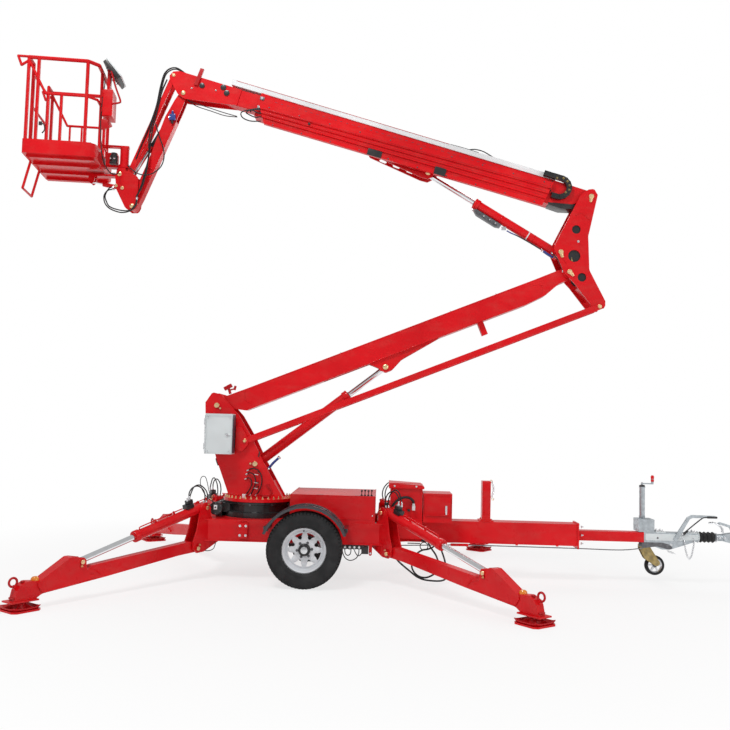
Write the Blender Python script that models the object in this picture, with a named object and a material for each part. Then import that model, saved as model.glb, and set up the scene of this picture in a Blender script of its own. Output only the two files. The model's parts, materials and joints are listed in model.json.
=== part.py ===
"""Towable articulated boom lift, standing on its four outriggers with the boom raised.

Metres, +Z up. +X points to the towing coupling, -Y is the side with the control box.
Sizes along X are written from the wheel axle; one empty, "machine", moves the whole
lift so that the origin lies under the middle of its bounding box, on the ground.
"""
import math

import bmesh
import bpy
from mathutils import Matrix, Vector

# Driving dimensions, in metres
AXLE_FROM_CENTRE = -0.6134     # the axle lies this far behind the middle of the whole length
GAP = 0.0003                   # between pieces that touch
SLIDING = 0.0004               # round a rod that slides in its barrel
RUNNING = 0.006                # between pieces that move past each other
PLATE = 0.014                  # thick plates of turret, riser and brackets
SHEET = 0.003                  # sheet metal of boxes and fenders
ROUND = 10                     # sides of pins and small tubes

# Wheels
TYRE_RADIUS = 0.350
TYRE_WIDTH = 0.205
TYRE_BEAD_RADIUS = 0.197
WHEEL_Y = 0.752                # wheel centre from the middle of the trailer
HUB_RADIUS = 0.046
RIM_WIDTH = 0.160
RIM_WINDOWS = 8
FENDER_RADIUS = 0.408
FENDER_WIDTH = 0.225
FENDER_ARC = math.radians(138)

# Chassis
RAIL_TOP = 0.570
RAIL_DEPTH = 0.205
RAIL_WIDTH = 0.070
RAIL_Y = 0.450                 # outer face of a side rail
FRAME_REAR_X = -1.040
FRAME_FRONT_X = 0.735
DECK = 0.012
DECK_TOP = RAIL_TOP - 0.001
AXLE_SIDE = 0.060
CABINET_X = (-0.180, 0.640)
CABINET_Y = (-0.450, 0.420)
CABINET_TOP = 0.822

# Drawbar
BEAM_HALF_WIDTH = 0.100
BEAM_TOP = 0.574
BEAM_BOTTOM = 0.360
BEAM_END_X = 2.665
FLANGE = 0.016
INNER_BAR_HALF_WIDTH = 0.060
INNER_BAR_TOP = 0.508
INNER_BAR_BOTTOM = 0.412
REST_X = (1.708, 1.792)
REST_HALF_WIDTH = 0.060
REST_TOP = 0.972
BATTERY_X = (0.785, 1.098)
BATTERY_Y = (-0.300, 0.060)
BATTERY_TOP = 0.895
BATTERY_LID_TOP = 0.948
SIDE_BOX_X = (1.106, 1.388)
SIDE_BOX_Y = (-0.300, 0.030)
SIDE_BOX_TOP = 0.855
COUPLING_X = (3.320, 3.872)
COUPLING_HALF_WIDTH = 0.052
COUPLING_TOP = 0.512
COUPLING_HEIGHT = 0.472        # centre of the shaft and of the ball socket
BELLOWS_LENGTH = 0.165
BELLOWS_RADIUS = 0.050
COUPLER_TIP_X = 4.345
JACK_X = 3.348
JACK_Y = 0.104
JACK_TUBE_RADIUS = 0.028
JACK_TOP = 0.950
JACK_TUBE_BOTTOM = 0.455
JOCKEY_X = 3.497
JOCKEY_Z = 0.178
JOCKEY_RADIUS = 0.099
JOCKEY_WIDTH = 0.052

# Outriggers, in the upright plane of each leg: outward from the hinge, and up
LEG_HINGE_Y = 0.520
LEG_HINGE_Z = 0.303
LEG_REACH = 1.770              # hinge to foot centre
LEG_HALF_WIDTH = 0.040
LEG_PIN_RADIUS = 0.017
LEG_ROD_PIN = (1.250, 0.318)
LEG_BARREL_PIN = (-0.100, 0.676)
LEG_BARREL_RADIUS = 0.045
LEG_ROD_RADIUS = 0.027
LEG_GLAND_FROM_PIN = 0.820
FOOT_HALF = 0.125
LEG_CORNERS = (                # name, hinge X, side of the trailer, bearing of the leg from +X
    ("rear_right", -1.090, -1, 180.0 + 54.5),
    ("rear_left", -1.090, 1, 180.0 - 54.5),
    ("front_right", 0.820, -1, -52.0),
    ("front_left", 0.820, 1, 52.0),
)

# Slewing base and turret
SLEW_X = -0.547
SLEW_RADIUS = 0.340
SLEW_TOP = 0.724
RING_PLATE = 0.030
TURRET_PLATE_Y = 0.126         # inner face of the two turret plates and riser plates
PIN_A = (-0.980, 1.665)        # lower boom on turret
PIN_C = (-0.682, 1.316)        # level link on turret
PIN_G = (-0.575, 1.088)        # lower cylinder on turret
CONTROL_BOX_X = (-1.052, -0.782)
CONTROL_BOX_Y = (-0.330, -0.165)
CONTROL_BOX_Z = (1.185, 1.580)
BOX_DOOR = 0.018

# Lower boom, level link, riser
BOOM_LENGTH = 3.800            # between the pins A and B
BOOM_ANGLE = math.radians(22.16)
LOWER_BOOM_HALF_WIDTH = 0.090
LOWER_BOOM_TOP = 0.056         # above the line of its pins
LOWER_BOOM_BOTTOM = -0.151
WALL = 0.008
PIN_H_ALONG = 1.725            # lower cylinder's pin along the boom, and below the pins' line
PIN_H_DOWN = -0.237
STUB_ALONG = 2.790             # where the boom lies on its post when stowed
STUB_LENGTH = 0.136
FORK_Y = 0.057                 # inner faces of the forks that hold the rods' eyes
LINK_DEPTH = 0.060
LINK_WIDTH = 0.032
BIG_PIN_RADIUS = 0.024
PIN_P1_FROM_B = (-0.090, 0.200)
PIN_E_FROM_B = (0.211, 0.775)
LOWER_BARREL_RADIUS = 0.051
LOWER_ROD_RADIUS = 0.027
LOWER_GLAND_FROM_PIN = 1.160

# Upper boom
UPPER_ANGLE = math.radians(180.0 - 15.85)
UPPER_LENGTH = 3.550           # outer tube, from the pin E
UPPER_HALF_WIDTH = 0.088
UPPER_TOP = 0.068
UPPER_BOTTOM = -0.182
PIN_R_ALONG = 1.655
PIN_R_DOWN = -0.226
UPPER_BARREL_RADIUS = 0.047
UPPER_ROD_RADIUS = 0.026
UPPER_GLAND_FROM_PIN = 1.010
FLY_HALF_WIDTH = 0.068
FLY_TOP = 0.048
FLY_BOTTOM = -0.130
FLY_START = 0.420
FLY_END = 4.060
GUARD_THICKNESS = 0.046
TRAY_TOP = 0.124
TRAY_HALF_WIDTH = 0.078
TRAY_REACH = (0.380, 3.880)

# Jib and basket
PIN_J = (-1.463, 4.899)
JIB_LENGTH = 1.297
JIB_ANGLE = math.radians(248.0)
LINK_OFFSET = (-0.108, 0.188)  # from the jib's pins to the jib link's pins
JIB_HALF_WIDTH = 0.052
HEAD_Y = 0.067                 # inner faces of the plates that hold the jib at both ends
JIB_DEPTH = 0.098
JIB_PLATE = 0.010
JIB_BARREL_RADIUS = 0.027
JIB_ROD_RADIUS = 0.017
JIB_FOOT = (round(PIN_J[0] + JIB_LENGTH * math.cos(JIB_ANGLE), 4),
            round(PIN_J[1] + JIB_LENGTH * math.sin(JIB_ANGLE), 4))
PIN_L = (JIB_FOOT[0] - 0.1431, JIB_FOOT[1] + 0.3336)    # levelling hinge
PIN_M = (JIB_FOOT[0] - 0.1731, JIB_FOOT[1] + 0.2096)    # levelling cylinder on the jib's bracket
PIN_N = (JIB_FOOT[0] - 0.4461, JIB_FOOT[1] + 0.2656)    # its other end, on the carrier
COLUMN_X = PIN_L[0] + 0.022
COLUMN_RADIUS = 0.046
COLUMN_Z = (PIN_L[1] + 0.070, PIN_L[1] + 0.292)
BASKET_X = (COLUMN_X - 0.900, COLUMN_X - 0.198)         # before it is swung about the column
BASKET_HALF_LENGTH = 0.495
BASKET_CORNER = 0.110
BASKET_SWING = math.radians(8.0)
FLOOR_Z = COLUMN_Z[0] - 0.028
TRAY_HEIGHT = 0.140
RAIL_TOP_Z = FLOOR_Z + 0.963
RAIL_MID_Z = FLOOR_Z + 0.608
TUBE = 0.019                   # radius of the basket's main tubes
THIN_TUBE = 0.013
POST = 0.0172                  # posts, a little thinner than the rails they carry
THIN_POST = 0.0115
GATE_HALF = 0.300              # half the width of the entrance

PAINTS = {                     # colour, roughness, metallic
    "red_paint": ((0.66, 0.012, 0.016), 0.32, 0.0),
    "black_paint": ((0.02, 0.02, 0.022), 0.45, 0.0),
    "zinc": ((0.55, 0.56, 0.57), 0.40, 0.9),
    "chrome": ((0.80, 0.80, 0.82), 0.10, 1.0),
    "rubber": ((0.025, 0.025, 0.027), 0.80, 0.0),
    "rim_paint": ((0.74, 0.75, 0.77), 0.35, 0.2),
    "box_paint": ((0.62, 0.66, 0.68), 0.40, 0.0),
    "white_tray": ((0.85, 0.86, 0.86), 0.45, 0.0),
    "brass": ((0.62, 0.45, 0.18), 0.45, 0.9),
}


def clear_scene():
    for obj in list(bpy.data.objects):
        bpy.data.objects.remove(obj, do_unlink=True)


def paint(name):
    material = bpy.data.materials.get(name)
    if material is None:
        colour, roughness, metallic = PAINTS[name]
        material = bpy.data.materials.new(name)
        material.use_nodes = True
        shader = material.node_tree.nodes["Principled BSDF"]
        shader.inputs["Base Color"].default_value = (*colour, 1.0)
        shader.inputs["Roughness"].default_value = roughness
        shader.inputs["Metallic"].default_value = metallic
    return material


# Points and outlines

def along(start, angle, s, t=0.0):
    """Point s along a direction in the X-Z plane and t to its left, seen from -Y."""
    return (start[0] + s * math.cos(angle) - t * math.sin(angle),
            start[1] + s * math.sin(angle) + t * math.cos(angle))


def over(start, angle, s, t):
    """As along, for a boom that points left: t still counts upward."""
    return along(start, angle, s, -t)


def rounded(corners, steps=1):
    """Outline through corners (x, z, radius), each corner turned into an arc."""
    outline = []
    for i, (x, z, radius) in enumerate(corners):
        corner = Vector((x, z))
        before = Vector(corners[i - 1][:2]) - corner
        after = Vector(corners[(i + 1) % len(corners)][:2]) - corner
        half = before.angle(after) / 2
        reach = min(radius / math.tan(half), before.length * 0.49, after.length * 0.49)
        if radius <= 0.0 or half > math.radians(89):
            outline.append((x, z))
            continue
        radius = reach * math.tan(half)
        middle = corner + (before.normalized() + after.normalized()).normalized() * (radius / math.sin(half))
        first = corner + before.normalized() * reach - middle
        turn = math.pi - 2 * half
        sign = 1.0 if before.cross(after) < 0 else -1.0
        for k in range(steps + 1):
            a = sign * turn * k / steps
            c, s = math.cos(a), math.sin(a)
            outline.append((middle.x + c * first.x - s * first.y, middle.y + s * first.x + c * first.y))
    return outline


# Solids, each one a bmesh with its faces pointing out

def finish(bm):
    bmesh.ops.recalc_face_normals(bm, faces=bm.faces)
    return bm


def prism(outline, low, high):
    """Outline in the X-Z plane, extruded along Y from low to high."""
    bm = bmesh.new()
    near = [bm.verts.new((x, low, z)) for x, z in outline]
    far = [bm.verts.new((x, high, z)) for x, z in outline]
    bm.faces.new(near)
    bm.faces.new(far[::-1])
    for i in range(len(outline)):
        j = (i + 1) % len(outline)
        bm.faces.new((near[j], near[i], far[i], far[j]))
    return finish(bm)


def slab(outline, low, high):
    """Outline in the X-Y plane, extruded along Z from low to high."""
    bm = prism(outline, low, high)
    bmesh.ops.transform(bm, matrix=Matrix(((1, 0, 0, 0), (0, 0, 1, 0), (0, 1, 0, 0), (0, 0, 0, 1))),
                        verts=bm.verts)
    return finish(bm)


def box(x, y, z):
    return prism([(x[0], z[0]), (x[1], z[0]), (x[1], z[1]), (x[0], z[1])], y[0], y[1])


def lathe(profile, base, axis, steps=ROUND, closed=False):
    """Profile of (radius, distance along the axis), turned round the axis."""
    axis = Vector(axis).normalized()
    side = axis.orthogonal().normalized()
    other = axis.cross(side)
    base = Vector(base)
    bm = bmesh.new()
    rings = []
    for radius, height in profile:
        centre = base + axis * height
        if radius < 1e-6:
            rings.append([bm.verts.new(centre)])
        else:
            rings.append([bm.verts.new(centre + radius * (side * math.cos(a) + other * math.sin(a)))
                          for a in (2 * math.pi * (k + 0.5) / steps for k in range(steps))])
    pairs = list(zip(rings, rings[1:]))
    if closed:
        pairs.append((rings[-1], rings[0]))
    for low, high in pairs:
        for k in range(steps):
            n = (k + 1) % steps
            corners = [low[k % len(low)], low[n % len(low)], high[n % len(high)], high[k % len(high)]]
            corners = list(dict.fromkeys(corners))
            bm.faces.new(corners)
    return finish(bm)


def rod(start, end, radius, steps=ROUND):
    start, end = Vector(start), Vector(end)
    length = (end - start).length
    return lathe([(0, 0), (radius, 0), (radius, length), (0, length)], start, end - start, steps)


def pin(centre, radius, low, high, steps=ROUND):
    """Round pin along Y at a point of the X-Z plane."""
    return rod((centre[0], low, centre[1]), (centre[0], high, centre[1]), radius, steps)


def bore_radius(pin_radius):
    """A faceted bore that clears a faceted pin at every angle."""
    return (pin_radius + 2 * GAP) / math.cos(math.pi / ROUND)


def combine(base, others, operation):
    """Boolean of one bmesh with several, by Blender's exact solver."""
    def as_object(bm, name):
        mesh = bpy.data.meshes.new(name)
        bm.to_mesh(mesh)
        bm.free()
        obj = bpy.data.objects.new(name, mesh)
        return obj

    target = as_object(base, "target")
    bpy.context.scene.collection.objects.link(target)
    tools = bpy.data.collections.new("tools")
    bpy.context.scene.collection.children.link(tools)
    members = [as_object(bm, "tool") for bm in others]
    for member in members:
        tools.objects.link(member)
    modifier = target.modifiers.new("combine", "BOOLEAN")
    modifier.operation = operation
    modifier.operand_type = "COLLECTION"
    modifier.collection = tools
    modifier.solver = "EXACT"
    depsgraph = bpy.context.evaluated_depsgraph_get()
    mesh = bpy.data.meshes.new_from_object(target.evaluated_get(depsgraph))
    result = bmesh.new()
    result.from_mesh(mesh)
    bmesh.ops.remove_doubles(result, verts=result.verts, dist=0.00001)
    bmesh.ops.dissolve_degenerate(result, edges=result.edges, dist=0.00001)
    bmesh.ops.dissolve_limit(result, angle_limit=0.001, verts=result.verts, edges=result.edges)
    bpy.data.meshes.remove(mesh)
    for obj in members + [target]:
        old = obj.data
        bpy.data.objects.remove(obj, do_unlink=True)
        bpy.data.meshes.remove(old)
    bpy.data.collections.remove(tools)
    return result


def fuse(*solids):
    return combine(solids[0], solids[1:], "UNION")


def cut(base, *tools):
    return combine(base, tools, "DIFFERENCE")


def moved(bm, matrix):
    bmesh.ops.transform(bm, matrix=matrix, verts=bm.verts)
    return bm


def copied(bm, matrix=None):
    twin = bm.copy()
    return moved(twin, matrix) if matrix is not None else twin


class Machine:
    """The lift: every piece is an object under one empty."""

    def __init__(self):
        self.root = bpy.data.objects.new("machine", None)
        self.root.location = (AXLE_FROM_CENTRE, 0, 0)
        bpy.context.scene.collection.objects.link(self.root)

    def add(self, name, bm, finish_name, origin=(0, 0, 0)):
        """One named piece, with its own origin on its joint's axis."""
        moved(bm, Matrix.Translation(-Vector(origin)))
        mesh = bpy.data.meshes.new(name)
        bm.to_mesh(mesh)
        bm.free()
        mesh.materials.append(paint(finish_name))
        mesh.shade_smooth()
        mesh.set_sharp_from_angle(angle=math.radians(35))
        obj = bpy.data.objects.new(name, mesh)
        obj.parent = self.root
        obj.location = origin
        bpy.context.scene.collection.objects.link(obj)
        return obj


# Wheels and axle

def tyre_solid(side):
    half = TYRE_WIDTH / 2
    shoulder = TYRE_RADIUS - 0.014
    profile = [(TYRE_BEAD_RADIUS, -half * 0.80), (TYRE_BEAD_RADIUS + 0.035, -half * 0.94),
               (TYRE_BEAD_RADIUS + 0.085, -half), (shoulder - 0.020, -half * 0.93),
               (shoulder, -half * 0.80), (TYRE_RADIUS, -half * 0.55), (TYRE_RADIUS, half * 0.55),
               (shoulder, half * 0.80), (shoulder - 0.020, half * 0.93),
               (TYRE_BEAD_RADIUS + 0.085, half), (TYRE_BEAD_RADIUS + 0.035, half * 0.94),
               (TYRE_BEAD_RADIUS, half * 0.80)]
    return lathe(profile, (0, side * WHEEL_Y, TYRE_RADIUS), (0, side, 0), 32, closed=True)


def rim_solid(side):
    """Barrel with a dished disc, eight windows and the bearing hub."""
    outer = TYRE_BEAD_RADIUS - GAP - 0.001
    half = RIM_WIDTH / 2
    profile = [(0, 0.030), (0.075, 0.030), (0.090, 0.012), (0.150, 0.012), (outer - 0.022, 0.030),
               (outer - 0.010, half), (outer, half), (outer, -half), (outer - 0.008, -half),
               (outer - 0.012, 0.004), (0.085, 0.002), (0.070, 0.020), (0, 0.020)]
    wheel = lathe(profile, (0, side * WHEEL_Y, TYRE_RADIUS), (0, side, 0), 28)
    windows = []
    for k in range(RIM_WINDOWS):
        turn = 2 * math.pi * (k + 0.5) / RIM_WINDOWS
        outline = [(0.112, -0.012), (0.150, -0.026), (0.156, 0.0), (0.150, 0.026), (0.112, 0.012)]
        c, s = math.cos(turn), math.sin(turn)
        turned = [(c * u - s * v, s * u + c * v + TYRE_RADIUS) for u, v in outline]
        windows.append(prism(turned, side * WHEEL_Y - 0.05, side * WHEEL_Y + 0.05))
    wheel = cut(wheel, *windows)
    hub = lathe([(0, -0.050), (0.055, -0.050), (0.055, 0.025), (HUB_RADIUS, 0.032), (HUB_RADIUS, 0.070),
                 (0.034, 0.078), (0, 0.078)], (0, side * WHEEL_Y, TYRE_RADIUS), (0, side, 0), 14)
    return fuse(wheel, hub)


def axle_solid():
    """Square axle tube under the rails, with a stub to each hub and its brake drum."""
    top = RAIL_TOP - RAIL_DEPTH - GAP
    tube = box((-AXLE_SIDE / 2, AXLE_SIDE / 2), (-0.640, 0.640), (top - AXLE_SIDE, top))
    parts = []
    for side in (-1, 1):
        parts.append(box((-0.05, 0.05), sorted((side * 0.590, side * 0.625)), (0.270, 0.430)))
        parts.append(rod((0, side * 0.610, TYRE_RADIUS), (0, side * (WHEEL_Y - 0.050 - GAP), TYRE_RADIUS),
                         0.030))
        parts.append(rod((0, side * 0.620, TYRE_RADIUS), (0, side * 0.685, TYRE_RADIUS), 0.125, 20))
    return fuse(tube, *parts)


def fender_solid(side):
    """Curved sheet over the wheel with turned-down edges, on two stays from the rail."""
    inner, outer = side * (WHEEL_Y - FENDER_WIDTH / 2), side * (WHEEL_Y + FENDER_WIDTH / 2)
    steps = 12
    start = math.pi / 2 - FENDER_ARC / 2

    def arc(radius):
        return [(radius * math.cos(start + FENDER_ARC * k / steps),
                 TYRE_RADIUS + radius * math.sin(start + FENDER_ARC * k / steps)) for k in range(steps + 1)]

    def band(low_radius, high_radius, y):
        return prism(arc(high_radius) + arc(low_radius)[::-1], min(y), max(y))

    sheet = band(FENDER_RADIUS - SHEET, FENDER_RADIUS, (inner, outer))
    lips = [band(FENDER_RADIUS - 0.022, FENDER_RADIUS - SHEET / 2, (y, y + direction * SHEET))
            for y, direction in ((inner, side), (outer, -side))]
    stays = []
    for end in (-1, 1):
        stays.append(box(sorted((end * 0.350, end * 0.392)),
                         sorted((side * (RAIL_Y + GAP), inner + side * 0.09)), (0.508, 0.545)))
    return fuse(sheet, *lips, *stays)


# Chassis and drawbar

def corner_frame(corner):
    """Matrix from a leg's own plane (outward, sideways, up) to the trailer."""
    _, hinge_x, side, bearing = corner
    return Matrix.Translation((hinge_x, side * LEG_HINGE_Y, 0)) @ Matrix.Rotation(math.radians(bearing), 4,
                                                                                  "Z")


def bracket_outline():
    """One plate of an outrigger bracket, in the leg's plane."""
    u, z = LEG_BARREL_PIN
    return rounded([(-0.330, RAIL_TOP - RAIL_DEPTH + 0.004, 0), (-0.085, LEG_HINGE_Z - 0.042, 0.05),
                    (0.045, LEG_HINGE_Z - 0.048, 0.045), (0.052, LEG_HINGE_Z + 0.050, 0.05),
                    (0.005, 0.470, 0.10), (u + 0.055, z + 0.050, 0.05), (u - 0.055, z + 0.050, 0.05),
                    (u - 0.065, RAIL_TOP + 0.010, 0.03), (-0.210, RAIL_TOP - 0.004, 0),
                    (-0.330, RAIL_TOP - 0.004, 0)])


def chassis_solid():
    low = RAIL_TOP - RAIL_DEPTH
    rails = []
    for side in (-1, 1):
        rails.append(box((FRAME_REAR_X, FRAME_FRONT_X),
                         sorted((side * (RAIL_Y - RAIL_WIDTH), side * RAIL_Y)),
                         (low, RAIL_TOP)))
    cross = [box((x, x + RAIL_WIDTH), (-RAIL_Y + 0.01, RAIL_Y - 0.01), (low + 0.002, RAIL_TOP - 0.002))
             for x in (FRAME_REAR_X + 0.001, -0.16, FRAME_FRONT_X - RAIL_WIDTH - 0.001)]
    deck = box((FRAME_REAR_X + 0.002, -0.1), (-RAIL_Y + 0.012, RAIL_Y - 0.012), (DECK_TOP - DECK, DECK_TOP))
    plates = []
    for corner in LEG_CORNERS:
        frame = corner_frame(corner)
        for v in (-1, 1):
            inner = LEG_HALF_WIDTH + 0.010 + GAP
            plates.append(moved(prism(bracket_outline(), *sorted((v * inner, v * (inner + PLATE)))), frame))
        reach = LEG_HALF_WIDTH + 0.010 + PLATE + GAP + 0.010
        plates.append(moved(pin((0, LEG_HINGE_Z), LEG_PIN_RADIUS, -reach, reach), frame))
        plates.append(moved(pin(LEG_BARREL_PIN, LEG_PIN_RADIUS, -reach, reach), frame))
    return fuse(rails[0], rails[1], *cross, deck, *plates)


def beam_solid():
    """Outer drawbar tube with end flange, inner bar and the post that holds the stowed boom."""
    start = FRAME_FRONT_X - 0.001 + GAP
    outer = box((start, BEAM_END_X), (-BEAM_HALF_WIDTH, BEAM_HALF_WIDTH), (BEAM_BOTTOM, BEAM_TOP))
    flange = box((BEAM_END_X - FLANGE, BEAM_END_X), (-BEAM_HALF_WIDTH - 0.012, BEAM_HALF_WIDTH + 0.012),
                 (BEAM_BOTTOM - 0.028, BEAM_TOP + 0.012))
    inner = box((BEAM_END_X - 0.1, COUPLING_X[0] - GAP), (-INNER_BAR_HALF_WIDTH, INNER_BAR_HALF_WIDTH),
                (INNER_BAR_BOTTOM, INNER_BAR_TOP))
    post = box(REST_X, (-REST_HALF_WIDTH, REST_HALF_WIDTH), (BEAM_TOP - 0.01, REST_TOP))
    foot = box((REST_X[0] - 0.03, REST_X[1] + 0.03), (-0.08, 0.08), (BEAM_TOP - 0.004, BEAM_TOP + 0.012))
    return fuse(outer, flange, inner, post, foot)


def open_box(x, y, z, wall, open_side):
    """Sheet metal box without one of its walls: '-y' the near one, '+z' the top."""
    inner = [[x[0] + wall, x[1] - wall], [y[0] + wall, y[1] - wall], [z[0] + wall, z[1] - wall]]
    if open_side == "-y":
        inner[1][0] = y[0] - 0.05
    else:
        inner[2][1] = z[1] + 0.05
    return cut(box(x, y, z), box(*inner))


def battery_box_solid():
    x, y = BATTERY_X, BATTERY_Y
    upper = open_box(x, y, (BEAM_TOP + GAP, BATTERY_TOP), SHEET, "+z")
    skirt = box((x[0], x[1]), (y[0], -BEAM_HALF_WIDTH - GAP), (0.412, BEAM_TOP + GAP + SHEET / 2))
    return fuse(upper, skirt)


def battery_lid_solid():
    """Sloped cap that overhangs the box, hinged along its left edge."""
    x, y = BATTERY_X, BATTERY_Y
    low, high = BATTERY_TOP + GAP, BATTERY_LID_TOP
    outline = [(x[0] - 0.016, low), (x[1] + 0.016, low), (x[1] + 0.016, low + 0.020),
               (x[1] - 0.006, high - 0.016), (x[0] - 0.016, high)]
    return prism(outline, y[0] - 0.012, y[1] + 0.012)


def coupling_solid():
    """Galvanised overrun housing, clamped on the inner bar, with the brake lever."""
    x0, x1 = COUPLING_X
    w = COUPLING_HALF_WIDTH
    side = rounded([(x0, COUPLING_TOP, 0), (x1 - 0.02, COUPLING_TOP, 0.01),
                    (x1, COUPLING_HEIGHT + 0.02, 0.01),
                    (x1, COUPLING_HEIGHT - 0.030, 0.01), (3.58, 0.345, 0.03), (3.50, 0.345, 0.03),
                    (x0, 0.405, 0)], 1)
    housing = prism(side, -w, w)
    lever = rounded([(3.600, 0.440, 0.02), (3.640, 0.430, 0.01), (3.775, 0.665, 0.03), (4.030, 0.668, 0.01),
                     (4.030, 0.690, 0.01), (3.760, 0.694, 0.05)], 1)
    return fuse(housing, prism(lever, -w - 0.022, -w + 0.004))


def coupler_solid():
    """Ball coupler on its sliding shaft, with the handle on top."""
    start = COUPLING_X[1] + GAP
    mid = start + BELLOWS_LENGTH
    shaft = rod((start, 0, COUPLING_HEIGHT), (4.2, 0, COUPLING_HEIGHT), 0.024)
    neck = rod((mid + GAP, 0, COUPLING_HEIGHT), (4.16, 0, COUPLING_HEIGHT), 0.036)
    side = rounded([(4.12, COUPLING_HEIGHT + 0.036, 0.01), (4.24, COUPLING_HEIGHT + 0.052, 0.02),
                    (COUPLER_TIP_X - 0.012, COUPLING_HEIGHT + 0.040, 0.02),
                    (COUPLER_TIP_X, COUPLING_HEIGHT, 0.02),
                    (COUPLER_TIP_X - 0.008, COUPLING_HEIGHT - 0.052, 0.01),
                    (4.20, COUPLING_HEIGHT - 0.052, 0.01), (4.12, COUPLING_HEIGHT - 0.036, 0.01)], 1)
    head = prism(side, -0.042, 0.042)
    handle = rounded([(4.215, 0.505, 0), (4.245, 0.505, 0), (4.215, 0.590, 0.01), (4.080, 0.628, 0.01),
                      (4.075, 0.606, 0.01), (4.190, 0.570, 0.01)], 1)
    body = fuse(shaft, neck, head, prism(handle, -0.020, 0.020))
    socket = lathe([(0, 0), (0.026, 0), (0.026, 0.030), (0.018, 0.044), (0, 0.050)],
                   (4.278, 0, COUPLING_HEIGHT - 0.060), (0, 0, 1), 24)
    return cut(body, socket)


def bellows_solid():
    """Rubber boot with five folds, open round the shaft."""
    start = COUPLING_X[1] + GAP
    folds = 5
    pitch = (BELLOWS_LENGTH - GAP) / folds
    outer = []
    for k in range(folds):
        outer += [(BELLOWS_RADIUS - 0.012, k * pitch), (BELLOWS_RADIUS, (k + 0.5) * pitch)]
    outer.append((BELLOWS_RADIUS - 0.012, folds * pitch))
    bore = bore_radius(0.024)
    profile = outer + [(bore, folds * pitch), (bore, 0)]
    return lathe(profile, (start, 0, COUPLING_HEIGHT), (1, 0, 0), 14, closed=True)


def jack_tube_solid():
    tube = rod((JACK_X, JACK_Y, JACK_TUBE_BOTTOM), (JACK_X, JACK_Y, JACK_TOP), JACK_TUBE_RADIUS, 12)
    bore = rod((JACK_X, JACK_Y, JACK_TUBE_BOTTOM - 0.01), (JACK_X, JACK_Y, JACK_TOP - 0.02),
               0.0235 + SLIDING, 12)
    clamp = box((JACK_X - 0.075, JACK_X + 0.075), (INNER_BAR_HALF_WIDTH + GAP, JACK_Y + 0.022),
                (JACK_TUBE_BOTTOM + 0.002, 0.500))
    upper = box((JACK_X - 0.080, JACK_X + 0.078), (-0.050, JACK_Y + 0.022), (COUPLING_TOP + GAP, 0.636))
    crank = rod((JACK_X, JACK_Y, JACK_TOP - 0.01), (JACK_X, JACK_Y, 0.982), 0.010, 10)
    arm = box((JACK_X - 0.010, JACK_X + 0.112), (JACK_Y - 0.010, JACK_Y + 0.010), (0.976, 0.988))
    knob = lathe([(0, 0), (0.012, 0), (0.016, 0.03), (0.014, 0.075), (0, 0.080)],
                 (JACK_X + 0.104, JACK_Y, 0.986), (0, 0, 1), 12)
    return cut(fuse(tube, clamp, upper, crank, arm, knob), bore)


def jack_stem_solid():
    """Inner tube of the jack with the fork of its wheel."""
    stem = rod((JACK_X, JACK_Y, 0.340), (JACK_X, JACK_Y, 0.820), 0.0235, 12)
    half = JOCKEY_WIDTH / 2 + RUNNING
    outline = rounded([(JACK_X - 0.030, 0.372, 0.01), (JACK_X - 0.030, 0.330, 0.02),
                       (JACK_X + 0.02, 0.230, 0.04),
                       (JOCKEY_X - 0.022, JOCKEY_Z - 0.016, 0.02),
                       (JOCKEY_X + 0.022, JOCKEY_Z - 0.016, 0.02),
                       (JOCKEY_X + 0.022, JOCKEY_Z + 0.022, 0.02), (JACK_X + 0.085, 0.330, 0.03),
                       (JACK_X + 0.060, 0.372, 0.01)], 1)
    cheeks = [prism(outline, *sorted((JACK_Y + v * half, JACK_Y + v * (half + 0.006)))) for v in (-1, 1)]
    crown = box((JACK_X - 0.030, JACK_X + 0.060), (JACK_Y - half - 0.003, JACK_Y + half + 0.003),
                (0.345, 0.371))
    spindle = pin((JOCKEY_X, JOCKEY_Z), 0.009, JACK_Y - half - 0.010, JACK_Y + half + 0.010)
    return fuse(stem, *cheeks, crown, spindle)


def jockey_solid():
    half = JOCKEY_WIDTH / 2
    bore = bore_radius(0.009)
    profile = [(bore, -half), (0.030, -half), (0.034, -half * 0.4), (JOCKEY_RADIUS - 0.030, -half * 0.4),
               (JOCKEY_RADIUS - 0.024, -half * 0.9), (JOCKEY_RADIUS, -half * 0.5),
               (JOCKEY_RADIUS, half * 0.5), (JOCKEY_RADIUS - 0.024, half * 0.9),
               (JOCKEY_RADIUS - 0.030, half * 0.4), (0.034, half * 0.4), (0.030, half), (bore, half)]
    return lathe(profile, (JOCKEY_X, JACK_Y, JOCKEY_Z), (0, 1, 0), 20, closed=True)


# Outriggers

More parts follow.
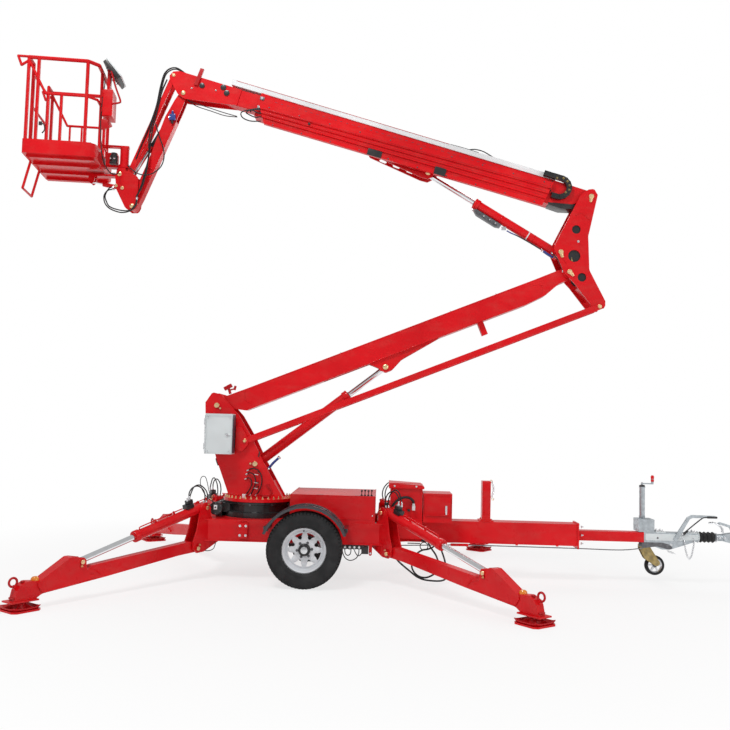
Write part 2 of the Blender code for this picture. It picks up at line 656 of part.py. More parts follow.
def leg_solid():
    """Box beam from the hinge to the foot, in the leg's plane, with lamp, eye and swivel foot."""
    w = LEG_HALF_WIDTH
    reach = LEG_REACH
    pu, pz = LEG_ROD_PIN
    side = rounded([(-0.036, LEG_HINGE_Z - 0.036, 0.036), (0.20, LEG_HINGE_Z - 0.050, 0.05),
                    (1.00, 0.165, 0),
                    (reach - 0.165, 0.108, 0.05), (reach - 0.115, 0.078, 0), (reach + 0.070, 0.078, 0),
                    (reach + 0.045, 0.185, 0.05), (reach - 0.04, 0.222, 0.03), (reach - 0.150, 0.210, 0),
                    (pu + 0.090, 0.249, 0.02), (pu - 0.085, 0.246, 0.03), (pu - 0.110, 0.276, 0.02),
                    (0.06, 0.368, 0.03), (-0.036, LEG_HINGE_Z + 0.036, 0.036)], 1)
    body = prism(side, -w, w)
    cheek = rounded([(pu - 0.045, pz - 0.045, 0.04), (pu - 0.060, 0.210, 0.03), (1.050, 0.190, 0.02),
                     (1.300, 0.150, 0), (reach - 0.160, 0.120, 0), (reach - 0.110, 0.195, 0.02),
                     (pu + 0.110, pz + 0.050, 0.012), (pu + 0.070, pz + 0.050, 0.012),
                     (pu, pz + 0.036, 0.03),
                     (pu - 0.040, pz + 0.030, 0.035)], 1)
    cheeks = [prism(cheek, *sorted((v * (w - 0.002), v * (w + 0.010)))) for v in (-1, 1)]
    cover = prism(rounded([(pu + 0.070, pz + 0.048, 0), (pu + 0.110, pz + 0.048, 0.012),
                           (reach - 0.110, 0.196, 0),
                           (reach - 0.150, 0.200, 0), (pu + 0.095, 0.236, 0)], 1), -w - 0.004, w + 0.004)
    flange = slab([(reach - 0.125, -0.070), (reach + 0.110, -0.070), (reach + 0.110, 0.070),
                   (reach - 0.125, 0.070)], 0.068, 0.080)
    neck = rod((reach, 0, 0.030), (reach, 0, 0.075), 0.022)
    cup = lathe([(0, 0.010), (0.050, 0.010), (0.044, 0.050), (0.030, 0.058), (0, 0.058)], (reach, 0, 0),
                (0, 0, 1), 16)
    foot = slab(rounded([(reach - FOOT_HALF, -FOOT_HALF, 0.03), (reach + FOOT_HALF, -FOOT_HALF, 0.03),
                         (reach + FOOT_HALF, FOOT_HALF, 0.03), (reach - FOOT_HALF, FOOT_HALF, 0.03)], 1),
                0.0, 0.014)
    eye = lathe([(0.034 + 0.009 * math.cos(a), 0.009 * math.sin(a)) for a in
                 (2 * math.pi * k / 6 for k in range(6))], (reach + 0.065, 0, 0.222), (0, 1, 0), 12,
                closed=True)
    boss = box((reach + 0.03, reach + 0.06), (-0.012, 0.012), (0.165, 0.200))
    lamp = lathe([(0, 0), (0.030, 0), (0.032, 0.022), (0.022, 0.040), (0, 0.046)],
                 (reach - 0.125, 0, 0.200), (0.15, 0, 1), 12)
    eyes = pin((0, LEG_HINGE_Z), 0.036, -w - 0.010, w + 0.010, ROUND)
    body = fuse(body, *cheeks, cover, flange, neck, cup, foot, eye, boss, lamp, eyes)
    return cut(body, pin((0, LEG_HINGE_Z), bore_radius(LEG_PIN_RADIUS), -0.2, 0.2))


def cylinder_barrel(start, end, length, radius, rod_radius, eye, half_width, pin_radius, shoulder=0.012,
                    floor=0.045):
    """Barrel from its base eye towards end, bored for its rod."""
    a, b = Vector((start[0], 0, start[1])), Vector((end[0], 0, end[1]))
    d = (b - a).normalized()
    tube = rod(a + d * eye * 0.8, a + d * length, radius, 14)
    head = rod(a + d * (length - 0.055), a + d * length, radius + shoulder * 0.5, 14)
    ear = pin(start, eye, -half_width, half_width, 12)
    solid = fuse(tube, head, ear)
    bore = rod(a + d * (eye + floor), a + d * (length + 0.01), rod_radius + SLIDING, 12)
    return cut(solid, bore, pin(start, bore_radius(pin_radius), -0.3, 0.3))


def cylinder_rod(start, end, from_start, radius, eye, half_width):
    """Rod that runs in the barrel, with its eye and a pin stub at its end."""
    a, b = Vector((start[0], 0, start[1])), Vector((end[0], 0, end[1]))
    d = (b - a).normalized()
    shaft = rod(a + d * from_start, b - d * eye * 0.5, radius, 12)
    return fuse(shaft, pin(end, eye, -half_width, half_width, 12))


# Turret, booms and riser

def slew_base_solid():
    """Black slewing ring with its worm housing."""
    ring = lathe([(0, DECK_TOP + GAP), (SLEW_RADIUS, DECK_TOP + GAP), (SLEW_RADIUS, RAIL_TOP + 0.05),
                  (SLEW_RADIUS - 0.02, RAIL_TOP + 0.06), (SLEW_RADIUS - 0.02, SLEW_TOP - 0.03),
                  (SLEW_RADIUS, SLEW_TOP - 0.025), (SLEW_RADIUS, SLEW_TOP), (0, SLEW_TOP)],
                 (SLEW_X, 0, 0), (0, 0, 1), 32)
    x = SLEW_X - SLEW_RADIUS - 0.026
    worm = rod((x, -0.345, 0.660), (x, 0.250, 0.660), 0.052, 20)
    web = box((x - 0.01, SLEW_X - 0.2), (-0.190, 0.190), (0.612, 0.700))
    feet = box((x - 0.03, x + 0.03), (-0.18, 0.18), (DECK_TOP + GAP, 0.64))
    return fuse(ring, worm, web, feet)


def turret_solid():
    """Ring plate with two tall side plates, cross walls, outer lugs and the pins it carries."""
    low = SLEW_TOP + GAP
    disc = lathe([(0, low), (SLEW_RADIUS + 0.012, low), (SLEW_RADIUS + 0.012, low + RING_PLATE),
                  (0, low + RING_PLATE)],
                 (SLEW_X, 0, 0), (0, 0, 1), 32)
    ax, az = PIN_A
    cx, cz = PIN_C
    side = rounded([(-0.815, low + 0.01, 0), (-0.275, low + 0.01, 0), (-0.505, 1.133, 0),
                    (cx + 0.075, cz + 0.02, 0.02),
                    (-0.745, 1.560, 0.02), (ax + 0.075, az + 0.072, 0.05), (ax + 0.01, az + 0.145, 0.09),
                    (ax - 0.120, az + 0.095, 0.10), (ax - 0.112, az - 0.085, 0), (-0.968, 1.136, 0.05)])
    inner = TURRET_PLATE_Y
    plates = [prism(side, *sorted((v * inner, v * (inner + PLATE)))) for v in (-1, 1)]
    back = prism([(-0.800, low + 0.01), (-0.786, low + 0.01), (-0.942, 1.140), (-1.040, 1.440),
                  (-1.056, 1.440), (-0.958, 1.134)], -inner - 0.002, inner + 0.002)
    front = prism([(-0.310, low + 0.01), (-0.292, low + 0.01), (-0.400, 0.920), (-0.416, 0.912)],
                  -inner - 0.002, inner + 0.002)
    link_y = inner + PLATE
    lugs = []
    lug = rounded([(cx - 0.075, cz + 0.150, 0.02), (cx - 0.030, cz + 0.130, 0.02),
                   (cx + 0.040, cz + 0.020, 0.03),
                   (cx + 0.030, cz - 0.045, 0.03), (cx - 0.030, cz - 0.110, 0.02),
                   (cx - 0.075, cz - 0.090, 0.02)], 1)
    outer = link_y + 2 * GAP + LINK_WIDTH
    for v in (-1, 1):
        lugs.append(prism(lug, *sorted((v * outer, v * (outer + 0.012)))))
        lugs.append(box((cx - 0.090, cx - 0.062), sorted((v * (link_y - 0.002), v * (outer + 0.012))),
                        (cz - 0.085, cz + 0.140)))
    pins = [pin(PIN_A, BIG_PIN_RADIUS, -inner - PLATE - 0.014, inner + PLATE + 0.014),
            pin(PIN_C, 0.018, -outer - 0.022, outer + 0.022),
            pin(PIN_G, BIG_PIN_RADIUS, -inner - PLATE - 0.014, inner + PLATE + 0.014)]
    return fuse(disc, *plates, back, front, *lugs, *pins)


def control_box_solid():
    x, y, z = CONTROL_BOX_X, CONTROL_BOX_Y, CONTROL_BOX_Z
    shell = open_box(x, (y[0] + BOX_DOOR + GAP, y[1]), z, SHEET, "-y")
    foot = box((x[0] + 0.08, x[1] - 0.06), (y[1] - 0.001, -TURRET_PLATE_Y - PLATE - GAP),
               (z[0] + 0.05, z[1] - 0.05))
    return fuse(shell, foot)


def lower_boom_points():
    a = PIN_A
    b = along(a, BOOM_ANGLE, BOOM_LENGTH)
    h = along(a, BOOM_ANGLE, PIN_H_ALONG, PIN_H_DOWN)
    d = (b[0] + PIN_C[0] - a[0], b[1] + PIN_C[1] - a[1])
    p1 = (b[0] + PIN_P1_FROM_B[0], b[1] + PIN_P1_FROM_B[1])
    e = (b[0] + PIN_E_FROM_B[0], b[1] + PIN_E_FROM_B[1])
    return b, h, d, p1, e


PIN_B, PIN_H, PIN_D, PIN_P1, PIN_E = lower_boom_points()
PIN_R = over(PIN_E, UPPER_ANGLE, PIN_R_ALONG, PIN_R_DOWN)
PIN_K = along(PIN_J, JIB_ANGLE, JIB_LENGTH)
PIN_J2 = (PIN_J[0] + LINK_OFFSET[0], PIN_J[1] + LINK_OFFSET[1])
PIN_K2 = (PIN_K[0] + LINK_OFFSET[0], PIN_K[1] + LINK_OFFSET[1])


def lower_boom_solid():
    """Hollow box boom with plate ends, cylinder gusset and the stub that lands on the post."""
    def at(s, t, r=0.0):
        return (*along(PIN_A, BOOM_ANGLE, s, t), r)

    top, bottom, w = LOWER_BOOM_TOP, LOWER_BOOM_BOTTOM, LOWER_BOOM_HALF_WIDTH
    side = rounded([at(-0.062, -0.062, 0.06), at(0.130, -0.085, 0.04), at(0.250, bottom, 0.03),
                    at(BOOM_LENGTH - 0.520, bottom, 0), at(BOOM_LENGTH - 0.300, bottom + 0.020, 0.05),
                    at(BOOM_LENGTH - 0.130, -0.070, 0.05), at(BOOM_LENGTH + 0.062, -0.062, 0.06),
                    at(BOOM_LENGTH + 0.062, 0.062, 0.06), at(BOOM_LENGTH - 0.350, top, 0),
                    at(0.330, top, 0.05), at(0.150, 0.058, 0.05), at(-0.062, 0.062, 0.06)])
    hollow = prism([at(0.40, bottom + WALL)[:2], at(BOOM_LENGTH - 0.55, bottom + WALL)[:2],
                    at(BOOM_LENGTH - 0.55, top - WALL)[:2], at(0.40, top - WALL)[:2]], -w + WALL, w - WALL)
    slot = prism([at(PIN_H_ALONG - 0.640, bottom - 0.05)[:2], at(PIN_H_ALONG + 0.110, bottom - 0.05)[:2],
                  at(PIN_H_ALONG + 0.110, bottom + 0.05)[:2], at(PIN_H_ALONG - 0.640, bottom + 0.05)[:2]],
                 -FORK_Y + 0.0005, FORK_Y - 0.0005)
    bosses = [pin(point, 0.060, -TURRET_PLATE_Y + GAP, TURRET_PLATE_Y - GAP,
                  14) for point in (PIN_A, PIN_B)]
    gusset = rounded([at(PIN_H_ALONG - 0.180, bottom + 0.030),
                      at(PIN_H_ALONG - 0.075, PIN_H_DOWN + 0.020, 0.03),
                      at(PIN_H_ALONG - 0.045, PIN_H_DOWN - 0.052, 0.045),
                      at(PIN_H_ALONG + 0.050, PIN_H_DOWN - 0.050, 0.045),
                      at(PIN_H_ALONG + 0.180, PIN_H_DOWN + 0.015, 0.05),
                      at(PIN_H_ALONG + 0.640, bottom + 0.002, 0.05),
                      at(PIN_H_ALONG + 0.640, bottom + 0.030)])
    gussets = [prism(gusset, *sorted((v * FORK_Y, v * (FORK_Y + PLATE)))) for v in (-1, 1)]
    washers = [pin(PIN_H, 0.034, *sorted((v * (FORK_Y + 0.002),
                                          v * (FORK_Y + PLATE + 0.008)))) for v in (-1, 1)]
    stub = prism([at(STUB_ALONG - 0.030, bottom + 0.005)[:2],
                  at(STUB_ALONG - 0.030, bottom - STUB_LENGTH)[:2],
                  at(STUB_ALONG + 0.030, bottom - STUB_LENGTH)[:2],
                  at(STUB_ALONG + 0.030, bottom + 0.005)[:2]],
                 -0.034, 0.034)
    boom = cut(prism(side, -w, w), hollow, slot)
    boom = fuse(boom, *bosses, *gussets, *washers, stub)
    bores = [pin(point, bore_radius(BIG_PIN_RADIUS), -0.3, 0.3) for point in (PIN_A, PIN_B)]
    return cut(boom, *bores)


def level_link_solid():
    """Two square bars, one each side, on one cross pin through the riser."""
    inner = TURRET_PLATE_Y + PLATE + GAP
    angle = math.atan2(PIN_D[1] - PIN_C[1], PIN_D[0] - PIN_C[0])
    length = math.hypot(PIN_D[1] - PIN_C[1], PIN_D[0] - PIN_C[0])
    half = LINK_DEPTH / 2

    def at(s, t, r=0.0):
        return (*along(PIN_C, angle, s, t), r)

    side = rounded([at(-0.036, -half, half), at(length + 0.038, -half, half),
                    at(length + 0.038, half, half), at(-0.036, half, half)], 2)
    bars = [prism(side, *sorted((v * inner, v * (inner + LINK_WIDTH)))) for v in (-1, 1)]
    cross = pin(PIN_D, 0.020, -inner - LINK_WIDTH - 0.010, inner + LINK_WIDTH + 0.010)
    link = fuse(bars[0], bars[1], cross)
    return cut(link, pin(PIN_C, bore_radius(0.018), -0.4, 0.4))


def riser_solid():
    """Two large plates with round holes, their spacers and the pins for both booms."""
    bx, bz = PIN_B
    ex, ez = PIN_E
    px, pz = PIN_P1
    dx, dz = PIN_D
    side = rounded([(ex - 0.105, ez + 0.020, 0.05), (ex - 0.010, ez + 0.085, 0.05),
                    (ex + 0.075, ez + 0.060, 0.06),
                    (ex - 0.027, ez - 0.408, 0.05), (bx + 0.198, bz + 0.022, 0.05),
                    (dx + 0.075, dz + 0.035, 0.05),
                    (dx + 0.020, dz - 0.062, 0.05), (dx - 0.075, dz + 0.010, 0.03),
                    (bx + 0.055, bz - 0.125, 0.04),
                    (bx - 0.055, bz - 0.010, 0.05), (px - 0.075, pz + 0.045, 0.05)])
    inner = TURRET_PLATE_Y
    holes = [((bx + 0.045, bz + 0.163), 0.062), ((bx + 0.063, bz + 0.434), 0.044),
             ((bx + 0.124, bz - 0.053), 0.044)]
    plates = [prism(side, *sorted((v * inner, v * (inner + PLATE)))) for v in (-1, 1)]
    spacers = [prism([(bx + 0.180, bz + 0.055), (bx + 0.194, bz + 0.055), (bx + 0.180, bz + 0.360),
                      (bx + 0.166, bz + 0.360)], -inner - 0.002, inner + 0.002),
               prism([(bx + 0.100, bz - 0.150), (bx + 0.225, bz - 0.270), (bx + 0.235, bz - 0.258),
                      (bx + 0.110, bz - 0.138)], -inner - 0.002, inner + 0.002),
               pin((bx + 0.072, bz + 0.300), 0.020, -inner - 0.010, inner + 0.010)]
    reach = inner + PLATE + 0.014
    pins = [pin(point, BIG_PIN_RADIUS, -reach, reach) for point in (PIN_B, PIN_P1, PIN_E)]
    riser = fuse(*plates, *spacers, *pins)
    bores = [pin(centre, radius, -0.3, 0.3, 24) for centre, radius in holes]
    bores.append(pin(PIN_D, bore_radius(0.020), -0.3, 0.3))
    return cut(riser, *bores)


def upper_boom_solid():
    """Outer telescope tube, open at its far end, with pivot lugs, ribbed hose guard and cylinder bracket."""
    def at(s, t, r=0.0):
        return (*over(PIN_E, UPPER_ANGLE, s, t), r)

    top, bottom, w = UPPER_TOP, UPPER_BOTTOM, UPPER_HALF_WIDTH
    side = rounded([at(0.24, top, 0.02), at(UPPER_LENGTH, top, 0), at(UPPER_LENGTH, bottom, 0),
                    at(0.36, bottom, 0.03), at(0.22, bottom + 0.035, 0.03), at(0.05, -0.060, 0.05),
                    at(-0.062, -0.062, 0.06), at(-0.062, 0.062, 0.06)])
    tube = prism(side, -w, w)
    hollow = prism([at(0.300, top - WALL)[:2], at(UPPER_LENGTH + 0.1, top - WALL)[:2],
                    at(UPPER_LENGTH + 0.1, bottom + WALL)[:2], at(0.300, bottom + WALL)[:2]], -w + WALL,
                   w - WALL)
    slot = prism([at(PIN_R_ALONG - 0.360, bottom - 0.05)[:2], at(PIN_R_ALONG + 0.060, bottom - 0.05)[:2],
                  at(PIN_R_ALONG + 0.060, bottom + 0.02)[:2], at(PIN_R_ALONG - 0.360, bottom + 0.02)[:2]],
                 -FORK_Y + 0.0005, FORK_Y - 0.0005)
    boss = pin(PIN_E, 0.060, -TURRET_PLATE_Y + GAP, TURRET_PLATE_Y - GAP, 14)
    bracket = rounded([at(PIN_R_ALONG - 0.130, bottom + 0.006),
                       at(PIN_R_ALONG - 0.060, PIN_R_DOWN + 0.01, 0.03),
                       at(PIN_R_ALONG - 0.052, PIN_R_DOWN - 0.062, 0.04),
                       at(PIN_R_ALONG + 0.060, PIN_R_DOWN - 0.066, 0.04),
                       at(PIN_R_ALONG + 0.640, bottom - 0.030, 0.02),
                       at(PIN_R_ALONG + 0.660, bottom + 0.006)], 1)
    brackets = [prism(bracket, *sorted((v * FORK_Y, v * (FORK_Y + PLATE)))) for v in (-1, 1)]
    ovals = []
    for k in range(3):
        c = at(PIN_R_ALONG + 0.190 + 0.150 * k, PIN_R_DOWN - 0.008 + 0.012 * k)
        ovals.append(moved(prism(rounded([(-0.042, -0.015, 0.014), (0.042, -0.015, 0.014),
                                          (0.042, 0.015, 0.014),
                                          (-0.042, 0.015, 0.014)], 1), -0.09, 0.09),
                           Matrix.Translation((c[0], 0,
                                               c[1])) @ Matrix.Rotation(math.pi - UPPER_ANGLE + 0.06, 4,
                                                                        "Y")))
    washers = [pin(PIN_R, 0.034, *sorted((v * (FORK_Y + 0.002),
                                          v * (FORK_Y + PLATE + 0.008)))) for v in (-1, 1)]
    boom = cut(tube, hollow, slot)
    plates = [cut(plate, *[copied(oval) for oval in ovals]) for plate in brackets]
    mouth = cut(prism([at(UPPER_LENGTH - 0.080, top - 0.002)[:2], at(UPPER_LENGTH - 0.002, top - 0.002)[:2],
                       at(UPPER_LENGTH - 0.002, bottom + 0.002)[:2],
                       at(UPPER_LENGTH - 0.080, bottom + 0.002)[:2]],
                      -w + 0.002, w - 0.002),
                prism([at(UPPER_LENGTH - 0.1, FLY_TOP + GAP)[:2], at(UPPER_LENGTH + 0.1, FLY_TOP + GAP)[:2],
                       at(UPPER_LENGTH + 0.1, FLY_BOTTOM - GAP)[:2],
                       at(UPPER_LENGTH - 0.1, FLY_BOTTOM - GAP)[:2]],
                      -FLY_HALF_WIDTH - GAP, FLY_HALF_WIDTH + GAP))
    boom = fuse(boom, boss, *plates, *washers, mouth, hose_guard_solid())
    return cut(boom, pin(PIN_E, bore_radius(BIG_PIN_RADIUS), -0.3, 0.3))


def hose_guard_solid():
    """Long ribbed cover of the hoses on the near side of the upper boom."""
    def at(s, t):
        return over(PIN_E, UPPER_ANGLE, s, t)

    near = -UPPER_HALF_WIDTH + 0.002
    side = [at(0.400, 0.032), at(UPPER_LENGTH - 0.02, -0.060), at(UPPER_LENGTH - 0.13, -0.246),
            at(0.450, -0.232)]
    guard = prism(side, near - GUARD_THICKNESS, near)
    grooves = []
    for share in (0.30, 0.52, 0.74):
        start = Vector(side[0]).lerp(Vector(side[3]), share)
        end = Vector(side[1]).lerp(Vector(side[2]), share)
        run = (end - start).normalized()
        up = Vector((-run.y, run.x)) * 0.011
        grooves.append(prism([tuple(start - run * 0.1 - up), tuple(end + run * 0.1 - up),
                              tuple(end + run * 0.1 + up), tuple(start - run * 0.1 + up)],
                             near - GUARD_THICKNESS - 0.01, near - GUARD_THICKNESS + 0.012))
    return cut(guard, *grooves)


def cable_tray_solid():
    """White channel on top of the boom, open upward."""
    def at(s, t):
        return over(PIN_E, UPPER_ANGLE, s, t)

    s0, s1 = TRAY_REACH
    w = TRAY_HALF_WIDTH
    low = UPPER_TOP + GAP
    body = prism([at(s0, low), at(s1, low), at(s1, TRAY_TOP), at(s0 + 0.06, TRAY_TOP)], -w, w)
    trough = prism([at(s0 - 0.1, low + 0.006), at(s1 - 0.01, low + 0.006), at(s1 - 0.01, TRAY_TOP + 0.1),
                    at(s0 - 0.1, TRAY_TOP + 0.1)], -w + 0.006, w - 0.006)
    return cut(body, trough)


def cable_carrier_solid():
    """Chain of the cable carrier where it turns round the root of the upper boom."""
    near = -UPPER_HALF_WIDTH - GAP
    centre_s, centre_t, radius, half = 0.330, 0.004, 0.098, 0.026
    run = []
    for k in range(5):
        run.append((0.330 + 0.046 * (4 - k), centre_t + radius, 0.0))
    for k in range(1, 9):
        a = math.pi * k / 8
        run.append((centre_s - radius * math.sin(a), centre_t + radius * math.cos(a), a))
    run.append((centre_s + 0.046, centre_t - radius, math.pi))
    links = []
    for k, (s, t, _) in enumerate(run[:-1]):
        a = Vector(over(PIN_E, UPPER_ANGLE, s, t))
        b = Vector(over(PIN_E, UPPER_ANGLE, run[k + 1][0], run[k + 1][1]))
        d = (b - a).normalized()
        n = Vector((-d.y, d.x))
        shrink = 0.003 if k % 2 else 0.0
        corners = [a - d * 0.010 - n * half, b + d * 0.010 - n * half, b + d * 0.010 + n * half,
                   a - d * 0.010 + n * half]
        links.append(prism([tuple(c) for c in corners], near - 0.044 + shrink, near))
    return fuse(*links)


def fly_boom_solid():
    """Inner telescope tube with the jib's forked head."""
    def at(s, t, r=0.0):
        return (*over(PIN_E, UPPER_ANGLE, s, t), r)

    w = FLY_HALF_WIDTH
    tube = prism([at(FLY_START, FLY_TOP)[:2], at(FLY_END, FLY_TOP)[:2], at(FLY_END, FLY_BOTTOM)[:2],
                  at(FLY_START, FLY_BOTTOM)[:2]], -w, w)
    side_y, top_t, low_t = UPPER_HALF_WIDTH - WALL - GAP, UPPER_TOP - WALL - GAP, UPPER_BOTTOM + WALL + GAP
    pads = []
    for start in (FLY_START, FLY_START + 0.34):
        pads.append(prism([at(start, FLY_TOP - 0.04)[:2], at(start + 0.07, FLY_TOP - 0.04)[:2],
                           at(start + 0.07, top_t)[:2], at(start, top_t)[:2]], -side_y, side_y))
        for v in (-1, 1):
            pads.append(prism([at(start, low_t)[:2], at(start + 0.07, low_t)[:2],
                               at(start + 0.07, FLY_BOTTOM + 0.03)[:2], at(start, FLY_BOTTOM + 0.03)[:2]],
                              *sorted((v * (FORK_Y + 0.0015), v * side_y))))
    jx, jz = PIN_J
    kx, kz = PIN_J2
    head = rounded([at(FLY_END - 0.300, FLY_TOP - 0.004), (kx + 0.060, kz + 0.045, 0.03),
                    (kx - 0.045, kz + 0.035, 0.04),
                    (kx - 0.040, kz - 0.045, 0.04), (jx - 0.060, jz - 0.010, 0.04),
                    (jx + 0.010, jz - 0.060, 0.05),
                    at(FLY_END - 0.120, FLY_BOTTOM - 0.030, 0.04), at(FLY_END - 0.300, FLY_BOTTOM + 0.004)],
                   1)
    heads = [prism(head, *sorted((v * HEAD_Y, v * (HEAD_Y + JIB_PLATE)))) for v in (-1, 1)]
    reach = w + JIB_PLATE + 0.010
    pins = [pin(PIN_J, 0.017, -reach, reach), pin(PIN_J2, 0.014, -reach, reach)]
    return fuse(tube, *heads, *pins, *pads)


def jib_solid():
    """Two curved cheeks at the head that run into a box arm, with the lower eye."""
    def at(s, t, r=0.0):
        return (*along(PIN_J, JIB_ANGLE, s, t), r)

    half = JIB_DEPTH / 2
    w = JIB_HALF_WIDTH
    gap = HEAD_Y - GAP
    cheek = rounded([at(-0.036, -0.036, 0.036), at(0.10, -0.062, 0.05), at(0.30, -0.080, 0.10),
                     at(0.84, -half + 0.002, 0.05),
                     at(0.84, half - 0.002), at(0.15, 0.045, 0.05), at(-0.036, 0.036, 0.036)], 1)
    cheeks = [prism(cheek, *sorted((v * 0.040, v * w))) for v in (-1, 1)]
    arm = prism(rounded([at(0.780, -half), at(JIB_LENGTH - 0.10, -half),
                         at(JIB_LENGTH + 0.040, -0.040, 0.038),
                         at(JIB_LENGTH + 0.040, 0.040, 0.038), at(JIB_LENGTH - 0.12, half),
                         at(0.780, half)], 1), -w, w)
    back = prism([at(0.30, half - 0.010)[:2], at(0.80, half - 0.010)[:2], at(0.80, half - 0.001)[:2],
                  at(0.30, half - 0.001)[:2]], -w + 0.002, w - 0.002)
    eyes = [pin(PIN_J, 0.036, *sorted((v * 0.034, v * gap))) for v in (-1, 1)]
    foot = pin(PIN_K, 0.040, -gap, gap)
    jib = fuse(arm, *cheeks, back, *eyes, foot)
    return cut(jib, pin(PIN_J, bore_radius(0.017), -0.3, 0.3), pin(PIN_K, bore_radius(0.017), -0.3, 0.3))


def jib_link_solid():
    """Two thin bars parallel to the jib, tied by a tube near their head."""
    def at(s, t, r=0.0):
        return (*along(PIN_J2, JIB_ANGLE, s, t), r)

    outline = rounded([at(-0.026, -0.026, 0.026), at(JIB_LENGTH + 0.026, -0.026, 0.026),
                       at(JIB_LENGTH + 0.026, 0.026, 0.026), at(-0.026, 0.026, 0.026)], 1)
    gap = HEAD_Y - GAP
    bars = [prism(outline, *sorted((v * (gap - 0.014), v * gap))) for v in (-1, 1)]
    tie = pin(along(PIN_J2, JIB_ANGLE, 0.30), 0.016, -gap + 0.004, gap - 0.004)
    link = fuse(*bars, tie)
    return cut(link, pin(PIN_J2, bore_radius(0.014), -0.3, 0.3), pin(PIN_K2, bore_radius(0.014), -0.3, 0.3))


def jib_bracket_solid():
    """Pair of plates at the foot of the jib, with pins for jib, link and levelling hinge."""
    kx, kz = PIN_K
    mx, mz = PIN_K2
    lx, lz = PIN_L
    w = HEAD_Y
    outline = rounded([(kx - 0.010, kz - 0.062, 0.05), (kx + 0.055, kz - 0.010, 0.05),
                       (kx + 0.055, kz + 0.30, 0.03),
                       (lx + 0.120, lz + 0.020, 0.03), (lx + 0.020, lz + 0.050, 0.04),
                       (lx - 0.050, lz + 0.010, 0.04),
                       (mx - 0.060, mz - 0.020, 0.05), (kx - 0.070, kz - 0.020, 0.05)], 1)
    plates = [prism(outline, *sorted((v * w, v * (w + JIB_PLATE)))) for v in (-1, 1)]
    reach = w + JIB_PLATE + 0.010
    pins = [pin(PIN_K, 0.017, -reach, reach), pin(PIN_L, 0.017, -reach, reach),
            pin(PIN_M, 0.012, -reach, reach)]
    pins += [pin(PIN_K2, 0.014, *sorted((v * 0.050, v * reach))) for v in (-1, 1)]
    return fuse(*plates, *pins)


def rotator_solid():
    """Levelled carrier: hinge block, rotator column, and the arm below the basket."""
    lx, lz = PIN_L
    nx, nz = PIN_N
    gap = HEAD_Y - GAP
    block = prism(rounded([(lx - 0.045, lz - 0.040, 0.035), (lx + 0.040, lz - 0.040, 0.035),
                           (lx + 0.062, COLUMN_Z[0] - 0.002, 0.01),
                           (lx - 0.030, COLUMN_Z[0] - 0.002, 0.01)], 1),
                  -gap, gap)
    column = rod((COLUMN_X, 0, COLUMN_Z[0] - 0.02), (COLUMN_X, 0, COLUMN_Z[1]), COLUMN_RADIUS, 24)
    arm = box((nx - 0.050, lx), (-0.045, 0.045), (lz - 0.016, lz + 0.004))
    lugs = [prism(rounded([(nx - 0.028, nz - 0.028, 0.026), (nx + 0.028, nz - 0.028, 0.026),
                           (nx + 0.034, lz - 0.010, 0), (nx - 0.034, lz - 0.010, 0)], 1),
                  *sorted((v * 0.026, v * 0.036))) for v in (-1, 1)]
    return cut(fuse(block, column, arm, *lugs), pin(PIN_L, bore_radius(0.017), -0.3, 0.3))


def swing():
    """Matrix that turns the basket about the rotator column."""
    foot = Vector((COLUMN_X, 0, 0))
    return Matrix.Translation(foot) @ Matrix.Rotation(BASKET_SWING, 4, "Z") @ Matrix.Translation(-foot)


def basket_outline(inset=0.0):
    x0, x1 = BASKET_X
    y = BASKET_HALF_LENGTH
    r = BASKET_CORNER
    return rounded([(x0 + inset, -y + inset, 0.02), (x1 - inset, -y + inset, r), (x1 - inset, y - inset, r),
                    (x0 + inset, y - inset, 0.02)], 3)


def basket_floor_solid():
    """Shallow tray with ribs below, the sleeve round the column, the motor and the step loop."""
    rim = slab(basket_outline(), FLOOR_Z, FLOOR_Z + TRAY_HEIGHT)
    pocket = slab(basket_outline(0.004), FLOOR_Z + 0.006, FLOOR_Z + TRAY_HEIGHT + 0.05)
    tray = cut(rim, pocket)
    x0, x1 = BASKET_X
    ribs = [box((x0 + 0.030, x1 - 0.030), (y - 0.030, y + 0.030), (FLOOR_Z - 0.025, FLOOR_Z + 0.002))
            for y in (-0.40, -0.15, 0.15, 0.40)]
    arm = box((x1 - 0.06, COLUMN_X), (-0.040, 0.040), (COLUMN_Z[0] + 0.004, COLUMN_Z[0] + 0.028))
    sleeve = rod((COLUMN_X, 0, COLUMN_Z[0] + 0.004), (COLUMN_X, 0, COLUMN_Z[0] + 0.040),
                 COLUMN_RADIUS + 0.014, 24)
    motor = box((x1 + 0.018, COLUMN_X - 0.066), (-0.060, 0.060), (COLUMN_Z[0] + 0.020, COLUMN_Z[0] + 0.150))
    loop = []
    for y in (-0.17, 0.17):
        loop.append(rod((x0 + 0.012, y, FLOOR_Z + 0.04), (x0 - 0.060, y, FLOOR_Z - 0.270), THIN_TUBE, 6))
    loop.append(rod((x0 - 0.060, -0.17, FLOOR_Z - 0.270), (x0 - 0.060, 0.17, FLOOR_Z - 0.270), THIN_TUBE,
                    6))
    solid = fuse(tray, *ribs, arm, sleeve, motor, *loop)
    bore = rod((COLUMN_X, 0, COLUMN_Z[0] - 0.05), (COLUMN_X, 0, COLUMN_Z[0] + 0.3),
               bore_radius(COLUMN_RADIUS), 24)
    return moved(cut(solid, bore), swing())


def tube_run(points, radius, steps=7):
    """Bent tube through a list of points: straight lengths with a ball at every bend."""
    solids = []
    for a, b in zip(points, points[1:]):
        solids.append(rod(a, b, radius, steps))
    for p in points[1:-1]:
        solids.append(ball(p, radius * 1.04))
    return solids


def ball(centre, radius):
    bm = bmesh.new()
    bmesh.ops.create_icosphere(bm, subdivisions=1, radius=radius, matrix=Matrix.Translation(centre))
    return finish(bm)


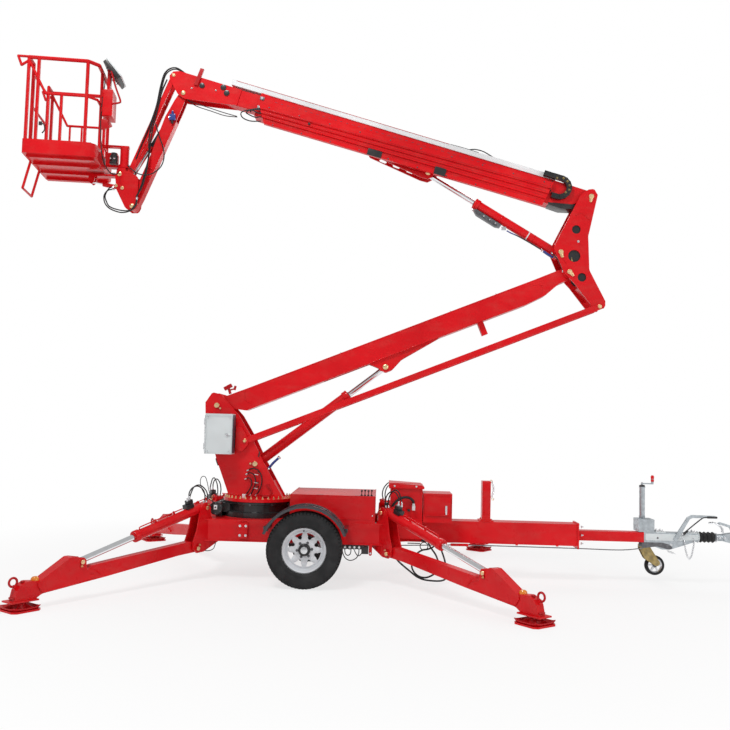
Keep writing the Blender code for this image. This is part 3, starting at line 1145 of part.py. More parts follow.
def basket_rails_solid():
    """Guard rail frame of the basket: top and middle rails, posts, and the bar to the column's head."""
    x0, x1 = BASKET_X[0] + TUBE + 0.006, BASKET_X[1] - TUBE - 0.006
    y = BASKET_HALF_LENGTH - TUBE - 0.006
    low, mid, top = FLOOR_Z + 0.006 + GAP, RAIL_MID_Z, RAIL_TOP_Z
    c = 0.090
    solids = []
    for side in (-1, 1):
        v = side * y
        solids += tube_run([(x0, v, top), (x1 - c, v, top), (x1, side * (y - c), top)], TUBE)
        solids += tube_run([(x0, v, top - 0.03), (x0 + 0.170, v, mid), (x1 - c, v, mid),
                            (x1, side * (y - c), mid)],
                           THIN_TUBE)
        for x, high in ((x0, top), (x0 + 0.095, top), (x0 + 0.200, mid), (0.5 * (x0 + x1), mid),
                        (x1 - c, top)):
            solids.append(rod((x, v, low), (x, v, high), POST if high > mid else THIN_POST, 6))
        solids += tube_run([(x0 + 0.03, v, top + 0.005), (x0 - 0.105, v, top + 0.005),
                            (x0 - 0.070, v, top - 0.085),
                            (x0 - 0.010, v, top - 0.040)], THIN_TUBE)
    for z, r in ((top, TUBE), (mid, THIN_TUBE)):
        solids.append(rod((x1, -(y - c), z), (x1, y - c, z), r, 8))
    for v in (-0.20, 0.20):
        solids.append(rod((x1, v, low), (x1, v, top), POST, 8))
    for v in (-1, 1):
        solids.append(rod((x0, v * (y + 0.004), top), (x0, v * (GATE_HALF - 0.004), top), POST - 0.001, 8))
        solids.append(rod((x0, v * GATE_HALF, low), (x0, v * GATE_HALF, top + 0.002), POST, 8))
        solids.append(ball((x0, v * y, top), TUBE * 1.1))
    bar = box((x1 - 0.01, COLUMN_X + 0.045), (-0.030, 0.030), (COLUMN_Z[1] + GAP, COLUMN_Z[1] + 0.020))
    bearer = rod((x1, -0.20, COLUMN_Z[1] + 0.010), (x1, 0.20, COLUMN_Z[1] + 0.010), THIN_TUBE, 6)
    return moved(fuse(*solids, bar, bearer), swing())


def basket_gate_solid():
    """Gate in the outer end of the basket, hung on the post at its left."""
    x = BASKET_X[0] + TUBE + 0.006
    reach = GATE_HALF - TUBE - 0.010
    low, top = FLOOR_Z + TRAY_HEIGHT + 0.060, RAIL_TOP_Z - 0.10
    solids = [rod((x, -reach, z), (x, reach, z), THIN_TUBE, 6) for z in (low, 0.5 * (low + top), top)]
    solids += [rod((x, v * reach, low - 0.01), (x, v * reach, top + 0.01), THIN_TUBE, 6) for v in (-1, 1)]
    return moved(fuse(*solids), swing())


def platform_box_solid():
    """Control box on the inner end of the basket with its sloping console."""
    x1 = BASKET_X[1] - TUBE - 0.006 + POST * math.cos(math.pi / 8) + GAP
    top = RAIL_TOP_Z
    body = box((x1, x1 + 0.105), (-0.300, -0.080), (RAIL_MID_Z - 0.120, RAIL_MID_Z + 0.150))
    arm = box((x1 + 0.030, x1 + 0.060), (-0.230, -0.150), (RAIL_MID_Z + 0.130, top + 0.085))
    console = prism([(x1 + 0.005, top + 0.190), (x1 + 0.175, top - 0.015), (x1 + 0.140, top - 0.045),
                     (x1 - 0.030, top + 0.160)], -0.330, -0.050)
    return moved(fuse(body, arm, console), swing())


def leg_pieces(corner):
    """Leg, barrel and rod of one outrigger, placed at its corner, with their origins."""
    name = corner[0]
    frame = corner_frame(corner)
    base, end = LEG_BARREL_PIN, LEG_ROD_PIN
    inner = LEG_HALF_WIDTH + 0.010
    barrel = cylinder_barrel(base, end, LEG_GLAND_FROM_PIN, LEG_BARREL_RADIUS, LEG_ROD_RADIUS, 0.036, inner,
                             LEG_PIN_RADIUS)
    stem = cylinder_rod(base, end, 0.600, LEG_ROD_RADIUS, 0.034, LEG_HALF_WIDTH - 0.010)
    hinge = frame @ Vector((0, 0, LEG_HINGE_Z))
    head = frame @ Vector((base[0], 0, base[1]))
    foot = frame @ Vector((end[0], 0, end[1]))
    return ((f"leg_{name}", moved(leg_solid(), frame), "red_paint", hinge),
            (f"leg_barrel_{name}", moved(barrel, frame), "red_paint", head),
            (f"leg_rod_{name}", moved(stem, frame), "chrome", foot))


def door_solid(x, y, z):
    """Near door of a box with a knob."""
    panel = box((x[0], x[1]), (y[0], y[0] + BOX_DOOR), (z[0], z[1]))
    knob = rod((x[1] - 0.030, y[0] - 0.008, 0.5 * (z[0] + z[1])),
               (x[1] - 0.030, y[0] + 0.004, 0.5 * (z[0] + z[1])),
               0.012, 12)
    return fuse(panel, knob)


def build():
    clear_scene()
    machine = Machine()
    for side, word in ((-1, "right"), (1, "left")):
        centre = (0, side * WHEEL_Y, TYRE_RADIUS)
        machine.add(f"tyre_{word}", tyre_solid(side), "rubber", centre)
        machine.add(f"rim_{word}", rim_solid(side), "rim_paint", centre)
        machine.add(f"fender_{word}", fender_solid(side), "black_paint")
    for name, solid, finish_name in (
            ("axle", axle_solid(), "black_paint"),
            ("chassis_frame", chassis_solid(), "red_paint"),
            ("drawbar", beam_solid(), "red_paint"),
            ("slew_base", slew_base_solid(), "black_paint"),
            ("hydraulic_cabinet", box(CABINET_X, CABINET_Y, (RAIL_TOP + GAP, CABINET_TOP)), "red_paint"),
            ("battery_box", battery_box_solid(), "red_paint"),
            ("coupling_housing", coupling_solid(), "zinc"),
            ("bellows", bellows_solid(), "rubber"),
            ("coupler_head", coupler_solid(), "zinc"),
            ("jack_tube", jack_tube_solid(), "zinc")):
        machine.add(name, solid, finish_name)
    machine.add("battery_lid", battery_lid_solid(), "red_paint",
                (BATTERY_X[0] - 0.016, 0, BATTERY_TOP + GAP))
    x, y, z = SIDE_BOX_X, SIDE_BOX_Y, (BEAM_TOP + GAP, SIDE_BOX_TOP)
    machine.add("side_box", open_box(x, (y[0] + BOX_DOOR + GAP, y[1]), z, SHEET, "-y"), "red_paint")
    machine.add("side_box_door", door_solid(x, y, z), "red_paint", (x[0], y[0], 0.7))
    machine.add("jack_stem", jack_stem_solid(), "brass", (JACK_X, JACK_Y, 0.36))
    machine.add("jockey_wheel", jockey_solid(), "rubber", (JOCKEY_X, JACK_Y, JOCKEY_Z))
    for corner in LEG_CORNERS:
        for name, solid, finish_name, origin in leg_pieces(corner):
            machine.add(name, solid, finish_name, origin)

    machine.add("turret", turret_solid(), "red_paint", (SLEW_X, 0, SLEW_TOP))
    machine.add("control_box", control_box_solid(), "box_paint", (SLEW_X, 0, SLEW_TOP))
    x, y, z = CONTROL_BOX_X, CONTROL_BOX_Y, CONTROL_BOX_Z
    machine.add("control_box_door", door_solid(x, y, z), "box_paint", (x[0], y[0], 1.38))
    held = TURRET_PLATE_Y - GAP
    for name, base, end, gland, start, barrel_radius, rod_radius in (
            ("lower", PIN_G, PIN_H, LOWER_GLAND_FROM_PIN, 0.500, LOWER_BARREL_RADIUS, LOWER_ROD_RADIUS),
            ("upper", PIN_P1, PIN_R, UPPER_GLAND_FROM_PIN, 0.400, UPPER_BARREL_RADIUS, UPPER_ROD_RADIUS)):
        machine.add(f"{name}_barrel", cylinder_barrel(base, end, gland, barrel_radius, rod_radius, 0.045,
                                                      held,
                                                      BIG_PIN_RADIUS), "red_paint", (base[0], 0, base[1]))
        machine.add(f"{name}_rod", cylinder_rod(base, end, start, rod_radius, 0.030, FORK_Y - RUNNING),
                    "chrome",
                    (end[0], 0, end[1]))
    machine.add("lower_boom", lower_boom_solid(), "red_paint", (PIN_A[0], 0, PIN_A[1]))
    machine.add("level_link", level_link_solid(), "red_paint", (PIN_C[0], 0, PIN_C[1]))
    machine.add("riser", riser_solid(), "red_paint", (PIN_B[0], 0, PIN_B[1]))

    head = (PIN_E[0], 0, PIN_E[1])
    machine.add("upper_boom", upper_boom_solid(), "red_paint", head)
    machine.add("cable_tray", cable_tray_solid(), "white_tray", head)
    machine.add("cable_carrier", cable_carrier_solid(), "black_paint", head)
    machine.add("fly_boom", fly_boom_solid(), "red_paint", head)
    machine.add("jib", jib_solid(), "red_paint", (PIN_J[0], 0, PIN_J[1]))
    machine.add("jib_link", jib_link_solid(), "red_paint", (PIN_J2[0], 0, PIN_J2[1]))
    machine.add("jib_barrel", cylinder_barrel(PIN_J, PIN_K2, 0.700, JIB_BARREL_RADIUS, JIB_ROD_RADIUS,
                                              0.030, 0.034 - GAP,
                                              0.017, 0.006), "black_paint", (PIN_J[0], 0, PIN_J[1]))
    machine.add("jib_rod", cylinder_rod(PIN_J, PIN_K2, 0.350, JIB_ROD_RADIUS, 0.024, 0.030), "chrome",
                (PIN_K2[0], 0, PIN_K2[1]))
    machine.add("jib_bracket", jib_bracket_solid(), "red_paint", (PIN_K[0], 0, PIN_K[1]))
    machine.add("level_barrel", cylinder_barrel(PIN_M, PIN_N, 0.163, 0.022, 0.012, 0.022, HEAD_Y - GAP,
                                                0.012, 0.004, 0.017),
                "red_paint", (PIN_M[0], 0, PIN_M[1]))
    machine.add("level_rod", cylinder_rod(PIN_M, PIN_N, 0.134, 0.012, 0.018, 0.020), "chrome",
                (PIN_N[0], 0, PIN_N[1]))
    machine.add("rotator", rotator_solid(), "red_paint", (PIN_L[0], 0, PIN_L[1]))
    column = (COLUMN_X, 0, COLUMN_Z[0])
    machine.add("basket_floor", basket_floor_solid(), "red_paint", column)
    machine.add("basket_rails", basket_rails_solid(), "red_paint", column)
    machine.add("platform_box", platform_box_solid(), "red_paint", column)
    machine.add("basket_gate", basket_gate_solid(), "red_paint", gate_hinge())


def gate_hinge():
    reach = GATE_HALF - TUBE - 0.010
    return tuple(swing() @ Vector((BASKET_X[0] + TUBE + 0.006, reach, FLOOR_Z + 0.5)))


build()
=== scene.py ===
"""Dress of a towable boom lift on its four outriggers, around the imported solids.

Every size is in metres. Places are written from the wheel axle: X towards the coupling, Y
away from the camera, Z up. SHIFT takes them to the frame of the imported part.
"""

import json
import logging
import math
from dataclasses import dataclass
from enum import Enum
from typing import Iterable, Sequence

import bmesh
import bpy
from mathutils import Matrix, Vector

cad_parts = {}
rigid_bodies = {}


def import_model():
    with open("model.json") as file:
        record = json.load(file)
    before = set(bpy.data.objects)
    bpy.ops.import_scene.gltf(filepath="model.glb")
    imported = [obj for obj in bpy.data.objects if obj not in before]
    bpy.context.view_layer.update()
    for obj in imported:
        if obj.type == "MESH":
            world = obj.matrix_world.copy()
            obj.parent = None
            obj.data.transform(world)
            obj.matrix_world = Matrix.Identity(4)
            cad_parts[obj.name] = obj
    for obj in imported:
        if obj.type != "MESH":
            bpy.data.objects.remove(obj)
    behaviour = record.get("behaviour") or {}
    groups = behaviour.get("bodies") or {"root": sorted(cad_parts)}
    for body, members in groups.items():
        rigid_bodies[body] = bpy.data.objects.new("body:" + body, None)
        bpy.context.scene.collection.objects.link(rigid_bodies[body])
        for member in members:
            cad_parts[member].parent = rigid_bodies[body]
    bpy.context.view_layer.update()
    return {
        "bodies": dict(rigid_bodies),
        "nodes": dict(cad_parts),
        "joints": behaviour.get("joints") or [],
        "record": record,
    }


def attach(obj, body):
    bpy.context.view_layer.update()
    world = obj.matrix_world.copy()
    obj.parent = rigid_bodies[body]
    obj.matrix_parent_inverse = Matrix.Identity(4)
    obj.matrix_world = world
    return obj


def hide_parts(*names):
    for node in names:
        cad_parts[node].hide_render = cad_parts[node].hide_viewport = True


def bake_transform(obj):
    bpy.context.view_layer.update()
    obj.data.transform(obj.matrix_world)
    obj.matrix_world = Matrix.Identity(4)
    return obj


LOG = logging.getLogger("boom_lift")
SHIFT = Matrix.Translation((-0.6134, 0.0, 0.0))
HERE = Matrix.Identity(4)
SLEW_X = -0.547
WORM_X, WORM_Z = -0.913, 0.660
Place = Sequence[float]


class Side(Enum):
    """The two sides of the trailer: the near one is its right side."""

    NEAR = -1
    FAR = 1

    @property
    def word(self) -> str:
        """The side's word in the names of the solids."""
        return "right" if self is Side.NEAR else "left"


# Finishes


class Desk:
    """Short hand for adding and joining the nodes of a material."""

    def __init__(self, tree: bpy.types.NodeTree) -> None:
        """Keeps the tree.

        Args:
            tree: the node tree that is being wired.
        """
        self.tree = tree

    def add(self, kind: str, **values: object) -> bpy.types.Node:
        """Adds one node.

        Args:
            kind: the node's type name.
            **values: attributes, or inputs by name where the node has such a socket.

        Returns:
            The new node.
        """
        node = self.tree.nodes.new(kind)
        for key, value in values.items():
            label = key.replace("_", " ").title()
            if key in node.bl_rna.properties and key != "color":
                setattr(node, key, value)
            else:
                node.inputs[label].default_value = value
        return node

    def join(self, source: bpy.types.NodeSocket, target: bpy.types.NodeSocket) -> None:
        """Links two sockets."""
        self.tree.links.new(source, target)

    def noise(self, scale: float, detail: float, stretch: Place = (1, 1, 1)) -> bpy.types.NodeSocket:
        """Noise on object coordinates.

        Args:
            scale: how fine the noise is.
            detail: its octaves.
            stretch: scale of the coordinates along X, Y and Z.

        Returns:
            The noise's factor.
        """
        place = self.add("ShaderNodeTexCoord")
        mapping = self.add("ShaderNodeMapping")
        mapping.inputs["Scale"].default_value = tuple(stretch)
        noise = self.add("ShaderNodeTexNoise", scale=scale, detail=detail)
        self.join(place.outputs["Object"], mapping.inputs["Vector"])
        self.join(mapping.outputs["Vector"], noise.inputs["Vector"])
        return noise.outputs["Fac"]

    def ramp(self, source: bpy.types.NodeSocket, low: float, high: float,
             first: Sequence[float], last: Sequence[float]) -> bpy.types.NodeSocket:
        """Colour between two, over a range of a factor.

        Args:
            source: the factor.
            low: where the first colour ends.
            high: where the last colour starts.
            first: colour below low.
            last: colour above high.

        Returns:
            The ramp's colour.
        """
        ramp = self.add("ShaderNodeValToRGB")
        ramp.color_ramp.elements[0].position = low
        ramp.color_ramp.elements[1].position = high
        ramp.color_ramp.elements[0].color = (*first, 1.0)
        ramp.color_ramp.elements[1].color = (*last, 1.0)
        self.join(source, ramp.inputs["Fac"])
        return ramp.outputs["Color"]

    def spread(self, source: bpy.types.NodeSocket, low: float, high: float) -> bpy.types.NodeSocket:
        """Maps a factor around its middle to a range of values.

        Args:
            source: the factor.
            low: value where the factor is small.
            high: value where it is large.

        Returns:
            The mapped value.
        """
        node = self.add("ShaderNodeMapRange")
        for socket, value in zip(("From Min", "From Max", "To Min", "To Max"), (0.3, 0.7, low, high)):
            node.inputs[socket].default_value = value
        self.join(source, node.inputs["Value"])
        return node.outputs["Result"]

    def over(self, below: bpy.types.NodeSocket, above: Sequence[float],
             share: bpy.types.NodeSocket) -> bpy.types.NodeSocket:
        """Lays a colour over another by a share.

        Args:
            below: the colour underneath.
            above: the colour on top.
            share: how much of it shows.

        Returns:
            The mixed colour.
        """
        mix = self.add("ShaderNodeMix", data_type="RGBA")
        mix.inputs[7].default_value = (*above, 1.0)
        self.join(share, mix.inputs[0])
        self.join(below, mix.inputs[6])
        return mix.outputs[2]

    def bump(self, source: bpy.types.NodeSocket, strength: float, distance: float,
             shader: bpy.types.Node) -> None:
        """Relief from a factor, on the shader's normal.

        Args:
            source: the factor.
            strength: strength of the relief.
            distance: its height.
            shader: the shader that takes it.
        """
        node = self.add("ShaderNodeBump", strength=strength, distance=distance)
        self.join(source, node.inputs["Height"])
        self.join(node.outputs["Normal"], shader.inputs["Normal"])


@dataclass(frozen=True)
class Finish:
    """A surface finish with its own material."""

    name: str
    colour: tuple[float, float, float]
    roughness: float = 0.4
    slot: str = ""

    def material(self) -> bpy.types.Material:
        """The finish's material, made once.

        Returns:
            The material.
        """
        found = bpy.data.materials.get(self.name)
        if found is not None:
            return found
        material = bpy.data.materials.new(self.name)
        material.use_nodes = True
        shader = material.node_tree.nodes["Principled BSDF"]
        shader.inputs["Roughness"].default_value = self.roughness
        self.dress(Desk(material.node_tree), shader)
        return material

    def dress(self, desk: Desk, shader: bpy.types.Node) -> None:
        """Wires the pattern of the finish.

        Args:
            desk: the material's tree.
            shader: its principled shader.
        """
        raise NotImplementedError

    def tone(self, share: float) -> tuple[float, float, float]:
        """The finish's colour, lighter or darker by a share."""
        return tuple(min(1.0, channel * share) for channel in self.colour)


@dataclass(frozen=True)
class Paint(Finish):
    """Sprayed gloss paint: slight drift of tone, orange peel, and dust in patches."""

    coat: float = 0.35
    peel: float = 0.05
    dust: float = 0.10
    specular: float = 0.40

    def dress(self, desk: Desk, shader: bpy.types.Node) -> None:
        """Drift, dust and peel.

        Args:
            desk: the material's tree.
            shader: its principled shader.
        """
        drift = desk.ramp(desk.noise(1.7, 3.0), 0.35, 0.65, self.tone(0.90), self.tone(1.08))
        dust = desk.add("ShaderNodeMapRange")
        dust.inputs["From Min"].default_value = 0.46
        dust.inputs["From Max"].default_value = 0.80
        dust.inputs["To Max"].default_value = self.dust
        desk.join(desk.noise(7.0, 7.0, (1, 1, 2.2)), dust.inputs["Value"])
        colour = desk.over(drift, (0.30, 0.22, 0.17), dust.outputs["Result"])
        desk.join(colour, shader.inputs["Base Color"])
        rough = desk.spread(desk.noise(11.0, 5.0), self.roughness * 0.82, min(0.95, self.roughness * 1.22))
        desk.join(rough, shader.inputs["Roughness"])
        shader.inputs["Coat Weight"].default_value = self.coat
        shader.inputs["Coat Roughness"].default_value = 0.10
        shader.inputs["Specular IOR Level"].default_value = self.specular
        desk.bump(desk.noise(170.0, 2.0), self.peel, 0.002, shader)


@dataclass(frozen=True)
class Metal(Finish):
    """Bare metal: spangle or fine scratches, and a cloudy roughness."""

    spangle: float = 0.0
    streak: tuple[float, float, float] = (1.0, 1.0, 1.0)
    cloud: float = 0.15
    tint: tuple[float, float, float] = (0.0, 0.0, 0.0)

    def dress(self, desk: Desk, shader: bpy.types.Node) -> None:
        """Cloud, spangle and streaks.

        Args:
            desk: the material's tree.
            shader: its principled shader.
        """
        shader.inputs["Metallic"].default_value = 1.0
        clear, deep = self.tone(1.0 + self.cloud), self.tone(1.0 - self.cloud)
        colour = desk.ramp(desk.noise(22.0, 6.0, self.streak), 0.34, 0.66, deep, clear)
        if any(self.tint):
            share = desk.spread(desk.noise(34.0, 2.0), 0.0, 0.45)
            colour = desk.over(colour, self.tint, share)
        rough = desk.noise(60.0, 4.0, self.streak)
        if self.spangle:
            place = desk.add("ShaderNodeTexCoord")
            cells = desk.add("ShaderNodeTexVoronoi", scale=1.0 / self.spangle)
            desk.join(place.outputs["Object"], cells.inputs["Vector"])
            grey = desk.add("ShaderNodeRGBToBW")
            desk.join(cells.outputs["Color"], grey.inputs["Color"])
            rough = grey.outputs["Val"]
            share = desk.add("ShaderNodeMapRange")
            share.inputs["To Max"].default_value = 0.35
            desk.join(rough, share.inputs["Value"])
            colour = desk.over(colour, self.tone(0.72), share.outputs["Result"])
        desk.join(colour, shader.inputs["Base Color"])
        desk.join(desk.spread(rough, self.roughness * 0.75, min(0.9, self.roughness * 1.3)),
                  shader.inputs["Roughness"])
        desk.bump(desk.noise(140.0, 3.0, self.streak), 0.04, 0.001, shader)


@dataclass(frozen=True)
class Rubber(Finish):
    """Black rubber or soft plastic with a fine grain and a chalky bloom."""

    grain: float = 260.0
    relief: float = 0.12
    bloom: float = 0.35

    def dress(self, desk: Desk, shader: bpy.types.Node) -> None:
        """Bloom, grain and relief.

        Args:
            desk: the material's tree.
            shader: its principled shader.
        """
        chalk = tuple(channel + 0.030 * self.bloom for channel in self.colour)
        desk.join(desk.ramp(desk.noise(6.0, 6.0), 0.42, 0.72, self.colour, chalk),
                  shader.inputs["Base Color"])
        desk.join(desk.spread(desk.noise(18.0, 4.0), self.roughness * 0.85, min(1.0, self.roughness * 1.12)),
                  shader.inputs["Roughness"])
        shader.inputs["Specular IOR Level"].default_value = 0.35
        desk.bump(desk.noise(self.grain, 3.0), self.relief, 0.0015, shader)


@dataclass(frozen=True)
class Lens(Finish):
    """Coloured lamp plastic with moulded rings."""

    def dress(self, desk: Desk, shader: bpy.types.Node) -> None:
        """Rings and a slight glow of depth.

        Args:
            desk: the material's tree.
            shader: its principled shader.
        """
        place = desk.add("ShaderNodeTexCoord")
        rings = desk.add("ShaderNodeTexWave", bands_direction="Z", scale=55.0)
        desk.join(place.outputs["Object"], rings.inputs["Vector"])
        desk.join(desk.ramp(rings.outputs["Fac"], 0.2, 0.8, self.tone(0.72), self.colour),
                  shader.inputs["Base Color"])
        shader.inputs["Coat Weight"].default_value = 0.6
        shader.inputs["Subsurface Weight"].default_value = 0.15
        shader.inputs["Subsurface Radius"].default_value = (0.02, 0.008, 0.002)
        desk.bump(rings.outputs["Fac"], 0.25, 0.001, shader)


RED = Paint("lift_red", (0.74, 0.006, 0.011), 0.30, "red_paint", coat=0.12, specular=0.16)
DEEP_RED = Paint("cast_red", (0.52, 0.006, 0.011), 0.38, "red_paint", coat=0.1, peel=0.12, dust=0.16,
                 specular=0.18)
BLACK = Paint("satin_black", (0.016, 0.016, 0.018), 0.38, "black_paint", coat=0.25, dust=0.10)
FENDER_BLACK = Paint("fender_black", (0.022, 0.022, 0.030), 0.22, "black_paint", coat=0.6, dust=0.08)
WHEEL_PAINT = Paint("wheel_silver", (0.72, 0.74, 0.77), 0.34, "rim_paint", coat=0.4, dust=0.10)
BOX_GREY = Paint("box_grey", (0.74, 0.79, 0.80), 0.38, "box_paint", coat=0.2, peel=0.08, dust=0.04)
# Dark blue: the spot welds on the upper boom, and painted shade on the side of the control box.
SHADE_AND_WELD_BLUE = Paint("shade_and_weld_blue", (0.035, 0.060, 0.090), 0.42, "box_paint", coat=0.1)
TRAY_WHITE = Paint("tray_white", (0.82, 0.84, 0.85), 0.40, "white_tray", coat=0.2, dust=0.06)
GUARD_BLACK = Paint("carrier_black", (0.012, 0.013, 0.014), 0.34, "black_paint", coat=0.15)
FITTING_BLUE = Paint("fitting_blue", (0.020, 0.050, 0.28), 0.30, "", coat=0.5)
GALVANISED = Metal("galvanised", (0.50, 0.54, 0.57), 0.42, "zinc", spangle=0.020)
CHROME = Metal("hard_chrome", (0.83, 0.84, 0.86), 0.10, "chrome", cloud=0.03)
BRIGHT_ZINC = Metal("bright_zinc", (0.72, 0.73, 0.75), 0.28, "zinc", cloud=0.10)
YELLOW_ZINC = Metal("yellow_zinc", (0.83, 0.62, 0.30), 0.34, "brass", cloud=0.14, tint=(0.80, 0.45, 0.42))
OLD_BRASS = Metal("dull_brass", (0.42, 0.31, 0.12), 0.46, "brass", cloud=0.30, tint=(0.30, 0.26, 0.18))
DARK_STEEL = Metal("dark_steel", (0.16, 0.16, 0.17), 0.42, "", cloud=0.25)
TYRE = Rubber("tyre_rubber", (0.014, 0.014, 0.015), 0.72, "tyre", grain=180.0, relief=0.18, bloom=0.6)
HOSE = Rubber("hose_rubber", (0.012, 0.012, 0.013), 0.46, "rubber", grain=420.0, relief=0.10)
BOOT = Rubber("boot_rubber", (0.015, 0.015, 0.016), 0.62, "rubber")
AMBER = Lens("amber_lens", (0.95, 0.30, 0.015), 0.14)


# Shapes


def smooth_path(points: Sequence[Place], step: float = 0.012) -> list[Vector]:
    """One smooth curve through the points, at even steps.

    Args:
        points: the places that the curve passes.
        step: distance between the results.

    Returns:
        Points along the curve, the first and last as given.
    """
    knots = [Vector(p) for p in points]
    if len(knots) == 2:
        count = max(2, int((knots[1] - knots[0]).length / step))
        return [knots[0].lerp(knots[1], k / count) for k in range(count + 1)]
    ends = [2 * knots[0] - knots[1], *knots, 2 * knots[-1] - knots[-2]]
    line = [knots[0]]
    for a, b, c, d in zip(ends, ends[1:], ends[2:], ends[3:]):
        for k in range(1, 21):
            t = k / 20
            line.append(0.5 * ((2 * b) + (c - a) * t + (2 * a - 5 * b + 4 * c - d) * t * t
                               + (3 * b - a - 3 * c + d) * t ** 3))
    lengths = [0.0]
    for a, b in zip(line, line[1:]):
        lengths.append(lengths[-1] + (b - a).length)
    count = max(6, int(lengths[-1] / step))
    even, index = [], 0
    for k in range(count + 1):
        goal = lengths[-1] * k / count
        while index < len(lengths) - 2 and lengths[index + 1] < goal:
            index += 1
        run = max(1e-9, lengths[index + 1] - lengths[index])
        even.append(line[index].lerp(line[index + 1], min(1.0, max(0.0, (goal - lengths[index]) / run))))
    return even


def rounded(corners: Sequence[Sequence[float]], steps: int = 6) -> list[tuple[float, float]]:
    """Outline through (a, b, radius) corners, each turned into an arc.

    Args:
        corners: the corners, in order.
        steps: straight lengths in each arc.

    Returns:
        The outline's points.
    """
    outline: list[tuple[float, float]] = []
    for i, (a, b, radius) in enumerate(corners):
        corner = Vector((a, b))
        before = Vector(corners[i - 1][:2]) - corner
        after = Vector(corners[(i + 1) % len(corners)][:2]) - corner
        half = before.angle(after) / 2
        if radius <= 0.0 or half > math.radians(89):
            outline.append((a, b))
            continue
        reach = min(radius / math.tan(half), before.length * 0.49, after.length * 0.49)
        radius = reach * math.tan(half)
        middle = corner + (before.normalized()
                           + after.normalized()).normalized() * (radius / math.sin(half))
        first = corner + before.normalized() * reach - middle
        turn = (math.pi - 2 * half) * (1.0 if before.cross(after) < 0 else -1.0)
        for k in range(steps + 1):
            c, s = math.cos(turn * k / steps), math.sin(turn * k / steps)
            outline.append((middle.x + c * first.x - s * first.y, middle.y + s * first.x + c * first.y))
    return outline


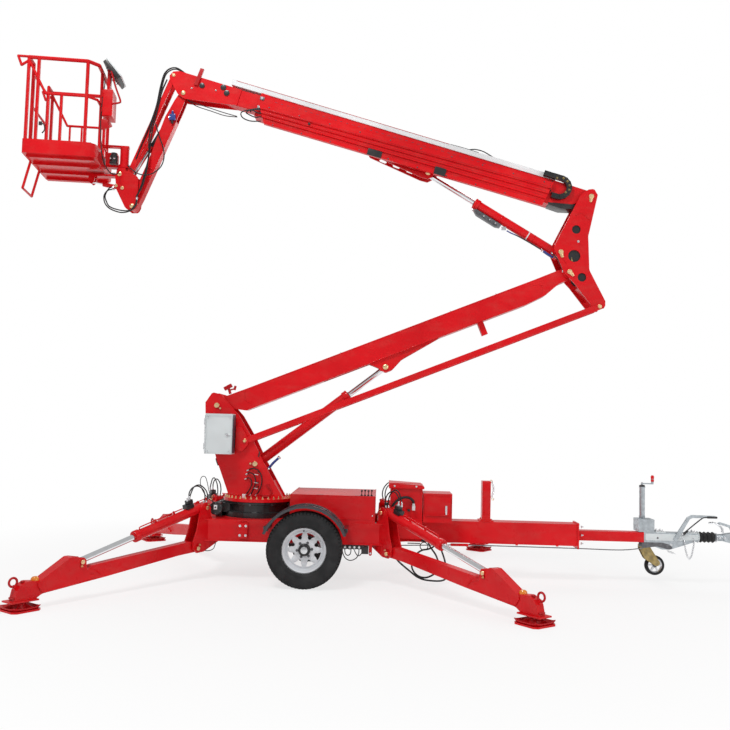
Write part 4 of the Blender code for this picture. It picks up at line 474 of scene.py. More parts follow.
class Shape:
    """A mesh in the making: every call adds one closed form."""

    def __init__(self) -> None:
        """Starts empty."""
        self.bm = bmesh.new()

    def take(self, form: bmesh.types.BMesh, bevel: float = 0.0, segments: int = 2) -> "Shape":
        """Adds a form, with its sharp edges rounded.

        Args:
            form: the form, which is used up.
            bevel: width of the rounding.
            segments: steps of the rounding.

        Returns:
            This shape.
        """
        bmesh.ops.recalc_face_normals(form, faces=form.faces)
        if bevel > 0:
            edges = [e for e in form.edges if len(e.link_faces) == 2
                     and e.calc_face_angle(0.0) > math.radians(32)]
            bmesh.ops.bevel(form, geom=edges, offset=bevel, segments=segments, profile=0.7, affect="EDGES",
                            clamp_overlap=True)
        mesh = bpy.data.meshes.new("form")
        form.to_mesh(mesh)
        form.free()
        self.bm.from_mesh(mesh)
        bpy.data.meshes.remove(mesh)
        return self

    def prism(self, outline: Sequence[Sequence[float]], low: float, high: float, bevel: float = 0.0,
              place: Matrix = HERE) -> "Shape":
        """Adds an outline in the X-Z plane, drawn out along Y.

        Args:
            outline: its (x, z) points.
            low: one end along Y.
            high: the other end.
            bevel: rounding of its edges.
            place: where the form goes.

        Returns:
            This shape.
        """
        form = bmesh.new()
        near = [form.verts.new((p[0], low, p[1])) for p in outline]
        far = [form.verts.new((p[0], high, p[1])) for p in outline]
        form.faces.new(near)
        form.faces.new(far[::-1])
        for i in range(len(outline)):
            j = (i + 1) % len(outline)
            form.faces.new((near[j], near[i], far[i], far[j]))
        bmesh.ops.transform(form, matrix=place, verts=form.verts)
        return self.take(form, bevel)

    def slab(self, outline: Sequence[Sequence[float]], low: float, high: float, bevel: float = 0.0,
             place: Matrix = HERE) -> "Shape":
        """Adds an outline in the X-Y plane, drawn out along Z."""
        turn = Matrix(((1, 0, 0, 0), (0, 0, 1, 0), (0, 1, 0, 0), (0, 0, 0, 1)))
        return self.prism(outline, low, high, bevel, place @ turn)

    def box(self, x: Place, y: Place, z: Place, bevel: float = 0.003, place: Matrix = HERE) -> "Shape":
        """Adds a box between three ranges."""
        return self.prism([(x[0], z[0]), (x[1], z[0]), (x[1], z[1]), (x[0], z[1])], y[0], y[1], bevel,
                          place)

    def lathe(self, profile: Sequence[tuple[float, float]], base: Place, axis: Place, steps: int = 32,
              closed: bool = False, wave: Sequence[float] = ()) -> "Shape":
        """Adds a profile turned round an axis.

        Args:
            profile: (radius, distance along the axis) points.
            base: start of the axis.
            axis: its direction.
            steps: sides.
            closed: whether the last point joins the first, as in a ring.
            wave: amplitude and count of flutes round the form, if any.

        Returns:
            This shape.
        """
        axis = Vector(axis).normalized()
        side = axis.orthogonal().normalized()
        other = axis.cross(side)
        form, rings = bmesh.new(), []
        for radius, height in profile:
            centre = Vector(base) + axis * height
            if radius < 1e-6:
                rings.append([form.verts.new(centre)])
                continue
            ring = []
            for k in range(steps):
                a = 2 * math.pi * (k + 0.5) / steps
                r = radius + (wave[0] * math.cos(wave[1] * a) if wave else 0.0)
                ring.append(form.verts.new(centre + r * (side * math.cos(a) + other * math.sin(a))))
            rings.append(ring)
        pairs = list(zip(rings, rings[1:])) + ([(rings[-1], rings[0])] if closed else [])
        for low, high in pairs:
            for k in range(steps):
                n = (k + 1) % steps
                corners = [low[k % len(low)], low[n % len(low)], high[n % len(high)], high[k % len(high)]]
                form.faces.new(list(dict.fromkeys(corners)))
        return self.take(form)

    def rod(self, start: Place, end: Place, radius: float, steps: int = 20, lip: float = 0.0) -> "Shape":
        """Adds a round bar with softened ends.

        Args:
            start: centre of one end.
            end: centre of the other end.
            radius: the bar's radius.
            steps: sides of its circle.
            lip: width of the softened edge, or 0 to derive it.

        Returns:
            This shape.
        """
        a, b = Vector(start), Vector(end)
        long = (b - a).length
        lip = lip or min(radius * 0.15, long * 0.2)
        return self.lathe([(0, 0), (radius - lip, 0), (radius, lip), (radius, long - lip),
                           (radius - lip, long), (0, long)], a, b - a, steps)

    def hexagon(self, centre: Place, axis: Place, across: float, height: float) -> "Shape":
        """Adds a six-sided nut or head that stands on a place.

        Args:
            centre: middle of its foot.
            axis: direction in which it stands.
            across: width across its flats.
            height: its height.

        Returns:
            This shape.
        """
        r = across / math.sqrt(3)
        return self.lathe([(0, 0), (r, 0), (r, height * 0.85), (r * 0.86, height), (0, height)], centre,
                          axis, 6)

    def tube(self, points: Sequence[Place], radius: float, steps: int = 10,
             taper: Sequence[float] = ()) -> "Shape":
        """Adds a round tube along a line of close points.

        Args:
            points: the line.
            radius: half the thickness.
            steps: sides.
            taper: radius share at the start and at the end, if they differ.

        Returns:
            This shape.
        """
        line = [Vector(p) for p in points]
        form, rings = bmesh.new(), []
        tangent = (line[1] - line[0]).normalized()
        side = tangent.orthogonal().normalized()
        for i, p in enumerate(line):
            ahead = line[min(i + 1, len(line) - 1)] - line[max(i - 1, 0)]
            if ahead.length > 1e-9:
                turn = tangent.rotation_difference(ahead.normalized())
                side = (turn @ side).normalized()
                tangent = ahead.normalized()
            other = tangent.cross(side).normalized()
            share = 1.0 if not taper else taper[0] + (taper[1] - taper[0]) * i / (len(line) - 1)
            rings.append([form.verts.new(p + radius * share * (side * math.cos(a) + other * math.sin(a)))
                          for a in (2 * math.pi * k / steps for k in range(steps))])
        for low, high in zip(rings, rings[1:]):
            for k in range(steps):
                n = (k + 1) % steps
                form.faces.new((low[k], low[n], high[n], high[k]))
        form.faces.new(rings[0][::-1])
        form.faces.new(rings[-1])
        return self.take(form)

    def bent(self, points: Sequence[Place], radius: float, steps: int = 12, step: float = 0.02) -> "Shape":
        """Adds a tube along a smooth curve through a few points."""
        return self.tube(smooth_path(points, step), radius, steps)

    def ring(self, centre: Place, axis: Place, radius: float, thick: float, steps: int = 28,
             around: int = 10) -> "Shape":
        """Adds a torus.

        Args:
            centre: its centre.
            axis: its axis.
            radius: radius of its middle line.
            thick: radius of its section.
            steps: steps round the axis.
            around: steps round the section.

        Returns:
            This shape.
        """
        profile = [(radius + thick * math.cos(a), thick * math.sin(a))
                   for a in (2 * math.pi * k / around for k in range(around))]
        return self.lathe(profile, centre, axis, steps, closed=True)

    def ball(self, centre: Place, radius: float, squash: Place = (1, 1, 1)) -> "Shape":
        """Adds a ball, squashed along the axes.

        Args:
            centre: its centre.
            radius: its radius.
            squash: share of the radius along each axis.

        Returns:
            This shape.
        """
        form = bmesh.new()
        bmesh.ops.create_uvsphere(form, u_segments=20, v_segments=12, radius=radius)
        bmesh.ops.transform(form, matrix=Matrix.Translation(centre) @ Matrix.Diagonal((*squash, 1)),
                            verts=form.verts)
        return self.take(form)

    def done(self, name: str, finish: Finish, body: str, place: Matrix = HERE, sharp: float = 38.0,
             stands_for: Iterable[str] = ()) -> bpy.types.Object:
        """Turns the shape into a piece of the lift.

        Args:
            name: the piece's name.
            finish: its finish.
            body: the body that it rides on.
            place: matrix from the shape's own plane to the trailer.
            sharp: angle above which an edge stays sharp, in degrees.
            stands_for: solids that it replaces.

        Returns:
            The finished object.
        """
        bmesh.ops.transform(self.bm, matrix=SHIFT @ place, verts=self.bm.verts)
        if (SHIFT @ place).determinant() < 0:
            bmesh.ops.reverse_faces(self.bm, faces=self.bm.faces)
        mesh = bpy.data.meshes.new(name)
        self.bm.to_mesh(mesh)
        self.bm.free()
        return register(name, mesh, finish, body, sharp, stands_for)


def register(name: str, mesh: bpy.types.Mesh, finish: Finish, body: str, sharp: float = 38.0,
             stands_for: Iterable[str] = ()) -> bpy.types.Object:
    """Makes an object of a finished mesh and hangs it on its body.

    Args:
        name: the piece's name.
        mesh: its mesh, in the frame of the part.
        finish: its finish.
        body: the body that it rides on.
        sharp: angle above which an edge stays sharp, in degrees.
        stands_for: solids that it replaces.

    Returns:
        The finished object.
    """
    mesh.materials.clear()
    mesh.materials.append(finish.material())
    mesh.shade_smooth()
    mesh.set_sharp_from_angle(angle=math.radians(sharp))
    piece = bpy.data.objects.new(name, mesh)
    bpy.context.scene.collection.objects.link(piece)
    if body:
        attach(piece, body)
    if stands_for:
        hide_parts(*stands_for)
    LOG.info("%s: %d faces on %s", name, len(mesh.polygons), body)
    return piece


# Repeats, by geometry nodes


class Pattern:
    """A geometry node tree with named inputs, used to repeat a form."""

    def __init__(self, name: str, inputs: dict[str, str]) -> None:
        """Makes the tree and its sockets.

        Args:
            name: the tree's name.
            inputs: socket type of each named input, besides the geometry and the material.
        """
        self.tree = bpy.data.node_groups.new(name, "GeometryNodeTree")
        face = self.tree.interface
        face.new_socket("Geometry", in_out="INPUT", socket_type="NodeSocketGeometry")
        for label, kind in {**inputs, "Finish": "NodeSocketMaterial"}.items():
            face.new_socket(label, in_out="INPUT", socket_type=kind)
        face.new_socket("Geometry", in_out="OUTPUT", socket_type="NodeSocketGeometry")
        self.desk = Desk(self.tree)
        self.entry = self.desk.add("NodeGroupInput").outputs
        self.build()

    def build(self) -> None:
        """Wires the tree between its entry and close()."""
        raise NotImplementedError

    def close(self, instances: bpy.types.NodeSocket) -> None:
        """Ends the tree in real geometry with its finish.

        Args:
            instances: the repeated forms.
        """
        real = self.desk.add("GeometryNodeRealizeInstances")
        paint = self.desk.add("GeometryNodeSetMaterial")
        leave = self.desk.add("NodeGroupOutput")
        self.desk.join(instances, real.inputs["Geometry"])
        self.desk.join(real.outputs["Geometry"], paint.inputs["Geometry"])
        self.desk.join(self.entry["Finish"], paint.inputs["Material"])
        self.desk.join(paint.outputs["Geometry"], leave.inputs["Geometry"])

    def attribute(self, name: str) -> bpy.types.NodeSocket:
        """A direction that is stored on the points.

        Args:
            name: the attribute's name.

        Returns:
            The socket that reads it.
        """
        node = self.desk.add("GeometryNodeInputNamedAttribute", data_type="FLOAT_VECTOR")
        node.inputs["Name"].default_value = name
        return node.outputs["Attribute"]

    def turned(self) -> bpy.types.NodeSocket:
        """Rotation from each point's facing and side directions.

        Returns:
            The rotation's socket.
        """
        turn = self.desk.add("FunctionNodeAxesToRotation", primary_axis="Z", secondary_axis="X")
        self.desk.join(self.attribute("facing"), turn.inputs["Primary Axis"])
        self.desk.join(self.attribute("side"), turn.inputs["Secondary Axis"])
        return turn.outputs["Rotation"]

    def make(self, source: bpy.types.Mesh, values: dict[str, object]) -> bpy.types.Mesh:
        """Runs the tree on a mesh and keeps the result.

        Args:
            source: the mesh that enters the tree.
            values: value of each named input.

        Returns:
            The resulting plain mesh.
        """
        carrier = bpy.data.objects.new("carrier", source)
        bpy.context.scene.collection.objects.link(carrier)
        modifier = carrier.modifiers.new("pattern", "NODES")
        modifier.node_group = self.tree
        for item in self.tree.interface.items_tree:
            if item.in_out == "INPUT" and item.name in values:
                modifier[item.identifier] = values[item.name]
        bpy.context.view_layer.update()
        graph = bpy.context.evaluated_depsgraph_get()
        mesh = bpy.data.meshes.new_from_object(carrier.evaluated_get(graph))
        carrier.modifiers.clear()
        bpy.data.objects.remove(carrier, do_unlink=True)
        bpy.data.meshes.remove(source)
        for name in ("facing", "side"):
            if mesh.attributes.get(name):
                mesh.attributes.remove(mesh.attributes[name])
        return mesh


class BoltPattern(Pattern):
    """Washer, six-sided head and thread end on every point."""

    def build(self) -> None:
        """Builds the bolt from its sizes and sets it on the points."""
        desk, parts = self.desk, desk_join(self.desk)
        for sides, radius, height, base in ((18, "Washer Radius", "Washer Height", None),
                                            (6, "Head Radius", "Head Height", "Washer Height"),
                                            (10, "Thread Radius", "Thread Height", "Head Height")):
            body = desk.add("GeometryNodeMeshCylinder")
            body.inputs["Vertices"].default_value = sides
            desk.join(self.entry[radius], body.inputs["Radius"])
            desk.join(self.entry[height], body.inputs["Depth"])
            half = desk.add("ShaderNodeMath", operation="MULTIPLY")
            half.inputs[1].default_value = 0.5
            desk.join(self.entry[height], half.inputs[0])
            lift = desk.add("ShaderNodeMath", operation="ADD")
            desk.join(half.outputs[0], lift.inputs[0])
            lift.inputs[1].default_value = 0.0
            if base:
                desk.join(self.entry[base], lift.inputs[1])
            up = desk.add("ShaderNodeCombineXYZ")
            desk.join(lift.outputs[0], up.inputs["Z"])
            move = desk.add("GeometryNodeTransform")
            desk.join(body.outputs["Mesh"], move.inputs["Geometry"])
            desk.join(up.outputs[0], move.inputs["Translation"])
            desk.join(move.outputs["Geometry"], parts.inputs["Geometry"])
        spin = desk.add("FunctionNodeRandomValue", data_type="FLOAT")
        desk.join(self.entry["Seed"], spin.inputs["Seed"])
        spin.inputs[3].default_value = math.tau / 6
        twist = desk.add("ShaderNodeCombineXYZ")
        desk.join(spin.outputs[1], twist.inputs["Z"])
        place = desk.add("GeometryNodeInstanceOnPoints")
        desk.join(self.entry["Geometry"], place.inputs["Points"])
        desk.join(parts.outputs["Geometry"], place.inputs["Instance"])
        desk.join(self.turned(), place.inputs["Rotation"])
        turn = desk.add("GeometryNodeRotateInstances")
        desk.join(place.outputs["Instances"], turn.inputs["Instances"])
        desk.join(twist.outputs[0], turn.inputs["Rotation"])
        self.close(turn.outputs["Instances"])


class ScatterPattern(Pattern):
    """Another object's form on every point, turned by the point's two directions."""

    def build(self) -> None:
        """Sets the form on the points."""
        desk = self.desk
        form = desk.add("GeometryNodeObjectInfo")
        desk.join(self.entry["Form"], form.inputs["Object"])
        place = desk.add("GeometryNodeInstanceOnPoints")
        desk.join(self.entry["Geometry"], place.inputs["Points"])
        desk.join(form.outputs["Geometry"], place.inputs["Instance"])
        desk.join(self.turned(), place.inputs["Rotation"])
        self.close(place.outputs["Instances"])


class AroundPattern(Pattern):
    """Copies of the form turned evenly round an axis through a centre."""

    def build(self) -> None:
        """Turns one instance after another about the axis."""
        desk = self.desk
        back = desk.add("ShaderNodeVectorMath", operation="SCALE")
        back.inputs["Scale"].default_value = -1.0
        desk.join(self.entry["Centre"], back.inputs[0])
        home = desk.add("GeometryNodeTransform")
        desk.join(self.entry["Geometry"], home.inputs["Geometry"])
        desk.join(back.outputs["Vector"], home.inputs["Translation"])
        points = desk.add("GeometryNodePoints")
        desk.join(self.entry["Count"], points.inputs["Count"])
        place = desk.add("GeometryNodeInstanceOnPoints")
        desk.join(points.outputs["Points"] if "Points" in points.outputs else points.outputs[0],
                  place.inputs["Points"])
        desk.join(home.outputs["Geometry"], place.inputs["Instance"])
        index = desk.add("GeometryNodeInputIndex")
        share = desk.add("ShaderNodeMath", operation="DIVIDE")
        desk.join(index.outputs[0], share.inputs[0])
        desk.join(self.entry["Count"], share.inputs[1])
        angle = desk.add("ShaderNodeMath", operation="MULTIPLY")
        angle.inputs[1].default_value = math.tau
        desk.join(share.outputs[0], angle.inputs[0])
        turn = desk.add("FunctionNodeAxisAngleToRotation")
        desk.join(self.entry["Axis"], turn.inputs["Axis"])
        desk.join(angle.outputs[0], turn.inputs["Angle"])
        desk.join(turn.outputs["Rotation"], place.inputs["Rotation"])
        out = desk.add("GeometryNodeTransform")
        desk.join(place.outputs["Instances"], out.inputs["Geometry"])
        desk.join(self.entry["Centre"], out.inputs["Translation"])
        self.close(out.outputs["Geometry"])


def desk_join(desk: Desk) -> bpy.types.Node:
    """A node that joins several geometries."""
    return desk.add("GeometryNodeJoinGeometry")


class Patterns:
    """The three repeating trees of the lift, made once each."""

    def __init__(self) -> None:
        """Builds the trees."""
        size = "NodeSocketFloat"
        self.bolt = BoltPattern("bolts", {"Washer Radius": size, "Washer Height": size, "Head Radius": size,
                                          "Head Height": size, "Thread Radius": size, "Thread Height": size,
                                          "Seed": "NodeSocketInt"})
        self.scatter = ScatterPattern("scattered_form", {"Form": "NodeSocketObject"})
        self.around = AroundPattern("round_an_axis", {"Count": "NodeSocketInt", "Centre": "NodeSocketVector",
                                                      "Axis": "NodeSocketVector"})

    @staticmethod
    def points(spots: Sequence[tuple[Place, Place]], place: Matrix,
               sides: Sequence[Place] = ()) -> bpy.types.Mesh:
        """Mesh of loose points with their directions.

        Args:
            spots: place and facing direction of each point.
            place: matrix from the spots' own plane to the trailer.
            sides: second direction of each point, if it matters.

        Returns:
            The mesh, in the frame of the part.
        """
        whole = SHIFT @ place
        turn = whole.to_3x3()
        mesh = bpy.data.meshes.new("points")
        mesh.from_pydata([whole @ Vector(p) for p, _ in spots], [], [])
        facing = mesh.attributes.new("facing", "FLOAT_VECTOR", "POINT")
        side = mesh.attributes.new("side", "FLOAT_VECTOR", "POINT")
        for k, (_, direction) in enumerate(spots):
            d = (turn @ Vector(direction)).normalized()
            s = (turn @ Vector(sides[k])) if sides else d.orthogonal()
            facing.data[k].vector, side.data[k].vector = d, s.normalized()
        return mesh

    def bolts(self, name: str, spots: Sequence[tuple[Place, Place]], across: float, body: str,
              finish: Finish = YELLOW_ZINC, place: Matrix = HERE, thread: float = 0.25) -> bpy.types.Object:
        """A group of bolts as one piece.

        Args:
            name: the piece's name.
            spots: place and direction of each bolt.
            across: width of a head over its flats.
            body: the body that they ride on.
            finish: their finish.
            place: matrix from the spots' own plane to the trailer.
            thread: height of the thread end, in widths of the head.

        Returns:
            The finished object.
        """
        head = across * 0.62
        mesh = self.bolt.make(self.points(spots, place), {"Washer Radius": across * 0.86,
                                                          "Washer Height": across * 0.12,
                                                          "Head Radius": across / math.sqrt(3),
                                                          "Head Height": head,
                                                          "Thread Radius": across * 0.30,
                                                          "Thread Height": head + across * thread, "Seed": 7,
                                                          "Finish": finish.material()})
        return register(name, mesh, finish, body)

    def scattered(self, name: str, form: Shape, spots: Sequence[tuple[Place, Place]], sides: Sequence[Place],
                  finish: Finish, body: str, place: Matrix = HERE, sharp: float = 38.0) -> bpy.types.Object:
        """A form on many points as one piece.

        Args:
            name: the piece's name.
            form: the repeated form, round its own origin.
            spots: place and facing direction of each copy.
            sides: second direction of each copy.
            finish: the finish.
            body: the body that they ride on.
            place: matrix from the spots' own plane to the trailer.
            sharp: angle above which an edge stays sharp, in degrees.

        Returns:
            The finished object.
        """
        mesh = bpy.data.meshes.new("form")
        form.bm.to_mesh(mesh)
        form.bm.free()
        template = bpy.data.objects.new("template", mesh)
        bpy.context.scene.collection.objects.link(template)
        made = self.scatter.make(self.points(spots, place, sides),
                                 {"Form": template, "Finish": finish.material()})
        bpy.data.objects.remove(template, do_unlink=True)
        bpy.data.meshes.remove(mesh)
        return register(name, made, finish, body, sharp)

    def ringed(self, name: str, form: Shape, count: int, centre: Place, axis: Place, finish: Finish, body: str,
               sharp: float = 38.0) -> bpy.types.Object:
        """A form repeated round an axis as one piece.

        Args:
            name: the piece's name.
            form: the first copy, in its place on the trailer.
            count: how many copies.
            centre: a point on the axis.
            axis: its direction.
            finish: the finish.
            body: the body that it rides on.
            sharp: angle above which an edge stays sharp, in degrees.

        Returns:
            The finished object.
        """
        bmesh.ops.transform(form.bm, matrix=SHIFT, verts=form.bm.verts)
        mesh = bpy.data.meshes.new("tooth")
        form.bm.to_mesh(mesh)
        form.bm.free()
        made = self.around.make(mesh, {"Count": count, "Centre": SHIFT @ Vector(centre),
                                       "Axis": Vector(axis), "Finish": finish.material()})
        return register(name, made, finish, body, sharp)


# Camera and studio


@dataclass(frozen=True)
class Studio:
    """White studio: camera of the photograph, pale floor, soft lamps."""

    focal_share: float = 850.0 / 730.0
    eye: tuple[float, float, float] = (0.683, -8.67, 1.549)
    yaw: float = math.radians(1.23)
    pitch: float = math.radians(3.74)
    roll: float = math.radians(1.47)

    def camera(self) -> None:
        """Places the camera where the photograph was taken from."""
        data = bpy.data.cameras.new("camera")
        data.sensor_width = 36.0
        data.sensor_fit = "HORIZONTAL"
        data.lens = 36.0 * self.focal_share
        data.clip_end = 200.0
        camera = bpy.data.objects.new("camera", data)
        bpy.context.scene.collection.objects.link(camera)
        c, s = math.cos(self.yaw), math.sin(self.yaw)
        level = Vector((-s, c, 0.0))
        right = Vector((c, s, 0.0))
        up = Vector((0, 0, 1)) * math.cos(self.pitch) - level * math.sin(self.pitch)
        ahead = level * math.cos(self.pitch) + Vector((0, 0, 1)) * math.sin(self.pitch)
        cr, sr = math.cos(self.roll), math.sin(self.roll)
        turned_right = right * cr + up * sr
        turned_up = up * cr - right * sr
        basis = Matrix((turned_right, turned_up, -ahead)).transposed().to_4x4()
        camera.matrix_world = SHIFT @ Matrix.Translation(self.eye) @ basis
        bpy.context.scene.camera = camera

    @staticmethod
    def seen(desk: Desk) -> bpy.types.NodeSocket:
        """Share that is 1 for camera, glossy and transmission rays.

        Args:
            desk: the tree of the world or the floor.

        Returns:
            The share's socket.
        """
        path = desk.add("ShaderNodeLightPath")
        both = desk.add("ShaderNodeMath", operation="MAXIMUM")
        every = desk.add("ShaderNodeMath", operation="MAXIMUM")
        desk.join(path.outputs["Is Camera Ray"], both.inputs[0])
        desk.join(path.outputs["Is Glossy Ray"], both.inputs[1])
        desk.join(both.outputs[0], every.inputs[0])
        desk.join(path.outputs["Is Transmission Ray"], every.inputs[1])
        return every.outputs[0]

    def world(self) -> None:
        """White where it is seen, softer where it only lights."""
        world = bpy.data.worlds.new("studio")
        bpy.context.scene.world = world
        world.use_nodes = True
        desk = Desk(world.node_tree)
        shade = world.node_tree.nodes["Background"]
        shade.inputs["Color"].default_value = (1.0, 1.0, 1.0, 1.0)
        strength = desk.add("ShaderNodeMapRange")
        strength.inputs["To Min"].default_value = 0.42
        strength.inputs["To Max"].default_value = 1.0
        desk.join(self.seen(desk), strength.inputs["Value"])
        glossy = desk.add("ShaderNodeMapRange")
        glossy.inputs["To Min"].default_value = 1.0
        glossy.inputs["To Max"].default_value = 0.50
        desk.join(desk.add("ShaderNodeLightPath").outputs["Is Glossy Ray"], glossy.inputs["Value"])
        both = desk.add("ShaderNodeMath", operation="MULTIPLY")
        desk.join(strength.outputs["Result"], both.inputs[0])
        desk.join(glossy.outputs["Result"], both.inputs[1])
        desk.join(both.outputs[0], shade.inputs["Strength"])

    def floor(self) -> None:
        """Wide pale floor that keeps the soft shadow and fades to white."""
        material = bpy.data.materials.new("studio_floor")
        material.use_nodes = True
        desk = Desk(material.node_tree)
        shader = material.node_tree.nodes["Principled BSDF"]
        shader.inputs["Base Color"].default_value = (0.93, 0.93, 0.93, 1.0)
        shader.inputs["Roughness"].default_value = 0.9
        shader.inputs["Specular IOR Level"].default_value = 0.1
        glow = desk.add("ShaderNodeEmission")
        glow.inputs["Color"].default_value = (1.0, 1.0, 1.0, 1.0)
        place = desk.add("ShaderNodeTexCoord")
        length = desk.add("ShaderNodeVectorMath", operation="LENGTH")
        desk.join(place.outputs["Object"], length.inputs[0])
        fade = desk.add("ShaderNodeMapRange", interpolation_type="SMOOTHSTEP")
        for socket, value in zip(("From Min", "From Max", "To Min", "To Max"), (2.0, 6.0, 0.72, 1.0)):
            fade.inputs[socket].default_value = value
        desk.join(length.outputs["Value"], fade.inputs["Value"])
        share = desk.add("ShaderNodeMath", operation="MULTIPLY")
        desk.join(fade.outputs["Result"], share.inputs[0])
        desk.join(self.seen(desk), share.inputs[1])
        mix = desk.add("ShaderNodeMixShader")
        desk.join(share.outputs[0], mix.inputs[0])
        desk.join(shader.outputs[0], mix.inputs[1])
        desk.join(glow.outputs[0], mix.inputs[2])
        desk.join(mix.outputs[0], material.node_tree.nodes["Material Output"].inputs["Surface"])
        mesh = bpy.data.meshes.new("floor")
        mesh.from_pydata([(-60, -60, -0.002), (60, -60, -0.002), (60, 60, -0.002), (-60, 60, -0.002)], [],
                         [(0, 1, 2, 3)])
        mesh.materials.append(material)
        floor = bpy.data.objects.new("floor", mesh)
        bpy.context.scene.collection.objects.link(floor)

    def lamps(self) -> None:
        """Three large soft lamps: key from the front, fill from the right, edge from behind."""
        for name, place, aim, size, power in (("key", (-3.0, -6.2, 11.0), (-0.3, 0.0, 2.0), 3.2, 560.0),
                                              ("fill", (6.5, -6.0, 4.0), (0.8, 0.0, 1.6), 4.5, 130.0),
                                              ("edge", (1.0, 7.0, 6.5), (-0.5, 0.0, 2.2), 5.0, 160.0)):
            data = bpy.data.lights.new(name, "AREA")
            data.shape = "DISK"
            data.size = size
            data.energy = power
            lamp = bpy.data.objects.new(name, data)
            bpy.context.scene.collection.objects.link(lamp)
            lamp.location = place
            lamp.rotation_mode = "QUATERNION"
            lamp.rotation_quaternion = (Vector(aim) - Vector(place)).to_track_quat("-Z", "Y")

    def build(self) -> None:
        """Sets up the whole studio."""
        bpy.context.scene.view_settings.view_transform = "Standard"
        self.camera()
        self.world()
        self.floor()
        self.lamps()


# Cords


@dataclass
class Hose:
    """A hydraulic hose or cable of a fixed length between two places."""

    name: str
    body: str
    points: Sequence[Place]
    diameter: float = 0.014
    place: Matrix = HERE
    ferrules: bool = True
    stiffness: str = "medium"
    lay: str = "hanging"
    across: tuple[str, str] | None = None
    finish: Finish = HOSE
    far: str = "object"

    def make(self) -> bpy.types.Object:
        """Returns:
            The hose.
        """
        line = smooth_path([self.place @ Vector(p) for p in self.points], max(0.008, self.diameter * 0.6))
        shape = Shape().tube(line, self.diameter / 2, 10)
        piece = shape.done(self.name, self.finish, "" if self.across else self.body)
        if self.ferrules:
            self.crimps(line)
        if self.across:
            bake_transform(piece)
        return piece

    def crimps(self, line: Sequence[Vector]) -> bpy.types.Object:
        """Crimped sleeve and nut at both ends.

        Args:
            line: the hose's centreline.

        Returns:
            Both ends as one piece.
        """
        shape = Shape()
        r = self.diameter / 2
        ends = [(line[0], line[1])] if self.across else [(line[0], line[1]), (line[-1], line[-2])]
        for start, ahead in ends:
            d = (ahead - start).normalized()
            shape.lathe([(r * 0.9, 0.0), (r * 1.25, 0.001), (r * 1.32, r * 2.6), (r * 1.12, r * 3.2)], start,
                        d, 14)
            shape.hexagon(start - d * r * 0.5, d, r * 2.9, r * 1.1)
        return shape.done(self.name + "_ends", BRIGHT_ZINC, self.body)


# Helpers for pins


def pin_head(shape: Shape, plates: Shape, centre: Sequence[float], y: float, side: float, radius: float,
             keeper: float, reach: float = 0.046) -> tuple[Place, Place]:
    """Domed pin end with its keeper plate.

    Args:
        shape: gets the pin's end.
        plates: gets the keeper plate.
        centre: the pin's axis (x, z).
        y: outer face that the plate lies on.
        side: -1 on the near side, 1 on the far one.
        radius: the pin's radius.
        keeper: direction of the keeper from the pin, in degrees.
        reach: distance from the pin to the keeper's bolt.

    Returns:
        Place and direction of the keeper's bolt.
    """
    x, z = centre
    a = math.radians(keeper)
    shape.lathe([(0, 0), (radius, 0), (radius, 0.013), (radius * 0.86, 0.016), (0, 0.0165)], (x, y, z),
                (0, side, 0), 24)
    ux, uz = math.cos(a), math.sin(a)
    px, pz = -uz, ux
    w0, w1 = radius * 0.95, 0.011
    outline = rounded([(x + px * w0 - ux * radius * 0.9, z + pz * w0 - uz * radius * 0.9, w0 * 0.8),
                       (x - px * w0 - ux * radius * 0.9, z - pz * w0 - uz * radius * 0.9, w0 * 0.8),
                       (x - px * w1 + ux * (reach + 0.012), z - pz * w1 + uz * (reach + 0.012), 0.009),
                       (x + px * w1 + ux * (reach + 0.012), z + pz * w1 + uz * (reach + 0.012), 0.009)], 5)
    plates.prism(outline, *sorted((y + side * 0.0005, y + side * 0.007)), 0.001)
    return (x + ux * reach, y + side * 0.007, z + uz * reach), (0, side, 0)


# Sub-assemblies


